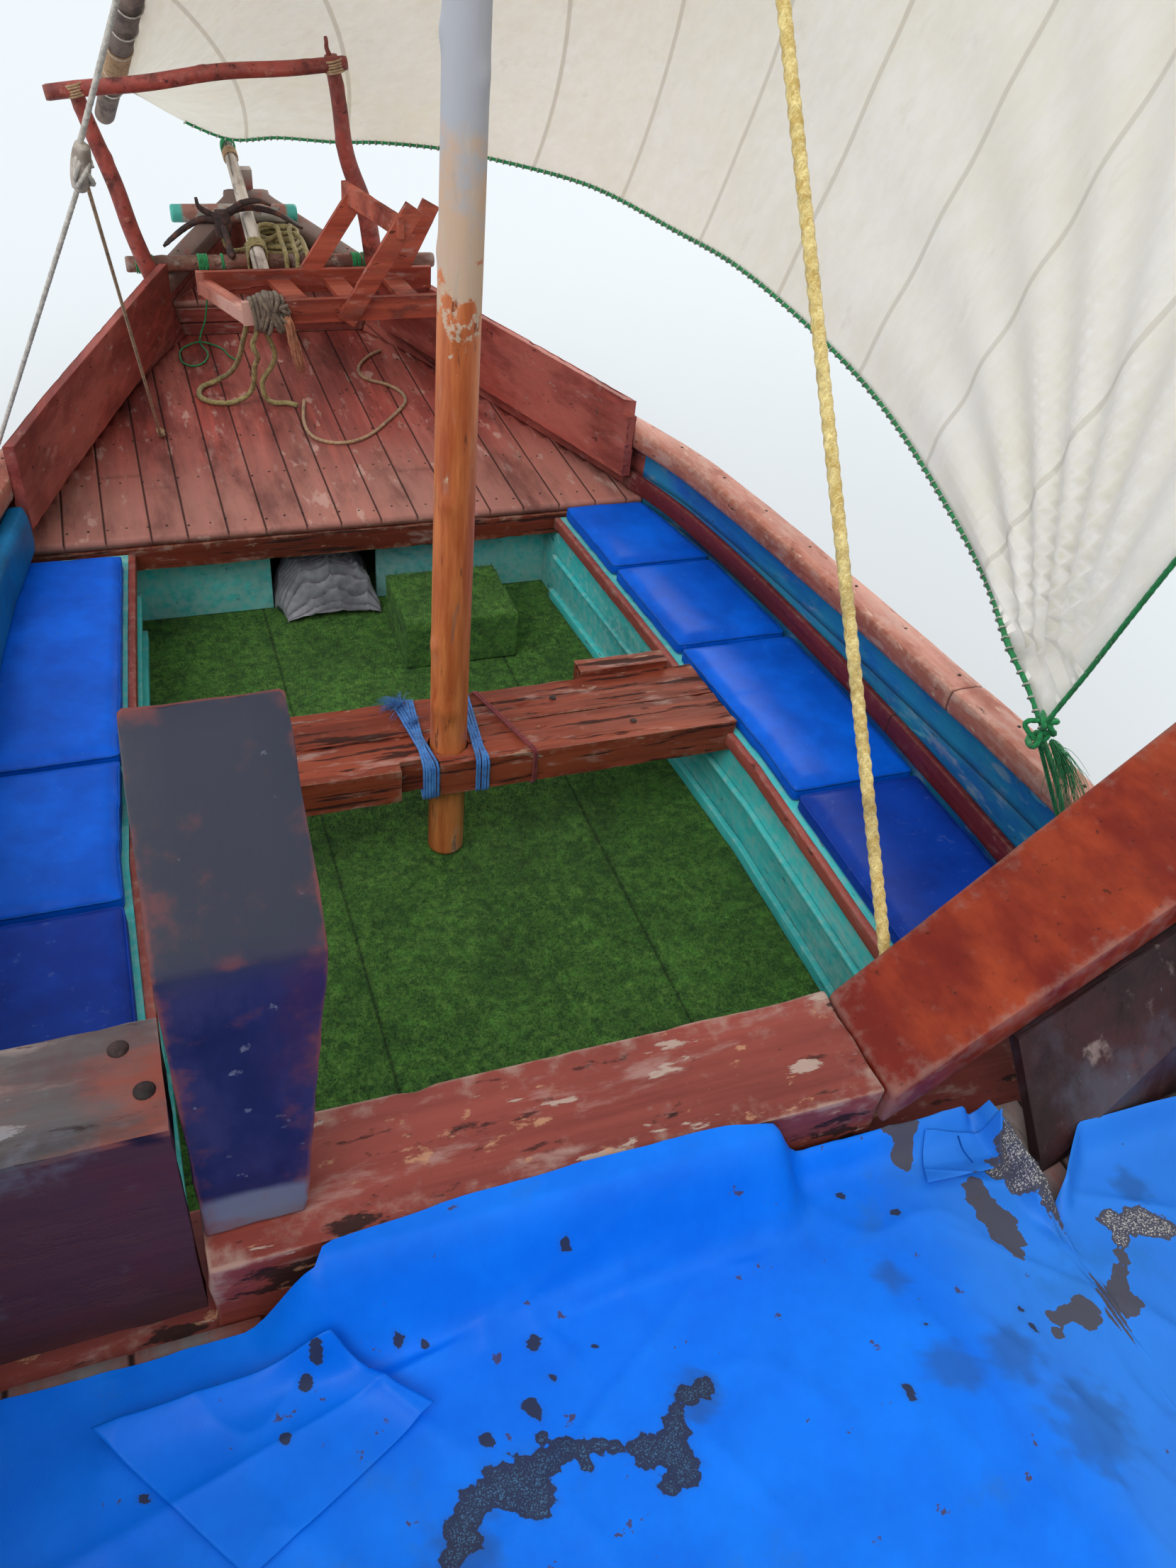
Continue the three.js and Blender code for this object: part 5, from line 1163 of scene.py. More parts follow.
# %% [markdown]
# A red board trims each bench's front edge, and a round moulding runs along the turquoise front. Both are
# profiles carried along the bench's plan line, which turns in toward the bow.

# %% Bench trim
def plan_bar(name, side, plan, z, width, depth, corner, material, seed):
    """A rounded bar along a plan line of (x, y) points at height z."""
    line = smooth_path([(side * x, y, z) for x, y in plan], 120)
    across = unit(np.cross(np.gradient(line, axis=0), [0, 0, 1]))
    loop = with_sides(rounded_box(width, depth, corner), 0.02)
    rings = carried(loop, line, across, np.broadcast_to([0, 0, 1.0], line.shape))
    rings = rings + ripple(rings, 0.2, seed)[..., None] * 0.0008
    build(name, closed_loft(rings), material, merge=True)


BENCH_EDGE = [(1.085, -2.236), (1.085, -1.3), (1.085, -0.34), (1.08, -0.25), (1.02, 0.7), (0.958, 1.58)]
for name, side in SIDES:
    plan_bar("bench_trim_" + name, side, BENCH_EDGE, 0.512, 0.030, 0.058, 0.008, "red_along", side + 8)
    plan_bar("bench_moulding_" + name, side, BENCH_EDGE, 0.335, 0.026, 0.022, 0.009, "turquoise", side + 12)
    plan_bar("bench_plinth_" + name, side, BENCH_EDGE, 0.128, 0.026, 0.050, 0.005, "turquoise", side + 16)
print("bench trim, mouldings and plinths")

# %% [markdown]
# ## Mast, spars and logs
# Spars are whole trees. Their radius wanders, knots stand out, and drying opens long checks. The radius
# is the taper times a ripple that is stretched along the grain, plus a bump for each knot, minus a narrow
# slot for each check; the same slot is the dark mark in the finish.

# %% Round timber
def log(name, path, radius, material, body="hull", nodes=(), sides=26, count=120, knots=6, checks=3, rough=0.03,
        crook=0.0, seed=1, extra=None):
    """A round timber along a path; crook bends it off its line by that share of its radius. extra is a mark's
    name and its formula along the log."""
    own = np.random.default_rng(seed)
    line = smooth_path(path, count)
    run = steps(0, 1, count)
    taper = curve_through(np.stack([steps(0, 1, len(radius)), radius], -1))(run)
    along, side, up = path_frames(line)
    bend = np.sin(run[:, None] * own.uniform(5, 13, 2) + own.uniform(0, 6, 2)) * crook * taper[:, None] * np.sin(
        run[:, None] * math.pi)
    line = line + bend[:, :1] * side + bend[:, 1:] * up
    turn = full_turn(sides)
    length = path_length(line)
    r = taper[:, None] * (1 + rough * ripple(np.stack(np.broadcast_arrays(
        np.cos(turn), np.sin(turn), run[:, None] * length * 1.6), -1), 1.6, seed))
    for at, face in zip(own.uniform(0.08, 0.92, knots), own.uniform(0, 2 * math.pi, knots)):
        near = np.exp(-((run[:, None] - at) * length / (taper.mean() * 0.6)) ** 2
                      - ((np.angle(np.exp(1j * (turn - face)))[None]) / 0.45) ** 2)
        r = r + near * taper[:, None] * 0.12
    slot = np.zeros_like(r)
    for at, face, long in zip(own.uniform(0.1, 0.8, checks), own.uniform(0, 2 * math.pi, checks),
                              own.uniform(0.15, 0.45, checks)):
        drift = face + 0.25 * np.sin(run * 9 + face)
        slot = np.maximum(slot, np.exp(-(np.angle(np.exp(1j * (turn[None] - drift[:, None]))) / (4.4 / sides)) ** 2)
                          * (ease(at, at + 0.04, run) - ease(at + long, at + long + 0.04, run))[:, None])
    r = r - slot * np.minimum(taper[:, None] * 0.10, 0.006)
    round_off = np.minimum(ease(-0.004, 0.010, run * length), 1 - ease(length - 0.010, length + 0.004, run * length))
    r = r * (0.86 + 0.14 * round_off)[:, None]
    marks = {"seam_and_fold_shade": slot}
    if extra:
        marks[extra[0]] = np.broadcast_to(extra[1](run)[:, None], slot.shape)
    build(name, closed_loft(round_at(line, side, up, turn, r)), material, body, nodes, marks=marks)


MAST_Y, MAST_FOOT, MAST_TRUCK, MAST_TOP = -0.020, 0.067, 0.052, 5.650
mast_r = lambda z: MAST_FOOT + (MAST_TRUCK - MAST_FOOT) * z / MAST_TOP
log("mast_pole", [(0, MAST_Y, 0.1003), (0, MAST_Y, 2.0), (0, MAST_Y, 4.0), (0, MAST_Y, MAST_TOP)],
    [MAST_FOOT * 0.985, 0.062, 0.056, MAST_TRUCK * 0.98], "mast_wood", nodes=["mast"], sides=44, count=420, knots=16,
    checks=1, rough=0.012, seed=22)
FRAME_LOGS = [
    ("frame_leg_port", [(-0.632, 3.735, 0.93), (-0.722, 3.735, 1.20), (-0.775, 3.735, 1.45), (-0.888, 3.735, 1.87)],
     [0.045, 0.042, 0.040, 0.034]),
    ("frame_leg_stbd", [(0.575, 3.73, 0.93), (0.515, 3.73, 1.25), (0.42, 3.73, 1.60), (0.352, 3.73, 2.03)],
     [0.052, 0.048, 0.042, 0.036]),
    ("frame_lintel", [(-1.019, 3.69, 1.833), (-0.5, 3.69, 1.90), (-0.05, 3.69, 1.955), (0.426, 3.69, 2.005)],
     [0.036, 0.037, 0.036, 0.034]),
    ("frame_spike", [(0.345, 3.73, 1.99), (0.33, 3.73, 2.11)], [0.014, 0.009]),
]
for k, (name, path, radius) in enumerate(FRAME_LOGS):
    log(name, path, radius, "log_red", nodes=["bow_frame"] if k == 0 else (), sides=22, count=90, crook=0.20,
        rough=0.06, knots=7, seed=60 + k)
log("catbeam_log", [(x, CATBEAM_Y, CATBEAM_Z) for x in (-0.764, -0.2, 0.4, 0.920)],
    [0.041, CATBEAM_R, 0.041, 0.040], "log_brown", nodes=["catbeam"], sides=26, count=150, crook=0.05, rough=0.05,
    knots=9,
    checks=4, seed=71)
BOWSPRIT_RISE, BOWSPRIT_R = 0.194, 0.040
spr_z = lambda y: CATBEAM_Z + CATBEAM_R + BOWSPRIT_R + 0.0006 + BOWSPRIT_RISE * (y - CATBEAM_Y)
BOWSPRIT_XY = [(-0.092, 3.20), (-0.078, CATBEAM_Y), (-0.07, 4.42), (-0.062, 5.02)]
log("bowsprit_pole", [(x, y, spr_z(y)) for x, y in BOWSPRIT_XY],
    [0.042, BOWSPRIT_R, 0.036, 0.032], "log_pale", nodes=["bowsprit"], sides=28, count=160, crook=0.06, rough=0.03,
    knots=9, checks=5, seed=73)
log("mooring_log", [(x, 4.40, 1.088) for x in (-0.470, -0.1, 0.238)], [0.048, 0.050, 0.048], "log_mottled",
    nodes=["mooring_bar"], sides=24, count=80, rough=0.03, knots=4, checks=2, seed=75,
    extra=("turquoise_end", lambda run: ease(0.80, 0.86, abs(run * 2 - 1))))
print("mast, frame logs, beam, bowsprit and mooring bar")

# %% [markdown]
# ## The grapnel
# A dhow's small anchor is forged by hand: a shank, and arms that curve up from a heavy crown and end in
# flattened points. Each arm is a tube whose radius falls off, flattened toward its tip.

# %% Grapnel
def forged(name, path, radius, flat, seed, nodes=(), count=40):
    """A hand-forged bar along a path, flattened toward its tip by flat."""
    line = smooth_path(path, count)
    run = steps(0, 1, count)
    along, side, up = path_frames(line)
    r = curve_through(np.stack([steps(0, 1, len(radius)), radius], -1))(run)
    wide = r * (1 + flat * ease(0.55, 0.92, run) * 1.2) * (1 - 0.75 * ease(0.93, 1.0, run))
    thin = r * (1 - flat * ease(0.55, 0.92, run) * 0.5)
    rings = round_at(line, side, up, full_turn(14), wide[:, None], thin[:, None])
    rings = rings + unit(rings - line[:, None]) * ripple(rings, 0.03, seed)[..., None] * 0.0012
    build(name, closed_loft(rings), "iron", nodes=nodes)


GRAPNEL = [
    ("grapnel_crown", [(-222, 4030, 1075), (-223, 4030, 1140), (-225, 4030, 1214)], [0.040, 0.048, 0.036], 0.0),
    ("grapnel_shank", [(-225, 4030, 1155), (-218, 3900, 1094), (-212, 3780, 1037)], [0.016, 0.017, 0.016], 0.3),
    ("grapnel_arm_1", [(-225, 4030, 1150), (-330, 4025, 1165), (-427, 4000, 1129), (-500, 3975, 1085),
                       (-553, 3951, 1048)], [0.021, 0.019, 0.017, 0.016, 0.012], 0.7),
    ("grapnel_arm_2", [(-225, 4035, 1160), (-290, 4045, 1190), (-340, 4050, 1225), (-350, 4060, 1269)],
     [0.020, 0.018, 0.016, 0.012], 0.7),
    ("grapnel_arm_3", [(-225, 4040, 1180), (-172, 4045, 1205), (-108, 4050, 1240), (-20, 4055, 1252),
                       (49, 4060, 1228)], [0.020, 0.019, 0.018, 0.017, 0.012], 0.7),
    ("grapnel_arm_4", [(-225, 4050, 1160), (-140, 4100, 1192), (-40, 4110, 1200), (90, 4080, 1175),
                       (214, 4031, 1111)], [0.020, 0.018, 0.017, 0.015, 0.012], 0.7),
]
for k, (name, path, radius, flat) in enumerate(GRAPNEL):
    forged(name, metres(path), radius, flat, 80 + k, ["anchor"] if k == 0 else ())
print("grapnel with", len(GRAPNEL) - 2, "arms")

# %% [markdown]
# ## The sail
# A lateen sail hangs from its long yard. The cloth is a surface between two curves, the foot and the
# head, bellied by the wind: the belly is a sine along the sail and a parabola up it, and the leech is
# hollow. The same formula as the solid's gives the sheet its place. The cloths' seams are narrow ridges
# that run down from the head, and near the clew the cloth is gathered in folds.

# %% Sail surface
YARD_OFF, YARD_SLING_RUN, YARD_LENGTH, SLING_Z = 0.139, 6.516, 13.6, 5.150
YARD_WAY = unit(np.array([0.870, -5.250, 3.760]))
YARD_AT_MAST = np.array([YARD_OFF, 0.0, SLING_Z])
YARD_RADII = [[0, 0.058], [3.0, 0.074], [6.516, 0.080], [10.0, 0.066], [13.6, 0.034]]
yard_r = curve_through(YARD_RADII)
yard_point = lambda run: YARD_AT_MAST + YARD_WAY * (np.asarray(run)[..., None] - YARD_SLING_RUN)
BESIDE_YARD = unit(np.array([-YARD_WAY[1], YARD_WAY[0], 0.0]))
SAIL_FOOT = metres([(-560, 4930, 1580), (-270, 4920, 1430), (-55, 4900, 1360), (200, 4650, 1430), (490, 4450, 1460),
                    (700, 4200, 1520), (1000, 3850, 1575), (1190, 3550, 1600), (1500, 2950, 1636), (1680, 2250, 1630),
                    (1755, 1650, 1640), (1820, 650, 1545), (1650, -300, 1470), (1430, -1000, 1430),
                    (1360, -1250, 1370)])
HEAD_FROM, HEAD_TO, SAIL_BELLY, LEECH_HOLLOW = 0.35, 13.35, 0.50, 0.55


def centripetal(points, count):
    """Catmull-Rom through the points with square-root spacing, then even steps: the solid's own foot."""
    p = np.array(points)
    p = np.concatenate([[2 * p[0] - p[1]], p, [2 * p[-1] - p[-2]]])
    t = np.concatenate([[0], np.cumsum(np.sqrt(np.linalg.norm(np.diff(p, axis=0), axis=1)))])
    at = steps(t[1], t[-2] - 1e-9, count * 6)
    i = np.clip(np.searchsorted(t, at, side="right") - 1, 1, len(p) - 3)
    mix = lambda a, b, ta, tb: (a * (tb - at)[:, None] + b * (at - ta)[:, None]) / (tb - ta)[:, None]
    a1, a2, a3 = (mix(p[i + k], p[i + k + 1], t[i + k], t[i + k + 1]) for k in (-1, 0, 1))
    b1, b2 = mix(a1, a2, t[i - 1], t[i + 1]), mix(a2, a3, t[i], t[i + 2])
    return even_points(mix(b1, b2, t[i], t[i + 1]), count)


FOOT_COUNT = 2000
foot_line = centripetal(SAIL_FOOT, FOOT_COUNT)


def sail_at(a, b):
    """a runs along the sail from tack to clew, b from the foot up to the yard."""
    foot = np.stack([np.interp(a, steps(0, 1, FOOT_COUNT), foot_line[:, k]) for k in range(3)], -1)
    run = HEAD_FROM + a * (HEAD_TO - HEAD_FROM)
    head = yard_point(run) + BESIDE_YARD * (yard_r(run) + 0.005)[..., None]
    bow = 4 * b * (1 - b)
    p = foot * (1 - b[..., None]) + head * b[..., None]
    p = p + (SAIL_BELLY * np.sin(math.pi * a) * bow)[..., None] * np.array([0.93, 0.37, 0.0])
    return p + (LEECH_HOLLOW * bow * a**3)[..., None] * np.array([0.0, 1.0, 0.0])


CLOTHS = 11
a_rows = lines_at(steps(0, 1, 150), np.arange(1, CLOTHS) / CLOTHS, -0.0021, -0.0015, 0.0015, 0.0021)
b_rows = np.unique(np.concatenate([steps(0, 1, 100), steps(0, 0.03, 7), steps(0, 0.3, 60)]))
b_grid, a_grid = np.meshgrid(b_rows, a_rows)
sail_grid = sail_at(a_grid, b_grid)
du = sail_at(np.minimum(a_grid + 1e-4, 1), b_grid) - sail_at(np.maximum(a_grid - 1e-4, 0), b_grid)
dv = sail_at(a_grid, np.minimum(b_grid + 1e-4, 1)) - sail_at(a_grid, np.maximum(b_grid - 1e-4, 0))
normal = unit(np.cross(du, dv))
from_clew = sail_grid - sail_grid[-1, 0]
away = np.linalg.norm(from_clew, axis=-1)
fold_angle = np.arctan2(from_clew @ np.array([0, 0.8, 0.6]), from_clew @ np.array([0, -0.6, 0.8]))
folds = np.sin(fold_angle * 26) * np.exp(-away / 1.5) * 0.020 * ease(0.03, 0.3, away)
luff = ripple(sail_grid * [1, 0.35, 1], 1.1, 5) * 0.014 * np.sin(math.pi * b_grid) * np.minimum(a_grid * 6, 1)
scallop = 0.010 * np.sin(a_grid * 2 * math.pi * 46) * np.exp(-((1 - b_grid) / 0.02) ** 2)
seams = np.abs(((a_grid * CLOTHS + 0.5) % 1) - 0.5) / CLOTHS
ridge = (1 - ease(0.0014, 0.0021, seams)) * (a_grid > 0.02) * (a_grid < 0.985)
middle = sail_grid + normal * (folds + luff * 0.6 + scallop)[..., None]
half_cloth = (0.0012 + 0.0010 * ridge)[..., None]
uv = np.stack([a_grid * 13.0, b_grid * 6.0], -1)
finish("canvas", "#f3ede0", "#fffaf0", 5, (1, 1, 1), [
    ("patch", "#e6d2ae", 0.4, 0.9, 0.0, 0.5, 0.40, 0.25), ("patch", "#c5bcac", 0.2, 0.9, 0.0, 3.5, 0.16, 0.06),
    ("mark", "#c4bfba", 0.6, 0.9, 0.6, "seam_and_fold_shade"), ("weave", "#cfc8bb", 0.0, 0.9, 0.25, 60)],
    (0.75, 0.92), (0.35, 0.0012), "UV", Sheen_Weight=0.2, Subsurface_Weight=0.45, Subsurface_Scale=0.02,
    Subsurface_Radius=(1.0, 0.85, 0.6))
sail = build("sail_cloth", closed_sheet(middle + normal * half_cloth, middle - normal * half_cloth), "canvas", "rig",
             ["sail"], uv=np.concatenate([uv, uv]), marks={"seam_and_fold_shade": np.concatenate([ridge, ridge])})

# %% [markdown]
# The sail's edges carry a boltrope: green along the foot and leech, sewn on with white stitches. The
# rope is a laid tube along the sheet's edge; each stitch is a short ring that leans round the rope.

# %% Boltrope, stitches and the yard
def rings_along(name, path, radius, thick, count, material, lean, sides=5, around=18, line_points=600):
    """Many small tori along a path, all in one mesh: each leans by lean along the path."""
    line = smooth_path(path, line_points)
    along, side, up = path_frames(line)
    at = (steps(0, 1, count) * (line_points - 1)).astype(int)
    turn, small = full_turn(around), full_turn(sides)
    radial = np.cos(turn)[None, :, None] * side[at][:, None] + np.sin(turn)[None, :, None] * up[at][:, None]
    r = np.broadcast_to(np.asarray(radius, float), (count,))[:, None, None]
    centre = line[at][:, None] + radial * r + along[at][:, None] * (np.sin(turn) * lean)[None, :, None] * r
    ring = centre[:, :, None] + thick * (np.cos(small)[None, None, :, None] * radial[:, :, None]
                                         + np.sin(small)[None, None, :, None] * along[at][:, None, None])
    build(name, (ring, [looped_faces(around, sides, count)]), material, "rig")


foot_edge = middle[a_rows > 0.035, 0]
rope("sail_boltrope", foot_edge, 0.020, "rope_green", "rig", sides=10, steps_per_lay=5)
rings_along("boltrope_stitches", foot_edge, 0.0125, 0.0036, 150, "rope_white", 0.35, sides=4, around=8)
rope("sail_leech_rope", middle[-1], 0.014, "rope_white", "rig", sides=8, steps_per_lay=4)
rope("leech_green", middle[-1, b_rows < 0.17], 0.016, "rope_green", "rig", sides=8, steps_per_lay=5)
yard_line = [tuple(yard_point(r)) for r in (0, 2.0, 4.5, YARD_SLING_RUN, 9.0, 11.5, YARD_LENGTH)]
log("yard_pole", yard_line, list(yard_r(steps(0, YARD_LENGTH, 9)) * 0.985), "spar_wood", "rig", ["yard"],
    sides=30, count=560, knots=26, checks=9, rough=0.02, crook=0.05, seed=31)
for k, (a, b) in enumerate([(0.55, 0.85), (2.3, 2.6), (3.9, 4.15), (5.2, 5.5), (7.6, 7.9), (8.9, 9.2), (10.6, 10.9),
                            (12.2, 12.45)]):
    rings_along(f"yard_lashing_{k}", yard_point(steps(a, b, 20)), yard_r(steps(a, b, 24)) + 0.003, 0.0055, 24,
                "rope_tan", 0.08, around=20)
rings_along("sail_robands", yard_point(steps(0.4, 13.3, 80)), yard_r(steps(0.4, 13.3, 58)) + 0.006, 0.0045, 58,
            "rope_white", 0.25)
PARREL_Z = 5.130
parrel_turn = full_turn(59)
for k, (lift, reach) in enumerate(((0.0, 0.021), (0.022, 0.019), (-0.021, 0.020))):
    reach += mast_r(PARREL_Z)
    circle = np.stack([np.cos(parrel_turn) * reach, MAST_Y + np.sin(parrel_turn) * reach,
                       PARREL_Z + lift + 0.004 * np.sin(parrel_turn)], -1)
    rings = tube_rings(circle, 0.0105, 10, 3, 0.07, 0.22)
    build(f"parrel_{k}", (rings, [looped_faces(*rings.shape[:2])]), "rope_tan", "rig")
print("boltropes, yard, lashings and parrel")

# %% [markdown]
# ## Taut rigging
# A taut rope is straight, so it isn't declared as a cord. The yellow halyard is thick three-strand rope;
# the port stay ends in a block with two legs down to the rail and the foredeck, and its knots are drawn
# as short runs of turns.

# %% Halyard and port stay
rope("halyard_rope", [(0.02, -0.088, 4.96), (0.03, -0.100, 4.92), (0.138, -1.104, 3.305), (0.246, -2.108, 1.690)],
     0.0245, "rope_yellow", nodes=["halyard"], sides=18, steps_per_lay=12, lay=3.3)


def mast_hitch(top, r, pitch, start=0.0, rounds=4):
    """Turns round the mast: a helix of radius r that drops by pitch in each round."""
    turn = steps(0, rounds * 2 * math.pi, 130)
    return np.stack([np.cos(turn - start) * r, MAST_Y + np.sin(turn - start) * r,
                     top - turn / (2 * math.pi) * pitch], -1)


rope("halyard_hitch", mast_hitch(4.96, mast_r(4.95) + 0.0125, 0.0245, 1.4), 0.0225, "rope_yellow", sides=10,
     steps_per_lay=7)
BLOCK = np.array([-0.905, 1.085, 2.200])
RAIL_FOOT = np.array([-1.425, 1.690, float(rail_top(1.690)) + 0.0052])
DECK_FOOT = np.array([-0.745, 2.560, DECK_Z + 0.0066])
rope("stay_upper", [(-0.062, 0.020, 4.480), tuple(BLOCK + [0, 0, 0.04])], 0.020, "rope_white",
     nodes=["port_shroud"], sides=12, steps_per_lay=7)
rope("stay_hitch", mast_hitch(4.51, mast_r(4.48) + 0.0105, 0.021), 0.019, "rope_white", sides=10)
for leg, foot, thick, colour in (("rail", RAIL_FOOT, 0.018, "white"), ("deck", DECK_FOOT, 0.014, "tan")):
    rope("stay_leg_" + leg, [tuple(BLOCK - [0, 0, 0.03]), tuple(foot)], thick, "rope_" + colour, sides=12,
         steps_per_lay=7)


def knot(name, at, size, diameter, material, body="hull", turns=3.0, seed=1, squash=(1, 1, 1)):
    """A tight ball of rope: a closed winding on a sphere, r = size, with both angles running on."""
    own = np.random.default_rng(seed)
    t = steps(0, 2 * math.pi * turns, int(60 * turns))
    tilt = own.uniform(0.8, 1.2, 3)
    p = np.stack([np.cos(t * tilt[0]) * np.cos(t * 0.37), np.sin(t * tilt[1]) * np.cos(t * 0.37),
                  np.sin(t * 0.61 * tilt[2])], -1) * size * np.array(squash)
    build(name, closed_loft(tube_rings(at + p, diameter / 2, 9, 3, diameter * 3.6, 0.22)), material, body)


knot("stay_knot", BLOCK - [0, 0, 0.02], 0.030, 0.016, "rope_white", turns=5, seed=2, squash=(0.9, 0.9, 1.8))
knot("rail_knot", RAIL_FOOT + [0.004, -0.01, 0.018], 0.020, 0.014, "rope_white", turns=4, seed=3,
     squash=(1, 1, 0.8))
knot("deck_knot", DECK_FOOT + [0, 0, 0.020], 0.016, 0.012, "rope_tan", turns=4, seed=4)
BLOCK_RINGS = 24
block_rings = carried(with_sides(rounded_box(0.044, 0.062, 0.016, 4), 0.01),
                      np.linspace(BLOCK + [0.010, -0.012, 0.050], BLOCK + [-0.020, 0.024, -0.088], BLOCK_RINGS),
                      np.full((BLOCK_RINGS, 3), [0.77, 0.64, 0]), np.full((BLOCK_RINGS, 3), [-0.6, 0.72, 0.33]))
swell = 0.55 + 0.45 * np.sin(steps(0.12, math.pi - 0.12, BLOCK_RINGS)) ** 0.5
block_middle = block_rings.mean(1, keepdims=True)
build("stay_block", closed_loft(block_middle + (block_rings - block_middle) * swell[:, None, None]), "log_pale",
      merge=True)
print("halyard, stay, block and knots")

# %% [markdown]
# ## Cushions
# Each cushion is vinyl over foam. Its solid is only a slab, so the soft shape comes from a simulation: the
# slab is remeshed into even cells, blown up gently as cloth with gravity off, and each point's travel is
# capped so that it stays in its place on the bench. Piping is laid on the puffed surface afterwards.

# %% Puffed copies


def baked(piece):
    """The piece's mesh with its modifiers applied."""
    graph = bpy.context.evaluated_depsgraph_get()
    mesh = bpy.data.meshes.new_from_object(piece.evaluated_get(graph))
    old, piece.data = piece.data, mesh
    piece.modifiers.clear()
    bpy.data.meshes.remove(old)
    return mesh


def places(mesh):
    """The mesh's points as a table of x, y, z."""
    flat = np.zeros(len(mesh.vertices) * 3)
    mesh.vertices.foreach_get("co", flat)
    return flat.reshape(-1, 3)


def slab_copy(name, solid, shrink, cell):
    """The solid's mesh, merged, pulled in by shrink toward its middle, and remeshed to even cells."""
    work = bmesh.new()
    work.from_mesh(frame["nodes"][solid].data)
    bmesh.ops.remove_doubles(work, verts=work.verts, dist=1e-5)
    mesh = bpy.data.meshes.new(name)
    work.to_mesh(mesh)
    work.free()
    p = places(mesh)
    middle, reach = (p.min(0) + p.max(0)) / 2, (p.max(0) - p.min(0)) / 2
    mesh.vertices.foreach_set("co", (middle + (p - middle) * (1 - shrink / np.maximum(reach, 0.01))).ravel())
    piece = placed(name, mesh)
    remesh = piece.modifiers.new("even", "REMESH")
    remesh.mode, remesh.voxel_size, remesh.use_smooth_shade = "VOXEL", cell, True
    baked(piece)
    return piece


def puff(piece, pressure, side_cap, top_cap, floor_axis=2, frames=18):
    """Cloth under pressure for a few frames; each point's move is capped sideways and upward."""
    start = places(piece.data)
    cloth = piece.modifiers.new("cloth", "CLOTH")
    s = cloth.settings
    s.quality, s.mass, s.air_damping = 5, 0.4, 2.0
    s.tension_stiffness, s.compression_stiffness, s.shear_stiffness, s.bending_stiffness = 12, 9, 6, 0.8
    s.use_pressure, s.uniform_pressure_force = True, pressure
    s.effector_weights.gravity = 0
    cloth.collision_settings.use_collision = False
    for f in range(1, frames + 1):
        bpy.context.scene.frame_set(f)
    baked(piece)
    bpy.context.scene.frame_set(1)
    p = places(piece.data)
    move = p - start
    cap = np.array([side_cap, side_cap, top_cap])
    if floor_axis == 0:
        cap = np.array([top_cap, side_cap, side_cap])
    p = start + cap * np.tanh(move / cap)
    if floor_axis == 2:
        p[:, 2] = np.maximum(p[:, 2], start[:, 2].min() + 0.0015)
    piece.data.vertices.foreach_set("co", p.ravel())
    piece.data.update()
    smooth = piece.modifiers.new("soften", "SUBSURF")
    smooth.levels = smooth.render_levels = 1
    baked(piece)
    piece.data.polygons.foreach_set("use_smooth", np.full(len(piece.data.polygons), True))
    return piece


def outline_at(solid, high):
    """The corners of a solid's top (or bottom) face, in order round its middle."""
    p = places(frame["nodes"][solid].data)
    z = p[:, 2].max() if high else p[:, 2].min()
    corner = np.unique(np.round(p[np.abs(p[:, 2] - z) < 0.002], 4), axis=0)
    turn = np.arctan2(*(corner[:, :2] - corner[:, :2].mean(0)).T[::-1])
    return corner[np.argsort(turn)]


def smoothed(loop, times):
    """A closed loop with each point drawn half way to its neighbours' middle, again and again."""
    for _ in range(times):
        loop = loop * 0.5 + 0.25 * (np.roll(loop, 1, 0) + np.roll(loop, -1, 0))
    return loop


def piping(name, piece, loop, diameter, material, lift=0.0008):
    """A closed cord along a loop of points, set on the nearest place of a puffed surface."""
    loop = np.concatenate([loop, loop[:1]])
    at = smoothed(even_points(loop, int(path_length(loop) / 0.012) + 1)[:-1], 6)
    tree = BVHTree.FromObject(piece, bpy.context.evaluated_depsgraph_get())
    hits = [tree.find_nearest(Vector(p)) for p in at]
    line = smoothed(np.array([tuple(place + normal * lift) for place, normal, *_ in hits]), 3)
    rings = tube_rings(np.concatenate([line, line[:1]]), diameter / 2, 8)[:-1]
    build(name, (rings, [looped_faces(*rings.shape[:2])]), material)


CUSHIONS = ["port_fore", "port_mid", "port_aft", "stbd_corner", "stbd_fore", "stbd_mid", "stbd_aft"]
for k, place in enumerate(CUSHIONS):
    solid, is_navy = "cushion_" + place, place.endswith("aft")
    soft = slab_copy("soft_" + solid, solid, 0.005, 0.0128)
    p = places(soft.data)
    # creases from use: long shallow valleys across the top
    top = ease(0.57, 0.595, p[:, 2])
    p[:, 2] += top * (ripple(p * [1, 0.6, 1], 0.34, 90 + k) * 0.004 - 0.003 * ease(
        0.75, 1.0, ripple(p * [0.4, 1, 1], 0.22, 190 + k)))
    soft.data.vertices.foreach_set("co", p.ravel())
    puff(soft, 4.0, 0.004, 0.022)
    dress(soft, "vinyl_navy" if is_navy else "vinyl_blue", "hull", solid)
    for level, high in (("top", True), ("low", False)):
        ring = outline_at(solid, high)
        ring[:, 2] += -0.004 if high else 0.006
        piping(f"piping_{place}_{level}", soft, ring, 0.007, "vinyl_navy" if is_navy else "piping")
    print(solid, len(soft.data.polygons), end="; ")
pad = slab_copy("soft_back_pad", "back_pad_port", 0.004, 0.010)
puff(pad, 4.0, 0.003, 0.016, floor_axis=0)
dress(pad, "vinyl_teal", "hull", "back_pad_port")
print("back pad")

# %% [markdown]
# ## The tarp and the cloth in the locker
# The tarp lies on the poop deck with its front edge over the beam. Its height is the deck's or the beam's
# with a soft step between, plus broad waves, small creases and a welded lap. A second layer is a flap that
# was folded back, and a short roll where the edge curled. The locker's cloth is a crumpled sheet.

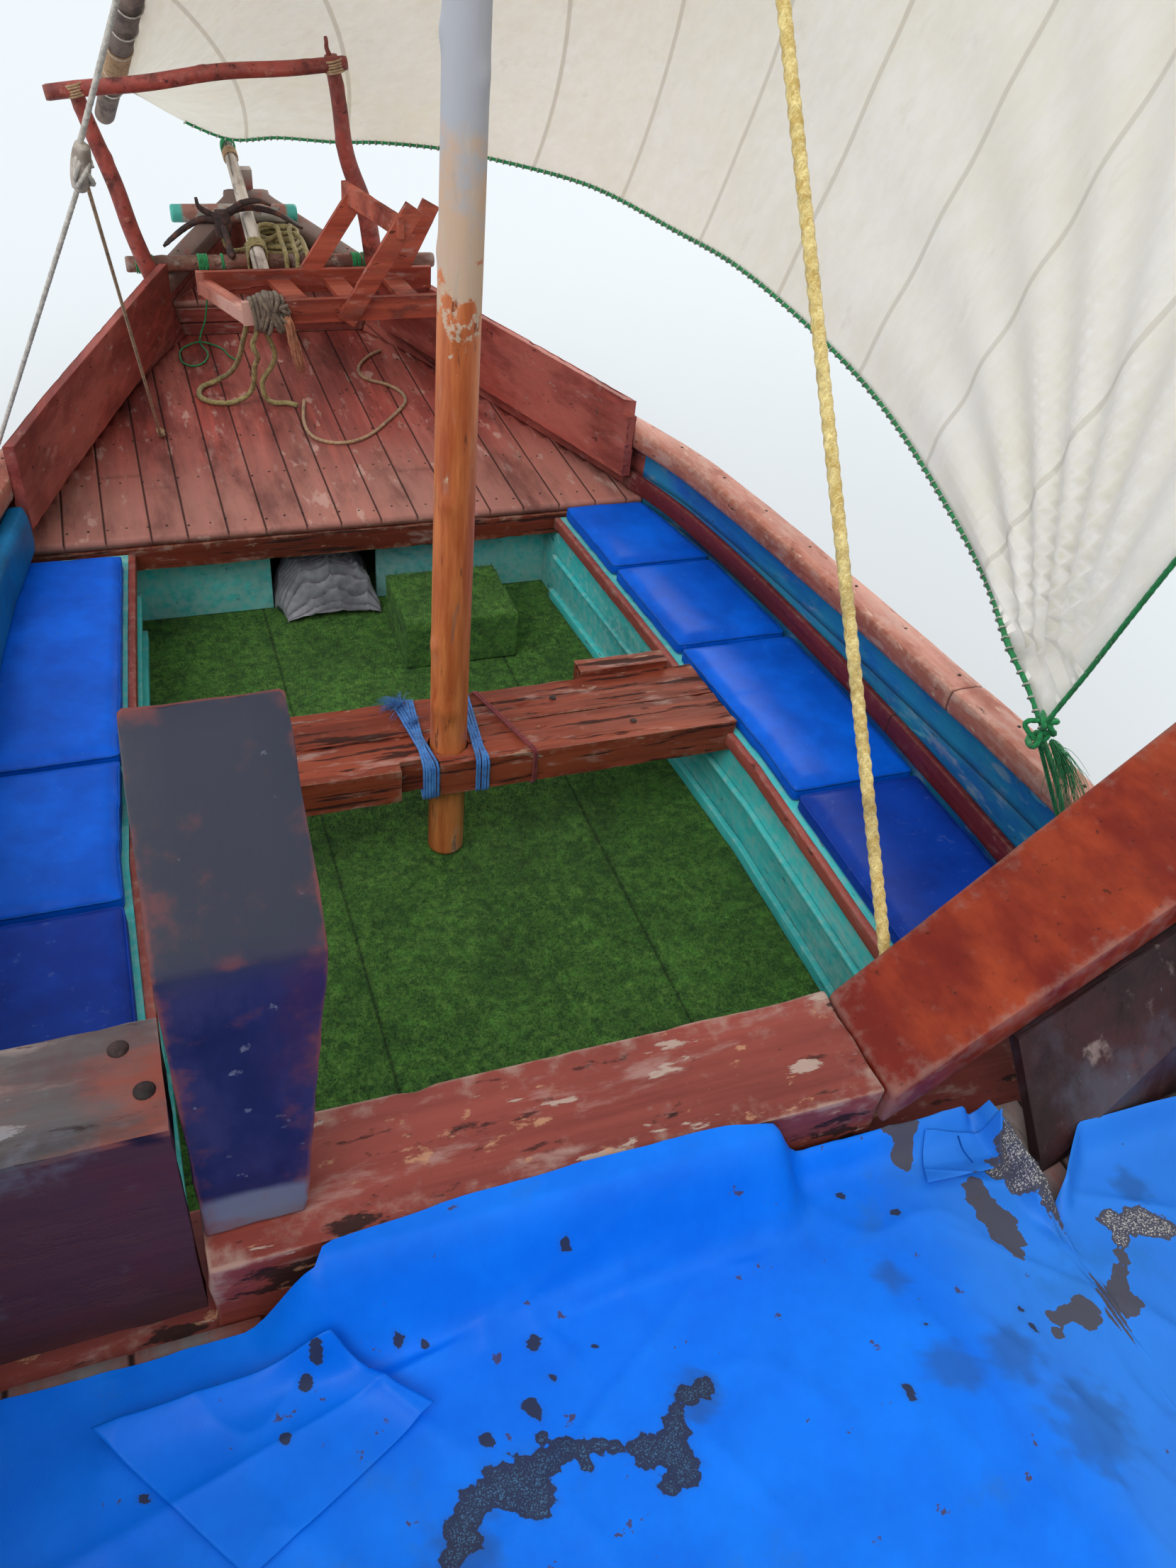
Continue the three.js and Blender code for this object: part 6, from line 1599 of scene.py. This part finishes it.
# %% Tarp
TARP_X, TARP_AFT, NOTCH, BEAM_RISE = (-1.330, 1.110), -4.700, (0.318, -2.585), 0.1492
FRONT_X = [-1.33, -0.838, -0.822, -0.62, -0.36, -0.19, -0.13, -0.10, 0.28, 0.302, 0.318, 0.44, 1.11]
FRONT_Y = [-2.392, -2.398, -2.372, -2.358, -2.354, -2.360, -2.374, -2.380, -2.384, -2.40, NOTCH[1], -2.470, -2.474]
LAP_Y = [2.34, 2.452, 2.601, 2.696, 2.783, 2.853, 2.95, 3.018, 4.7]
LAP_X = [-0.039, -0.030, -0.035, -0.016, -0.003, 0.010, 0.020, 0.034, 0.05]


def tarp_height(x, y):
    """Deck or beam height with a soft step, waves, creases that fan out, a lap, and edges that curl up."""
    on_beam = (1 - ease(-0.125, -0.060, x)) * ease(-0.95, -0.83, x) * ease(-2.505, -2.385, y)
    at = np.stack([x, y, 0 * x], -1)
    broad = np.maximum(ripple(at, 0.55, 11), -0.3) * 0.010
    fine = (1 - np.abs(ripple(at * [1, 0.8, 1], 0.30, 12))) ** 6 * 0.006
    fan = (1 - np.abs(np.sin(np.arctan2(y + 2.35, x + 0.05) * 9 + 1.0))) ** 8 * 0.006 * ease(
        0.1, 0.5, np.hypot(x + 0.05, y + 2.35))
    crease = np.exp(-((y + 2.52 - 0.10 * (x + 0.8)) / 0.012) ** 2) * 0.008 * ease(-0.85, -0.7, x) * (
        1 - ease(-0.45, -0.2, x))
    lap_x = np.interp(-y, LAP_Y, LAP_X)
    lap = ease(-0.003, 0.003, x - lap_x) * (1 - ease(0.05, 0.06, x - lap_x)) * 0.0026
    front = np.interp(x, FRONT_X, FRONT_Y)
    lip = 0.046 * np.exp(-((y - front) / 0.026) ** 2) * ease(-0.12, -0.06, x) * (1 - ease(0.26, 0.29, x))
    curl = 0.075 * np.exp(-((x - 0.302) / 0.013) ** 2) * ease(-2.60, -2.55, y)
    roll = 0.050 * np.exp(-((y - front - 0.004) / 0.030) ** 2) * ease(0.318, 0.36, x) * (1 - ease(0.62, 0.9, x) * 0.6)
    free = 0.35 + 0.65 * (1 - on_beam)
    folds = (broad + fine + fan + crease + 0.004) * free
    return POOP_Z + 0.0022 + BEAM_RISE * on_beam + folds + lap + lip + curl + roll


def blots(x, y, spots, seed):
    """How far a place lies inside any of the spots (x, y, radius, in mm): 1 inside, 0 outside, ragged rims."""
    at = np.stack([x, y, 0 * x], -1)
    wander = ripple(at, 0.05, seed) * 0.35 + ripple(at, 0.018, seed + 1) * 0.25
    sx, sy, radius = np.array(spots).T / 1000
    far = np.min(np.hypot(x[..., None] - sx, y[..., None] - sy) / radius, axis=-1)
    return 1 - ease(0.55, 1.35, far + wander)


LONG_STAIN = [(-735, -2751, 19), (-719, -2735, 26), (-702, -2718, 24), (-692, -2702, 24), (-665, -2694, 26),
    (-634, -2695, 29), (-612, -2705, 33), (-623, -2728, 29), (-649, -2713, 21), (-593, -2685, 21),
    (-584, -2658, 12), (-579, -2690, 19), (-560, -2681, 17), (-536, -2689, 14), (-538, -2707, 11),
    (-515, -2692, 12), (-492, -2698, 11), (-471, -2707, 13), (-454, -2721, 24), (-429, -2726, 31),
    (-414, -2746, 26), (-407, -2760, 14), (-407, -2702, 21), (-395, -2685, 16), (-373, -2666, 17),
    (-344, -2664, 16), (-436, -2765, 17)]
GREASE = LONG_STAIN + [(-659, -2637, 11), (-585, -2612, 13), (-578, -2630, 6), (-554, -2525, 12),
    (-741, -2478, 10), (-705, -2490, 7), (-547, -2584, 6), (-475, -2559, 5), (-855, -2475, 9), (-483, -2440, 7),
    (-877, -2500, 10), (-913, -2560, 10), (-1095, -2575, 9), (-1, -2453, 9), (73, -2502, 8), (169, -2706, 7),
    (16, -2680, 6), (170, -2738, 6), (-27, -2703, 6), (-64, -2763, 10), (430, -3100, 32), (-700, -3400, 24),
    (500, -3700, 40), (-200, -4100, 28)]
SPARKLE = [(309, -2435, 18), (304, -2464, 24), (305, -2490, 28), (274, -2485, 18), (300, -2523, 24),
    (304, -2544, 18), (308, -2566, 14), (407, -2620, 18), (423, -2633, 22), (448, -2640, 26), (474, -2644, 26),
    (493, -2662, 24), (401, -2657, 14)]
GRIT = SPARKLE + [(226, -2501, 20), (218, -2523, 21), (222, -2548, 25), (227, -2574, 28), (222, -2596, 20),
    (237, -2604, 14), (225, -2627, 11), (382, -2679, 13), (364, -2700, 12), (346, -2720, 16), (323, -2735, 24),
    (337, -2746, 24), (312, -2754, 20), (265, -2735, 22), (264, -2750, 20), (239, -2734, 16), (212, -2732, 12),
    (202, -2752, 11), (135, -2384, 28), (132, -2418, 22)]
SOOT = [(489, -2577, 30), (118, -2763, 42), (10, -2745, 34), (35, -2765, 26), (2, -2595, 26), (170, -2884, 60),
    (-720, -2760, 45), (-360, -2670, 35)]


def tarp_marks(x, y, weight=1.0):
    """Where the tarp is stained: grease, grit with bright specks in it, and soft soot."""
    shown = {"grease": blots(x, y, GREASE, 21), "grit": blots(x, y, GRIT, 31) * weight,
             "speck": blots(x, y, SPARKLE, 31) * 0.9 * weight - 0.55,
             "weave_speck": blots(x, y, LONG_STAIN, 21) * 0.9 - 0.6, "soot": blots(x, y, SOOT, 41)}
    return {key: np.tile(value.ravel(), 2) for key, value in shown.items()}


tarp_u = np.unique(np.concatenate([steps(TARP_X[0], -0.78, 38), steps(-0.78, -0.30, 54), steps(-0.30, 0.10, 28),
                                   steps(0.10, 0.52, 56), steps(0.52, TARP_X[1], 32)]))
front_y = np.interp(tarp_u, FRONT_X, FRONT_Y) + ripple(np.stack([tarp_u, 0 * tarp_u, 0 * tarp_u], -1), 0.2, 4) * 0.003
share = steps(0, 1, 212) ** 1.6
tx = np.broadcast_to(tarp_u[:, None], (len(tarp_u), len(share)))
ty = front_y[:, None] * (1 - share) + (TARP_AFT + 0.015 * np.sin(tarp_u * 9))[:, None] * share
tz = tarp_height(tx, ty)
CLOTH_THICK = 0.0016
tarp_top = np.stack([tx, ty, tz + CLOTH_THICK], -1)
finish("tarp_blue", "#0268e2", "#0a80fb", 3.0, (1, 1, 1), [
    # Greyer to starboard of x 0.02: a painted reflection, the sky's sheen on the glossy plastic.
    ("patch", "#0554b8", 0.5, 0.45, -0.2, 1.6, 0.36, 0.16), ("line", "#3f7fc0", 0.45, 0.5, 0.0, (1, 0, 0), 0.02, 0.20,
                                                            0.30, 2.5),
    ("patch", "#2b6cb0", 0.5, 0.6, 0.0, 5.0, 0.20, 0.08), ("patch", "#4a3b3a", 0.85, 0.6, -0.2, 22.0, 0.10, 0.012),
    ("mark", "#2a4a72", 0.5, 0.6, 0.0, "soot"), ("mark", "#24518f", 0.5, 0.5, 0.0, "grease"),
    ("stain", "#2d2f3c", 0.93, 0.6, -0.1, "grease", 1.2, 90),
    ("stain", "#4d7fa6", 0.6, 0.6, 0.0, "weave_speck", 3.2, 420),
    ("stain", "#4f4c50", 0.96, 0.95, 0.3, "grit", 1.0, 90), ("stain", "#c9c5bd", 0.85, 0.9, 0.6, "speck", 3.0, 330),
    ("weave", "#0f57c4", 0.0, 0.5, 0.3, 300)], (0.32, 0.46), (0.3, 0.0009), Specular_IOR_Level=0.16)
tarp = build("tarp_sheet", closed_sheet(tarp_top, np.stack([tx, ty, tz], -1)), "tarp_blue", "hull", ["poop_tarp"],
             uv=np.concatenate([tarp_top[..., :2]] * 2), marks=tarp_marks(tx, ty))


def patch_sheet(name, corners, lift):
    """A four-cornered layer lying on the tarp: bilinear between its corners, lift(u, v) above the tarp."""
    a, b, c, d = np.array(corners)
    u, v = (share[..., None] for share in np.meshgrid(steps(0, 1, 60), steps(0, 1, 60), indexing="ij"))
    xy = (1 - u) * (1 - v) * a + u * (1 - v) * b + u * v * c + (1 - u) * v * d
    low = np.concatenate([xy, tarp_height(*np.split(xy, 2, -1)) + lift(u, v)], -1)
    top = low + [0, 0, CLOTH_THICK]
    piece = build(name, closed_sheet(top, low), "tarp_blue", uv=np.concatenate([xy, xy]),
                  marks=tarp_marks(xy[..., 0], xy[..., 1], 0.6))


patch_sheet("tarp_flap", [(-1.148, -2.474), (-0.832, -2.466), (-0.715, -2.575), (-0.980, -2.705)],
            lambda u, v: 0.008 + 0.022 * np.exp(-(v / 0.16) ** 2) + 0.016 * np.exp(-((1 - u) / 0.13) ** 2))
patch_sheet("tarp_tab", [(0.180, -2.400), (0.300, -2.425), (0.282, -2.492), (0.142, -2.478)],
            lambda u, v: 0.006 + 0.010 * ease(0.55, 1.0, v) + 0.006 * u)
rope("tab_slit", [(0.232, -2.424, 1.588), (0.224, -2.450, 1.590), (0.222, -2.478, 1.596)], 0.0035, "piping",
     sides=6)
print("tarp flap and tab")

# %% Cloth stuffed in the locker
cu, cv = np.meshgrid(steps(0, 1, 110), steps(0, 1, 120), indexing="ij")
cx = -0.350 + 0.450 * cu + 0.02 * np.sin(cv * 7 + 1)
cy = 1.595 + 0.390 * cv
arch = np.sin(cu * math.pi).clip(0) ** 0.45 * np.where(cv < 0.25, ease(0, 0.25, cv) * 0.85 + 0.15, 1.0) * (
    1 - 0.25 * ease(0.6, 1, cv))
cz = 0.1035 + 0.262 * arch
cat = np.stack([cx, cy, cz], -1)
across = 17 * (cv - 0.30 * cu + 0.26 * cu * cu) + 1.1 * ripple(cat, 0.26, 30)
crush = 0.030 * np.abs(np.sin(math.pi * across)) ** 0.7
crush = crush + 0.010 * np.abs(np.sin(math.pi * (1.9 * across + 1.3 * ripple(cat, 0.12, 31)))) ** 0.8
crush = crush + 0.030 * (1 - np.abs(ripple(cat, 0.16, 32))) ** 4
cz = np.clip(cz + (crush - 0.048) * np.minimum(arch * 1.5, 1), 0.103, 0.398)
# Darker in the fold hollows and where the cloth is crushed low: painted shade in the creases, carried by the seam
# mark.
fold_shade = (1 - np.abs(np.sin(math.pi * across))) ** 2.2 + 0.4 * (1 - crush / crush.max()) ** 4
cloth_top = np.stack([cx + 0.012 * ripple(cat, 0.15, 40), cy, cz], -1)
finish("grey_cloth", "#6d6c73", "#a5a4aa", 9, (1, 1, 1), [
    # On this cloth the dark seam mark is the painted shade in its fold hollows.
    ("mark", "#2c2b30", 0.75, 0.95, 0.0, "seam_and_fold_shade"), ("patch", "#4b4a50", 0.5, 0.95, -0.2, 3.0, 0.3, 0.1),
    ("weave", "#6f6e75", 0.0, 0.9, 0.4, 500)], (0.85, 0.95), (0.4, 0.0012), Sheen_Weight=0.25)
bundle = build("locker_cloth", closed_sheet(cloth_top, cloth_top - [0, 0, 0.0025]), "grey_cloth", "hull",
               ["cloth_bundle"], uv=np.concatenate([np.stack([cx, cy], -1)] * 2),
               marks={"seam_and_fold_shade": np.concatenate([fold_shade, fold_shade])})

# %% [markdown]
# ## Lashings, tassels and bolts
# Most joints on such a boat are rope. A lashing is a path that goes round a rounded box again and again
# and creeps along the timber by one rope's width a turn. A frayed end is a bunch of thin strands that
# spread from one point under their own weight.

# %% Lashings
def lashing(name, at, axis, across, width, depth, turns, diameter, material, body="hull", corner=0.02, creep=1.02,
            seed=1, sides=9, slack=0.0):
    """Rope wound round a rounded box at a point: axis runs along the timber, across is the box's width."""
    own = np.random.default_rng(seed)
    axis, across = unit(np.array(axis, float)), unit(np.array(across, float))
    up = np.cross(axis, across)
    loop = with_sides(rounded_box(width + diameter, depth + diameter, corner + diameter / 2, 4), diameter * 1.6)
    count = len(loop)
    loops = np.tile(loop, (turns, 1))
    run = np.arange(len(loops)) / count
    sway = ripple(np.stack([run * 0.3, 0 * run, 0 * run], -1), 0.5, seed) * diameter * 0.25
    shift = (run - turns / 2) * diameter * creep + sway
    puff_out = 1 + slack * own.uniform(0, 1, turns)[np.minimum(run.astype(int), turns - 1)]
    path = (np.asarray(at, float) + axis * shift[:, None] + across * loops[:, :1] * puff_out[:, None]
            + up * loops[:, 1:] * puff_out[:, None])
    rope(name, path, diameter, material, body, sides=sides, steps_per_lay=6)


def tassel(name, at, way, length, spread, strands, thick, material, body="hull", seed=1, sag=0.4, bunch=0.003):
    """Thin three-sided strands from one point: each leaves near way and falls under gravity."""
    own = np.random.default_rng(seed)
    way = unit(np.array(way, float))
    heading = unit(way + own.normal(size=(strands, 3)) * spread)
    long = length * own.uniform(0.55, 1.0, strands)
    t = steps(0, 1, 9)
    path = (np.asarray(at, float) + heading[:, None] * (t[:, None] * long[:, None, None])
            + np.array([0, 0, -1.0]) * (t**2)[:, None] * (long * sag)[:, None, None]
            + own.normal(size=(strands, 1, 3)) * bunch)
    path = path + np.sin(t * 9)[:, None] * own.normal(size=(strands, 1, 3)) * thick * 1.5
    turn = np.array([0, 2.1, 4.2])
    side = unit(np.cross(heading, [0.3, 0.2, 0.9]))
    up = np.cross(heading, side)
    r = thick / 2 * (1 - 0.5 * t)
    ring = path[:, :, None] + r[:, None, None] * (np.cos(turn)[:, None] * side[:, None, None]
                                                  + np.sin(turn)[:, None] * up[:, None, None])
    index = np.arange(strands * 27).reshape(strands, 9, 3)
    quads = np.stack([index[:, :-1], index[:, 1:], np.roll(index[:, 1:], -1, 2), np.roll(index[:, :-1], -1, 2)], -1)
    ends = np.concatenate([index[:, 0, ::-1], index[:, -1]])
    build(name, (ring, [quads.reshape(-1, 4), ends]), material, body)


BEAM_MID = (0.055, 0.5275)
for k, (x, turns, slant) in enumerate(((-0.102, 4, 0.10), (-0.090, 3, -0.08), (0.110, 4, -0.10), (0.098, 2, 0.06))):
    lashing(f"thwart_lashing_{k}", (x, *BEAM_MID), (1, slant, 0), (-slant, 1, 0), 0.392, 0.146, turns, 0.010,
            "rope_blue", seed=3 + k)
lashing("thwart_red_cord", (0.230, *BEAM_MID), (1, 0.30, 0), (-0.30, 1, 0), 0.405, 0.148, 2, 0.010, "rope_red",
        seed=9)
tassel("blue_tuft", (-0.115, 0.205, 0.606), (-0.5, 0.3, 0.8), 0.13, 0.55, 150, 0.0018, "rope_blue", seed=7,
       sag=0.6)
tassel("blue_tuft_low", (-0.085, 0.10, 0.612), (-0.6, 0.1, 0.3), 0.07, 0.6, 60, 0.0018, "rope_blue", seed=8,
       sag=0.6)
CATBEAM = [(-0.690, 6, 0.008, "green"), (-0.630, 3, 0.007, "green"), (-0.372, 5, 0.008, "green"),
           (-0.348, 3, 0.007, "green"), (-0.262, 2, 0.008, "green"), (0.470, 7, 0.007, "green"),
           (0.520, 5, 0.006, "green"), (0.640, 8, 0.013, "olive")]
for k, (x, turns, thick, colour) in enumerate(CATBEAM):
    lashing(f"catbeam_lashing_{k}", (x, CATBEAM_Y, CATBEAM_Z), (1, 0, 0), (0, 1, 0), 0.082, 0.082, turns, thick,
            "rope_" + colour, corner=0.040, seed=20 + k)
ALONG_SPRIT = (0.01, 1, BOWSPRIT_RISE)
LASHINGS = [  # name, place, along, across, width, depth, turns, thickness, corner, colour
    ("bowsprit_lashing", (-0.078, 3.80, 1.035), (0.02, 1, 0.19), (1, 0, 0), 0.086, 0.165, 6, 0.013, 0.040, "olive"),
    ("bowsprit_cross", (-0.078, 3.831, 1.035), (1, 0, 0), (0, 1, 0.1), 0.092, 0.165, 5, 0.013, 0.042, "olive"),
    ("stem_lashing", (-0.064, 4.86, spr_z(4.86)), ALONG_SPRIT, (1, 0, 0), 0.066, 0.066, 6, 0.012, 0.032, "tan"),
    ("frame_tie_stbd", (0.362, 3.71, 1.985), (0.25, 0, -1), (1, 0, 0.2), 0.078, 0.110, 5, 0.012, 0.034, "tan"),
    ("frame_tie_port", (-0.880, 3.713, 1.848), (0.3, 0, -1), (1, 0, 0.2), 0.078, 0.105, 5, 0.012, 0.034, "tan"),
]
for k, (name, at, along, across, wide, deep, turns, thick, corner, colour) in enumerate(LASHINGS):
    lashing(name, at, along, across, wide, deep, turns, thick, "rope_" + colour, corner=corner, seed=30 + k)
for k, (x, lean, wide, deep, turns, thick) in enumerate((
        (-0.185, 0.10, 0.038, 0.116, 6, 0.022), (-0.170, -0.35, 0.066, 0.130, 3, 0.024),
        (-0.150, 0.45, 0.070, 0.136, 2, 0.024), (-0.115, -0.10, 0.040, 0.118, 2, 0.020))):
    lashing(f"ladder_lump_{k}", (x, 2.755, 1.1135), (1, 0.045, lean), (0, 1, 0), wide, deep, turns, thick,
            "rope_brown", corner=0.016, seed=35 + k, slack=0.22)
knot("ladder_knot", (-0.098, 2.722, 1.118), 0.030, 0.020, "rope_brown", turns=5, seed=39, squash=(0.8, 0.8, 1.3))
tassel("orange_tail", (-0.088, 2.712, 1.095), (0.24, -0.02, -0.97), 0.245, 0.035, 300, 0.0030, "rope_orange",
       seed=37, sag=0.15, bunch=0.0085)
lashing("tack_lashing", (-0.063, 4.955, spr_z(4.955) + 0.005), ALONG_SPRIT, (1, 0, 0), 0.066, 0.085, 5, 0.011,
        "rope_green", corner=0.032, seed=38)
print("lashings and tassels")

# %% [markdown]
# The clew is made fast to the rail by a green rope. The rail stays with the hull while the clew swings with
# the sail; the rope's three legs are left in place, attached to neither.

# %% Clew, its green knot and the rope to the rail
CLEW = middle[-1, 0]
knot("clew_knot", CLEW + [0.0, 0.0, -0.012], 0.034, 0.016, "rope_green", "rig", turns=6, seed=12,
     squash=(1, 1, 1.4))
tassel("clew_tuft", CLEW + [0.02, -0.03, -0.03], (0.5, -0.5, -0.6), 0.20, 0.22, 130, 0.0022, "rope_green", "rig",
       seed=13, sag=0.5)
RAIL_TIE_Y = -1.30
rail_in = float(outer_half(RAIL_TIE_Y, rail_top(RAIL_TIE_Y))) + CAP_OVERHANG - CAP_WIDTH
tie = np.array([rail_in - 0.012, RAIL_TIE_Y, float(rail_top(RAIL_TIE_Y)) - 0.09])
for k, (dx, dy) in enumerate(((0, 0), (0.014, 0.016), (-0.012, 0.022))):
    leg, _ = rope(f"clew_rope_{k}", [tuple(tie + [dx * 0.4, dy * 1.6, 0]), tuple((tie + CLEW) / 2 + [dx, dy, 0]),
                                     tuple(CLEW + [dx * 0.5, dy * 0.5, -0.02])], 0.014, "rope_green", sides=8)
    leg.parent = None
    del leg["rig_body"]
    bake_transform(leg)
lashing("rail_tie", (rail_in + CAP_WIDTH / 2, RAIL_TIE_Y, float(rail_top(RAIL_TIE_Y)) - CAP_THICK / 2), (0, 1, 0),
        (1, 0, 0), CAP_WIDTH, CAP_THICK, 5, 0.014, "rope_green", corner=0.012, seed=39)
knot("rail_tie_knot", tie + [-0.012, 0.0, 0.02], 0.028, 0.014, "rope_green", turns=5, seed=14,
     squash=(0.7, 1, 1.2))
print("clew made fast to the rail")

# %% [markdown]
# Nails and bolts hold the planks. A head is a low dome on a short skirt; hundreds of them are one mesh, in
# rows over each frame, with a little scatter.

# %% Fastenings
def heads(name, at, normal, radius, sides=9):
    """Domed heads at many points, each facing normal: rings at 1, 0.8, 0.4 and 0 of the radius."""
    at, normal = np.atleast_2d(at).astype(float), unit(np.broadcast_to(normal, np.shape(np.atleast_2d(at))))
    side = unit(np.cross(normal, np.where(np.abs(normal[:, 2:]) > 0.9, [[1.0, 0, 0]], [[0, 0, 1.0]])))
    up = np.cross(normal, side)
    turn = full_turn(sides)
    share, lift = np.array([1.0, 1.0, 0.8, 0.4]), np.array([-0.6, 0.10, 0.34, 0.46])
    ring = (at[:, None, None] + normal[:, None, None] * (lift * radius)[:, None, None]
            + (share * radius)[:, None, None] * (np.cos(turn)[:, None] * side[:, None, None]
                                                 + np.sin(turn)[:, None] * up[:, None, None]))
    index = np.arange(ring[..., 0].size).reshape(len(at), 4, sides)
    quads = np.stack([index[:, :-1], np.roll(index[:, :-1], -1, 2), np.roll(index[:, 1:], -1, 2), index[:, 1:]], -1)
    caps = np.concatenate([index[:, -1], index[:, 0, ::-1]])
    build(name, (ring, [quads.reshape(-1, 4), caps]), "iron")


def deck_nails(name, xs, ys, z, level, margin):
    """Nails on a lattice with some scatter, kept clear of the hull's inside at one level by a margin."""
    x, y = (g.ravel() for g in np.meshgrid(xs, ys))
    x, y = x + rng.normal(0, 0.008, x.size), y + rng.normal(0, 0.012, y.size)
    keep = abs(x) < inner_half(y, level) - margin
    heads(name, np.stack([x, y, x * 0 + z], -1)[keep], UP, 0.0055)


deck_nails("foredeck_nails", np.arange(-1.2, 1.21, 0.082), np.arange(1.70, 3.80, 0.42), DECK_Z - 0.0012, 0.58, 0.03)
deck_nails("poop_nails", np.arange(-1.4, 1.41, 0.085), np.arange(-5.8, -2.5, 0.5), POOP_Z - 0.0015, 1.53, 0.05)
rows = []
for z_share in (0.16, 0.30, 0.44, 0.58, 0.72, 0.86):
    ys = np.arange(-5.6, 4.0, 0.36)
    zs = keel_line(ys) + (sheer(ys) - keel_line(ys)) * z_share
    rows.append(np.stack([outer_half(ys, zs), station_y(ys, zs), zs], -1))
plank_nails = np.concatenate(rows)
both = np.concatenate([plank_nails, plank_nails * [-1, 1, 1]])
heads("hull_nails", both, both * [1, 0, 0.25], 0.008)
cap_ys = np.arange(-1.2, 4.2, 0.33)
cap_x, _ = cap_middle(cap_ys)
cap_heads = np.stack([cap_x + 0.02, cap_ys, rail_top(cap_ys) - 0.0005], -1)
heads("cap_nails", np.concatenate([cap_heads, cap_heads * [-1, 1, 1]]), UP, 0.007)
heads("wing_bolts", [(-1.036, -2.20, 1.9965), (-1.010, -2.272, 1.9965)], UP, 0.014, 16)
heads("thwart_bolts", [(x, y, 0.5985) for x, y in ((-0.60, 0.15), (0.45, 0.15), (0.70, -0.05), (-0.75, -0.05))], UP,
      0.013, 14)
print("nails and bolts")

# %% [markdown]
# ## Stage, light and sizes
# The boat floats, so the plain pale floor stands for the water's surface and lies at z = 0. A pale sky
# all round gives soft shade, a broad sun from ahead gives the timbers their form, and a weaker and still
# broader light from the other side keeps the shaded faces readable.

# %% Stage and light
FLOOR_REACH = 140.0
floor_corners = [(x * FLOOR_REACH, y * FLOOR_REACH, 0) for x, y in ((-1, -1), (1, -1), (1, 1), (-1, 1))]
floor = make_mesh("water_level", floor_corners, [[(0, 1, 2, 3)]], smooth=False, merge=False, recalc=False)
floor_finish = bpy.data.materials.new("pale_floor")
floor_finish.use_nodes = True
floor_inputs = floor_finish.node_tree.nodes["Principled BSDF"].inputs
floor_inputs["Base Color"].default_value, floor_inputs["Roughness"].default_value = (0.62, 0.66, 0.68, 1), 0.9
floor.data.materials.append(floor_finish)
floor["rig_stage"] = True
world = bpy.data.worlds.new("sky")
bpy.context.scene.world = world
world.use_nodes = True
sky_inputs = world.node_tree.nodes["Background"].inputs
sky_inputs["Color"].default_value, sky_inputs["Strength"].default_value = (0.86, 0.90, 0.96, 1), 1.0
SUNS = [("sun", 1.7, 25, (1.0, 0.93, 0.82), (0.55, 0.75, 0.42)),
        ("fill", 1.2, 40, (1.0, 0.98, 0.95), (-0.5, -0.5, 0.8))]
for name, energy, width, colour, toward in SUNS:
    lamp = placed(name, bpy.data.lights.new(name, "SUN"))
    lamp.data.energy, lamp.data.angle, lamp.data.color = energy, math.radians(width), colour
    lamp.rotation_euler = Vector(toward).to_track_quat("Z", "Y").to_euler()
bpy.context.scene.view_settings.view_transform = "Standard"

# %% Finish
bpy.context.view_layer.update()
shown = sum(len(o.evaluated_get(bpy.context.evaluated_depsgraph_get()).data.polygons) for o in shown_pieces())
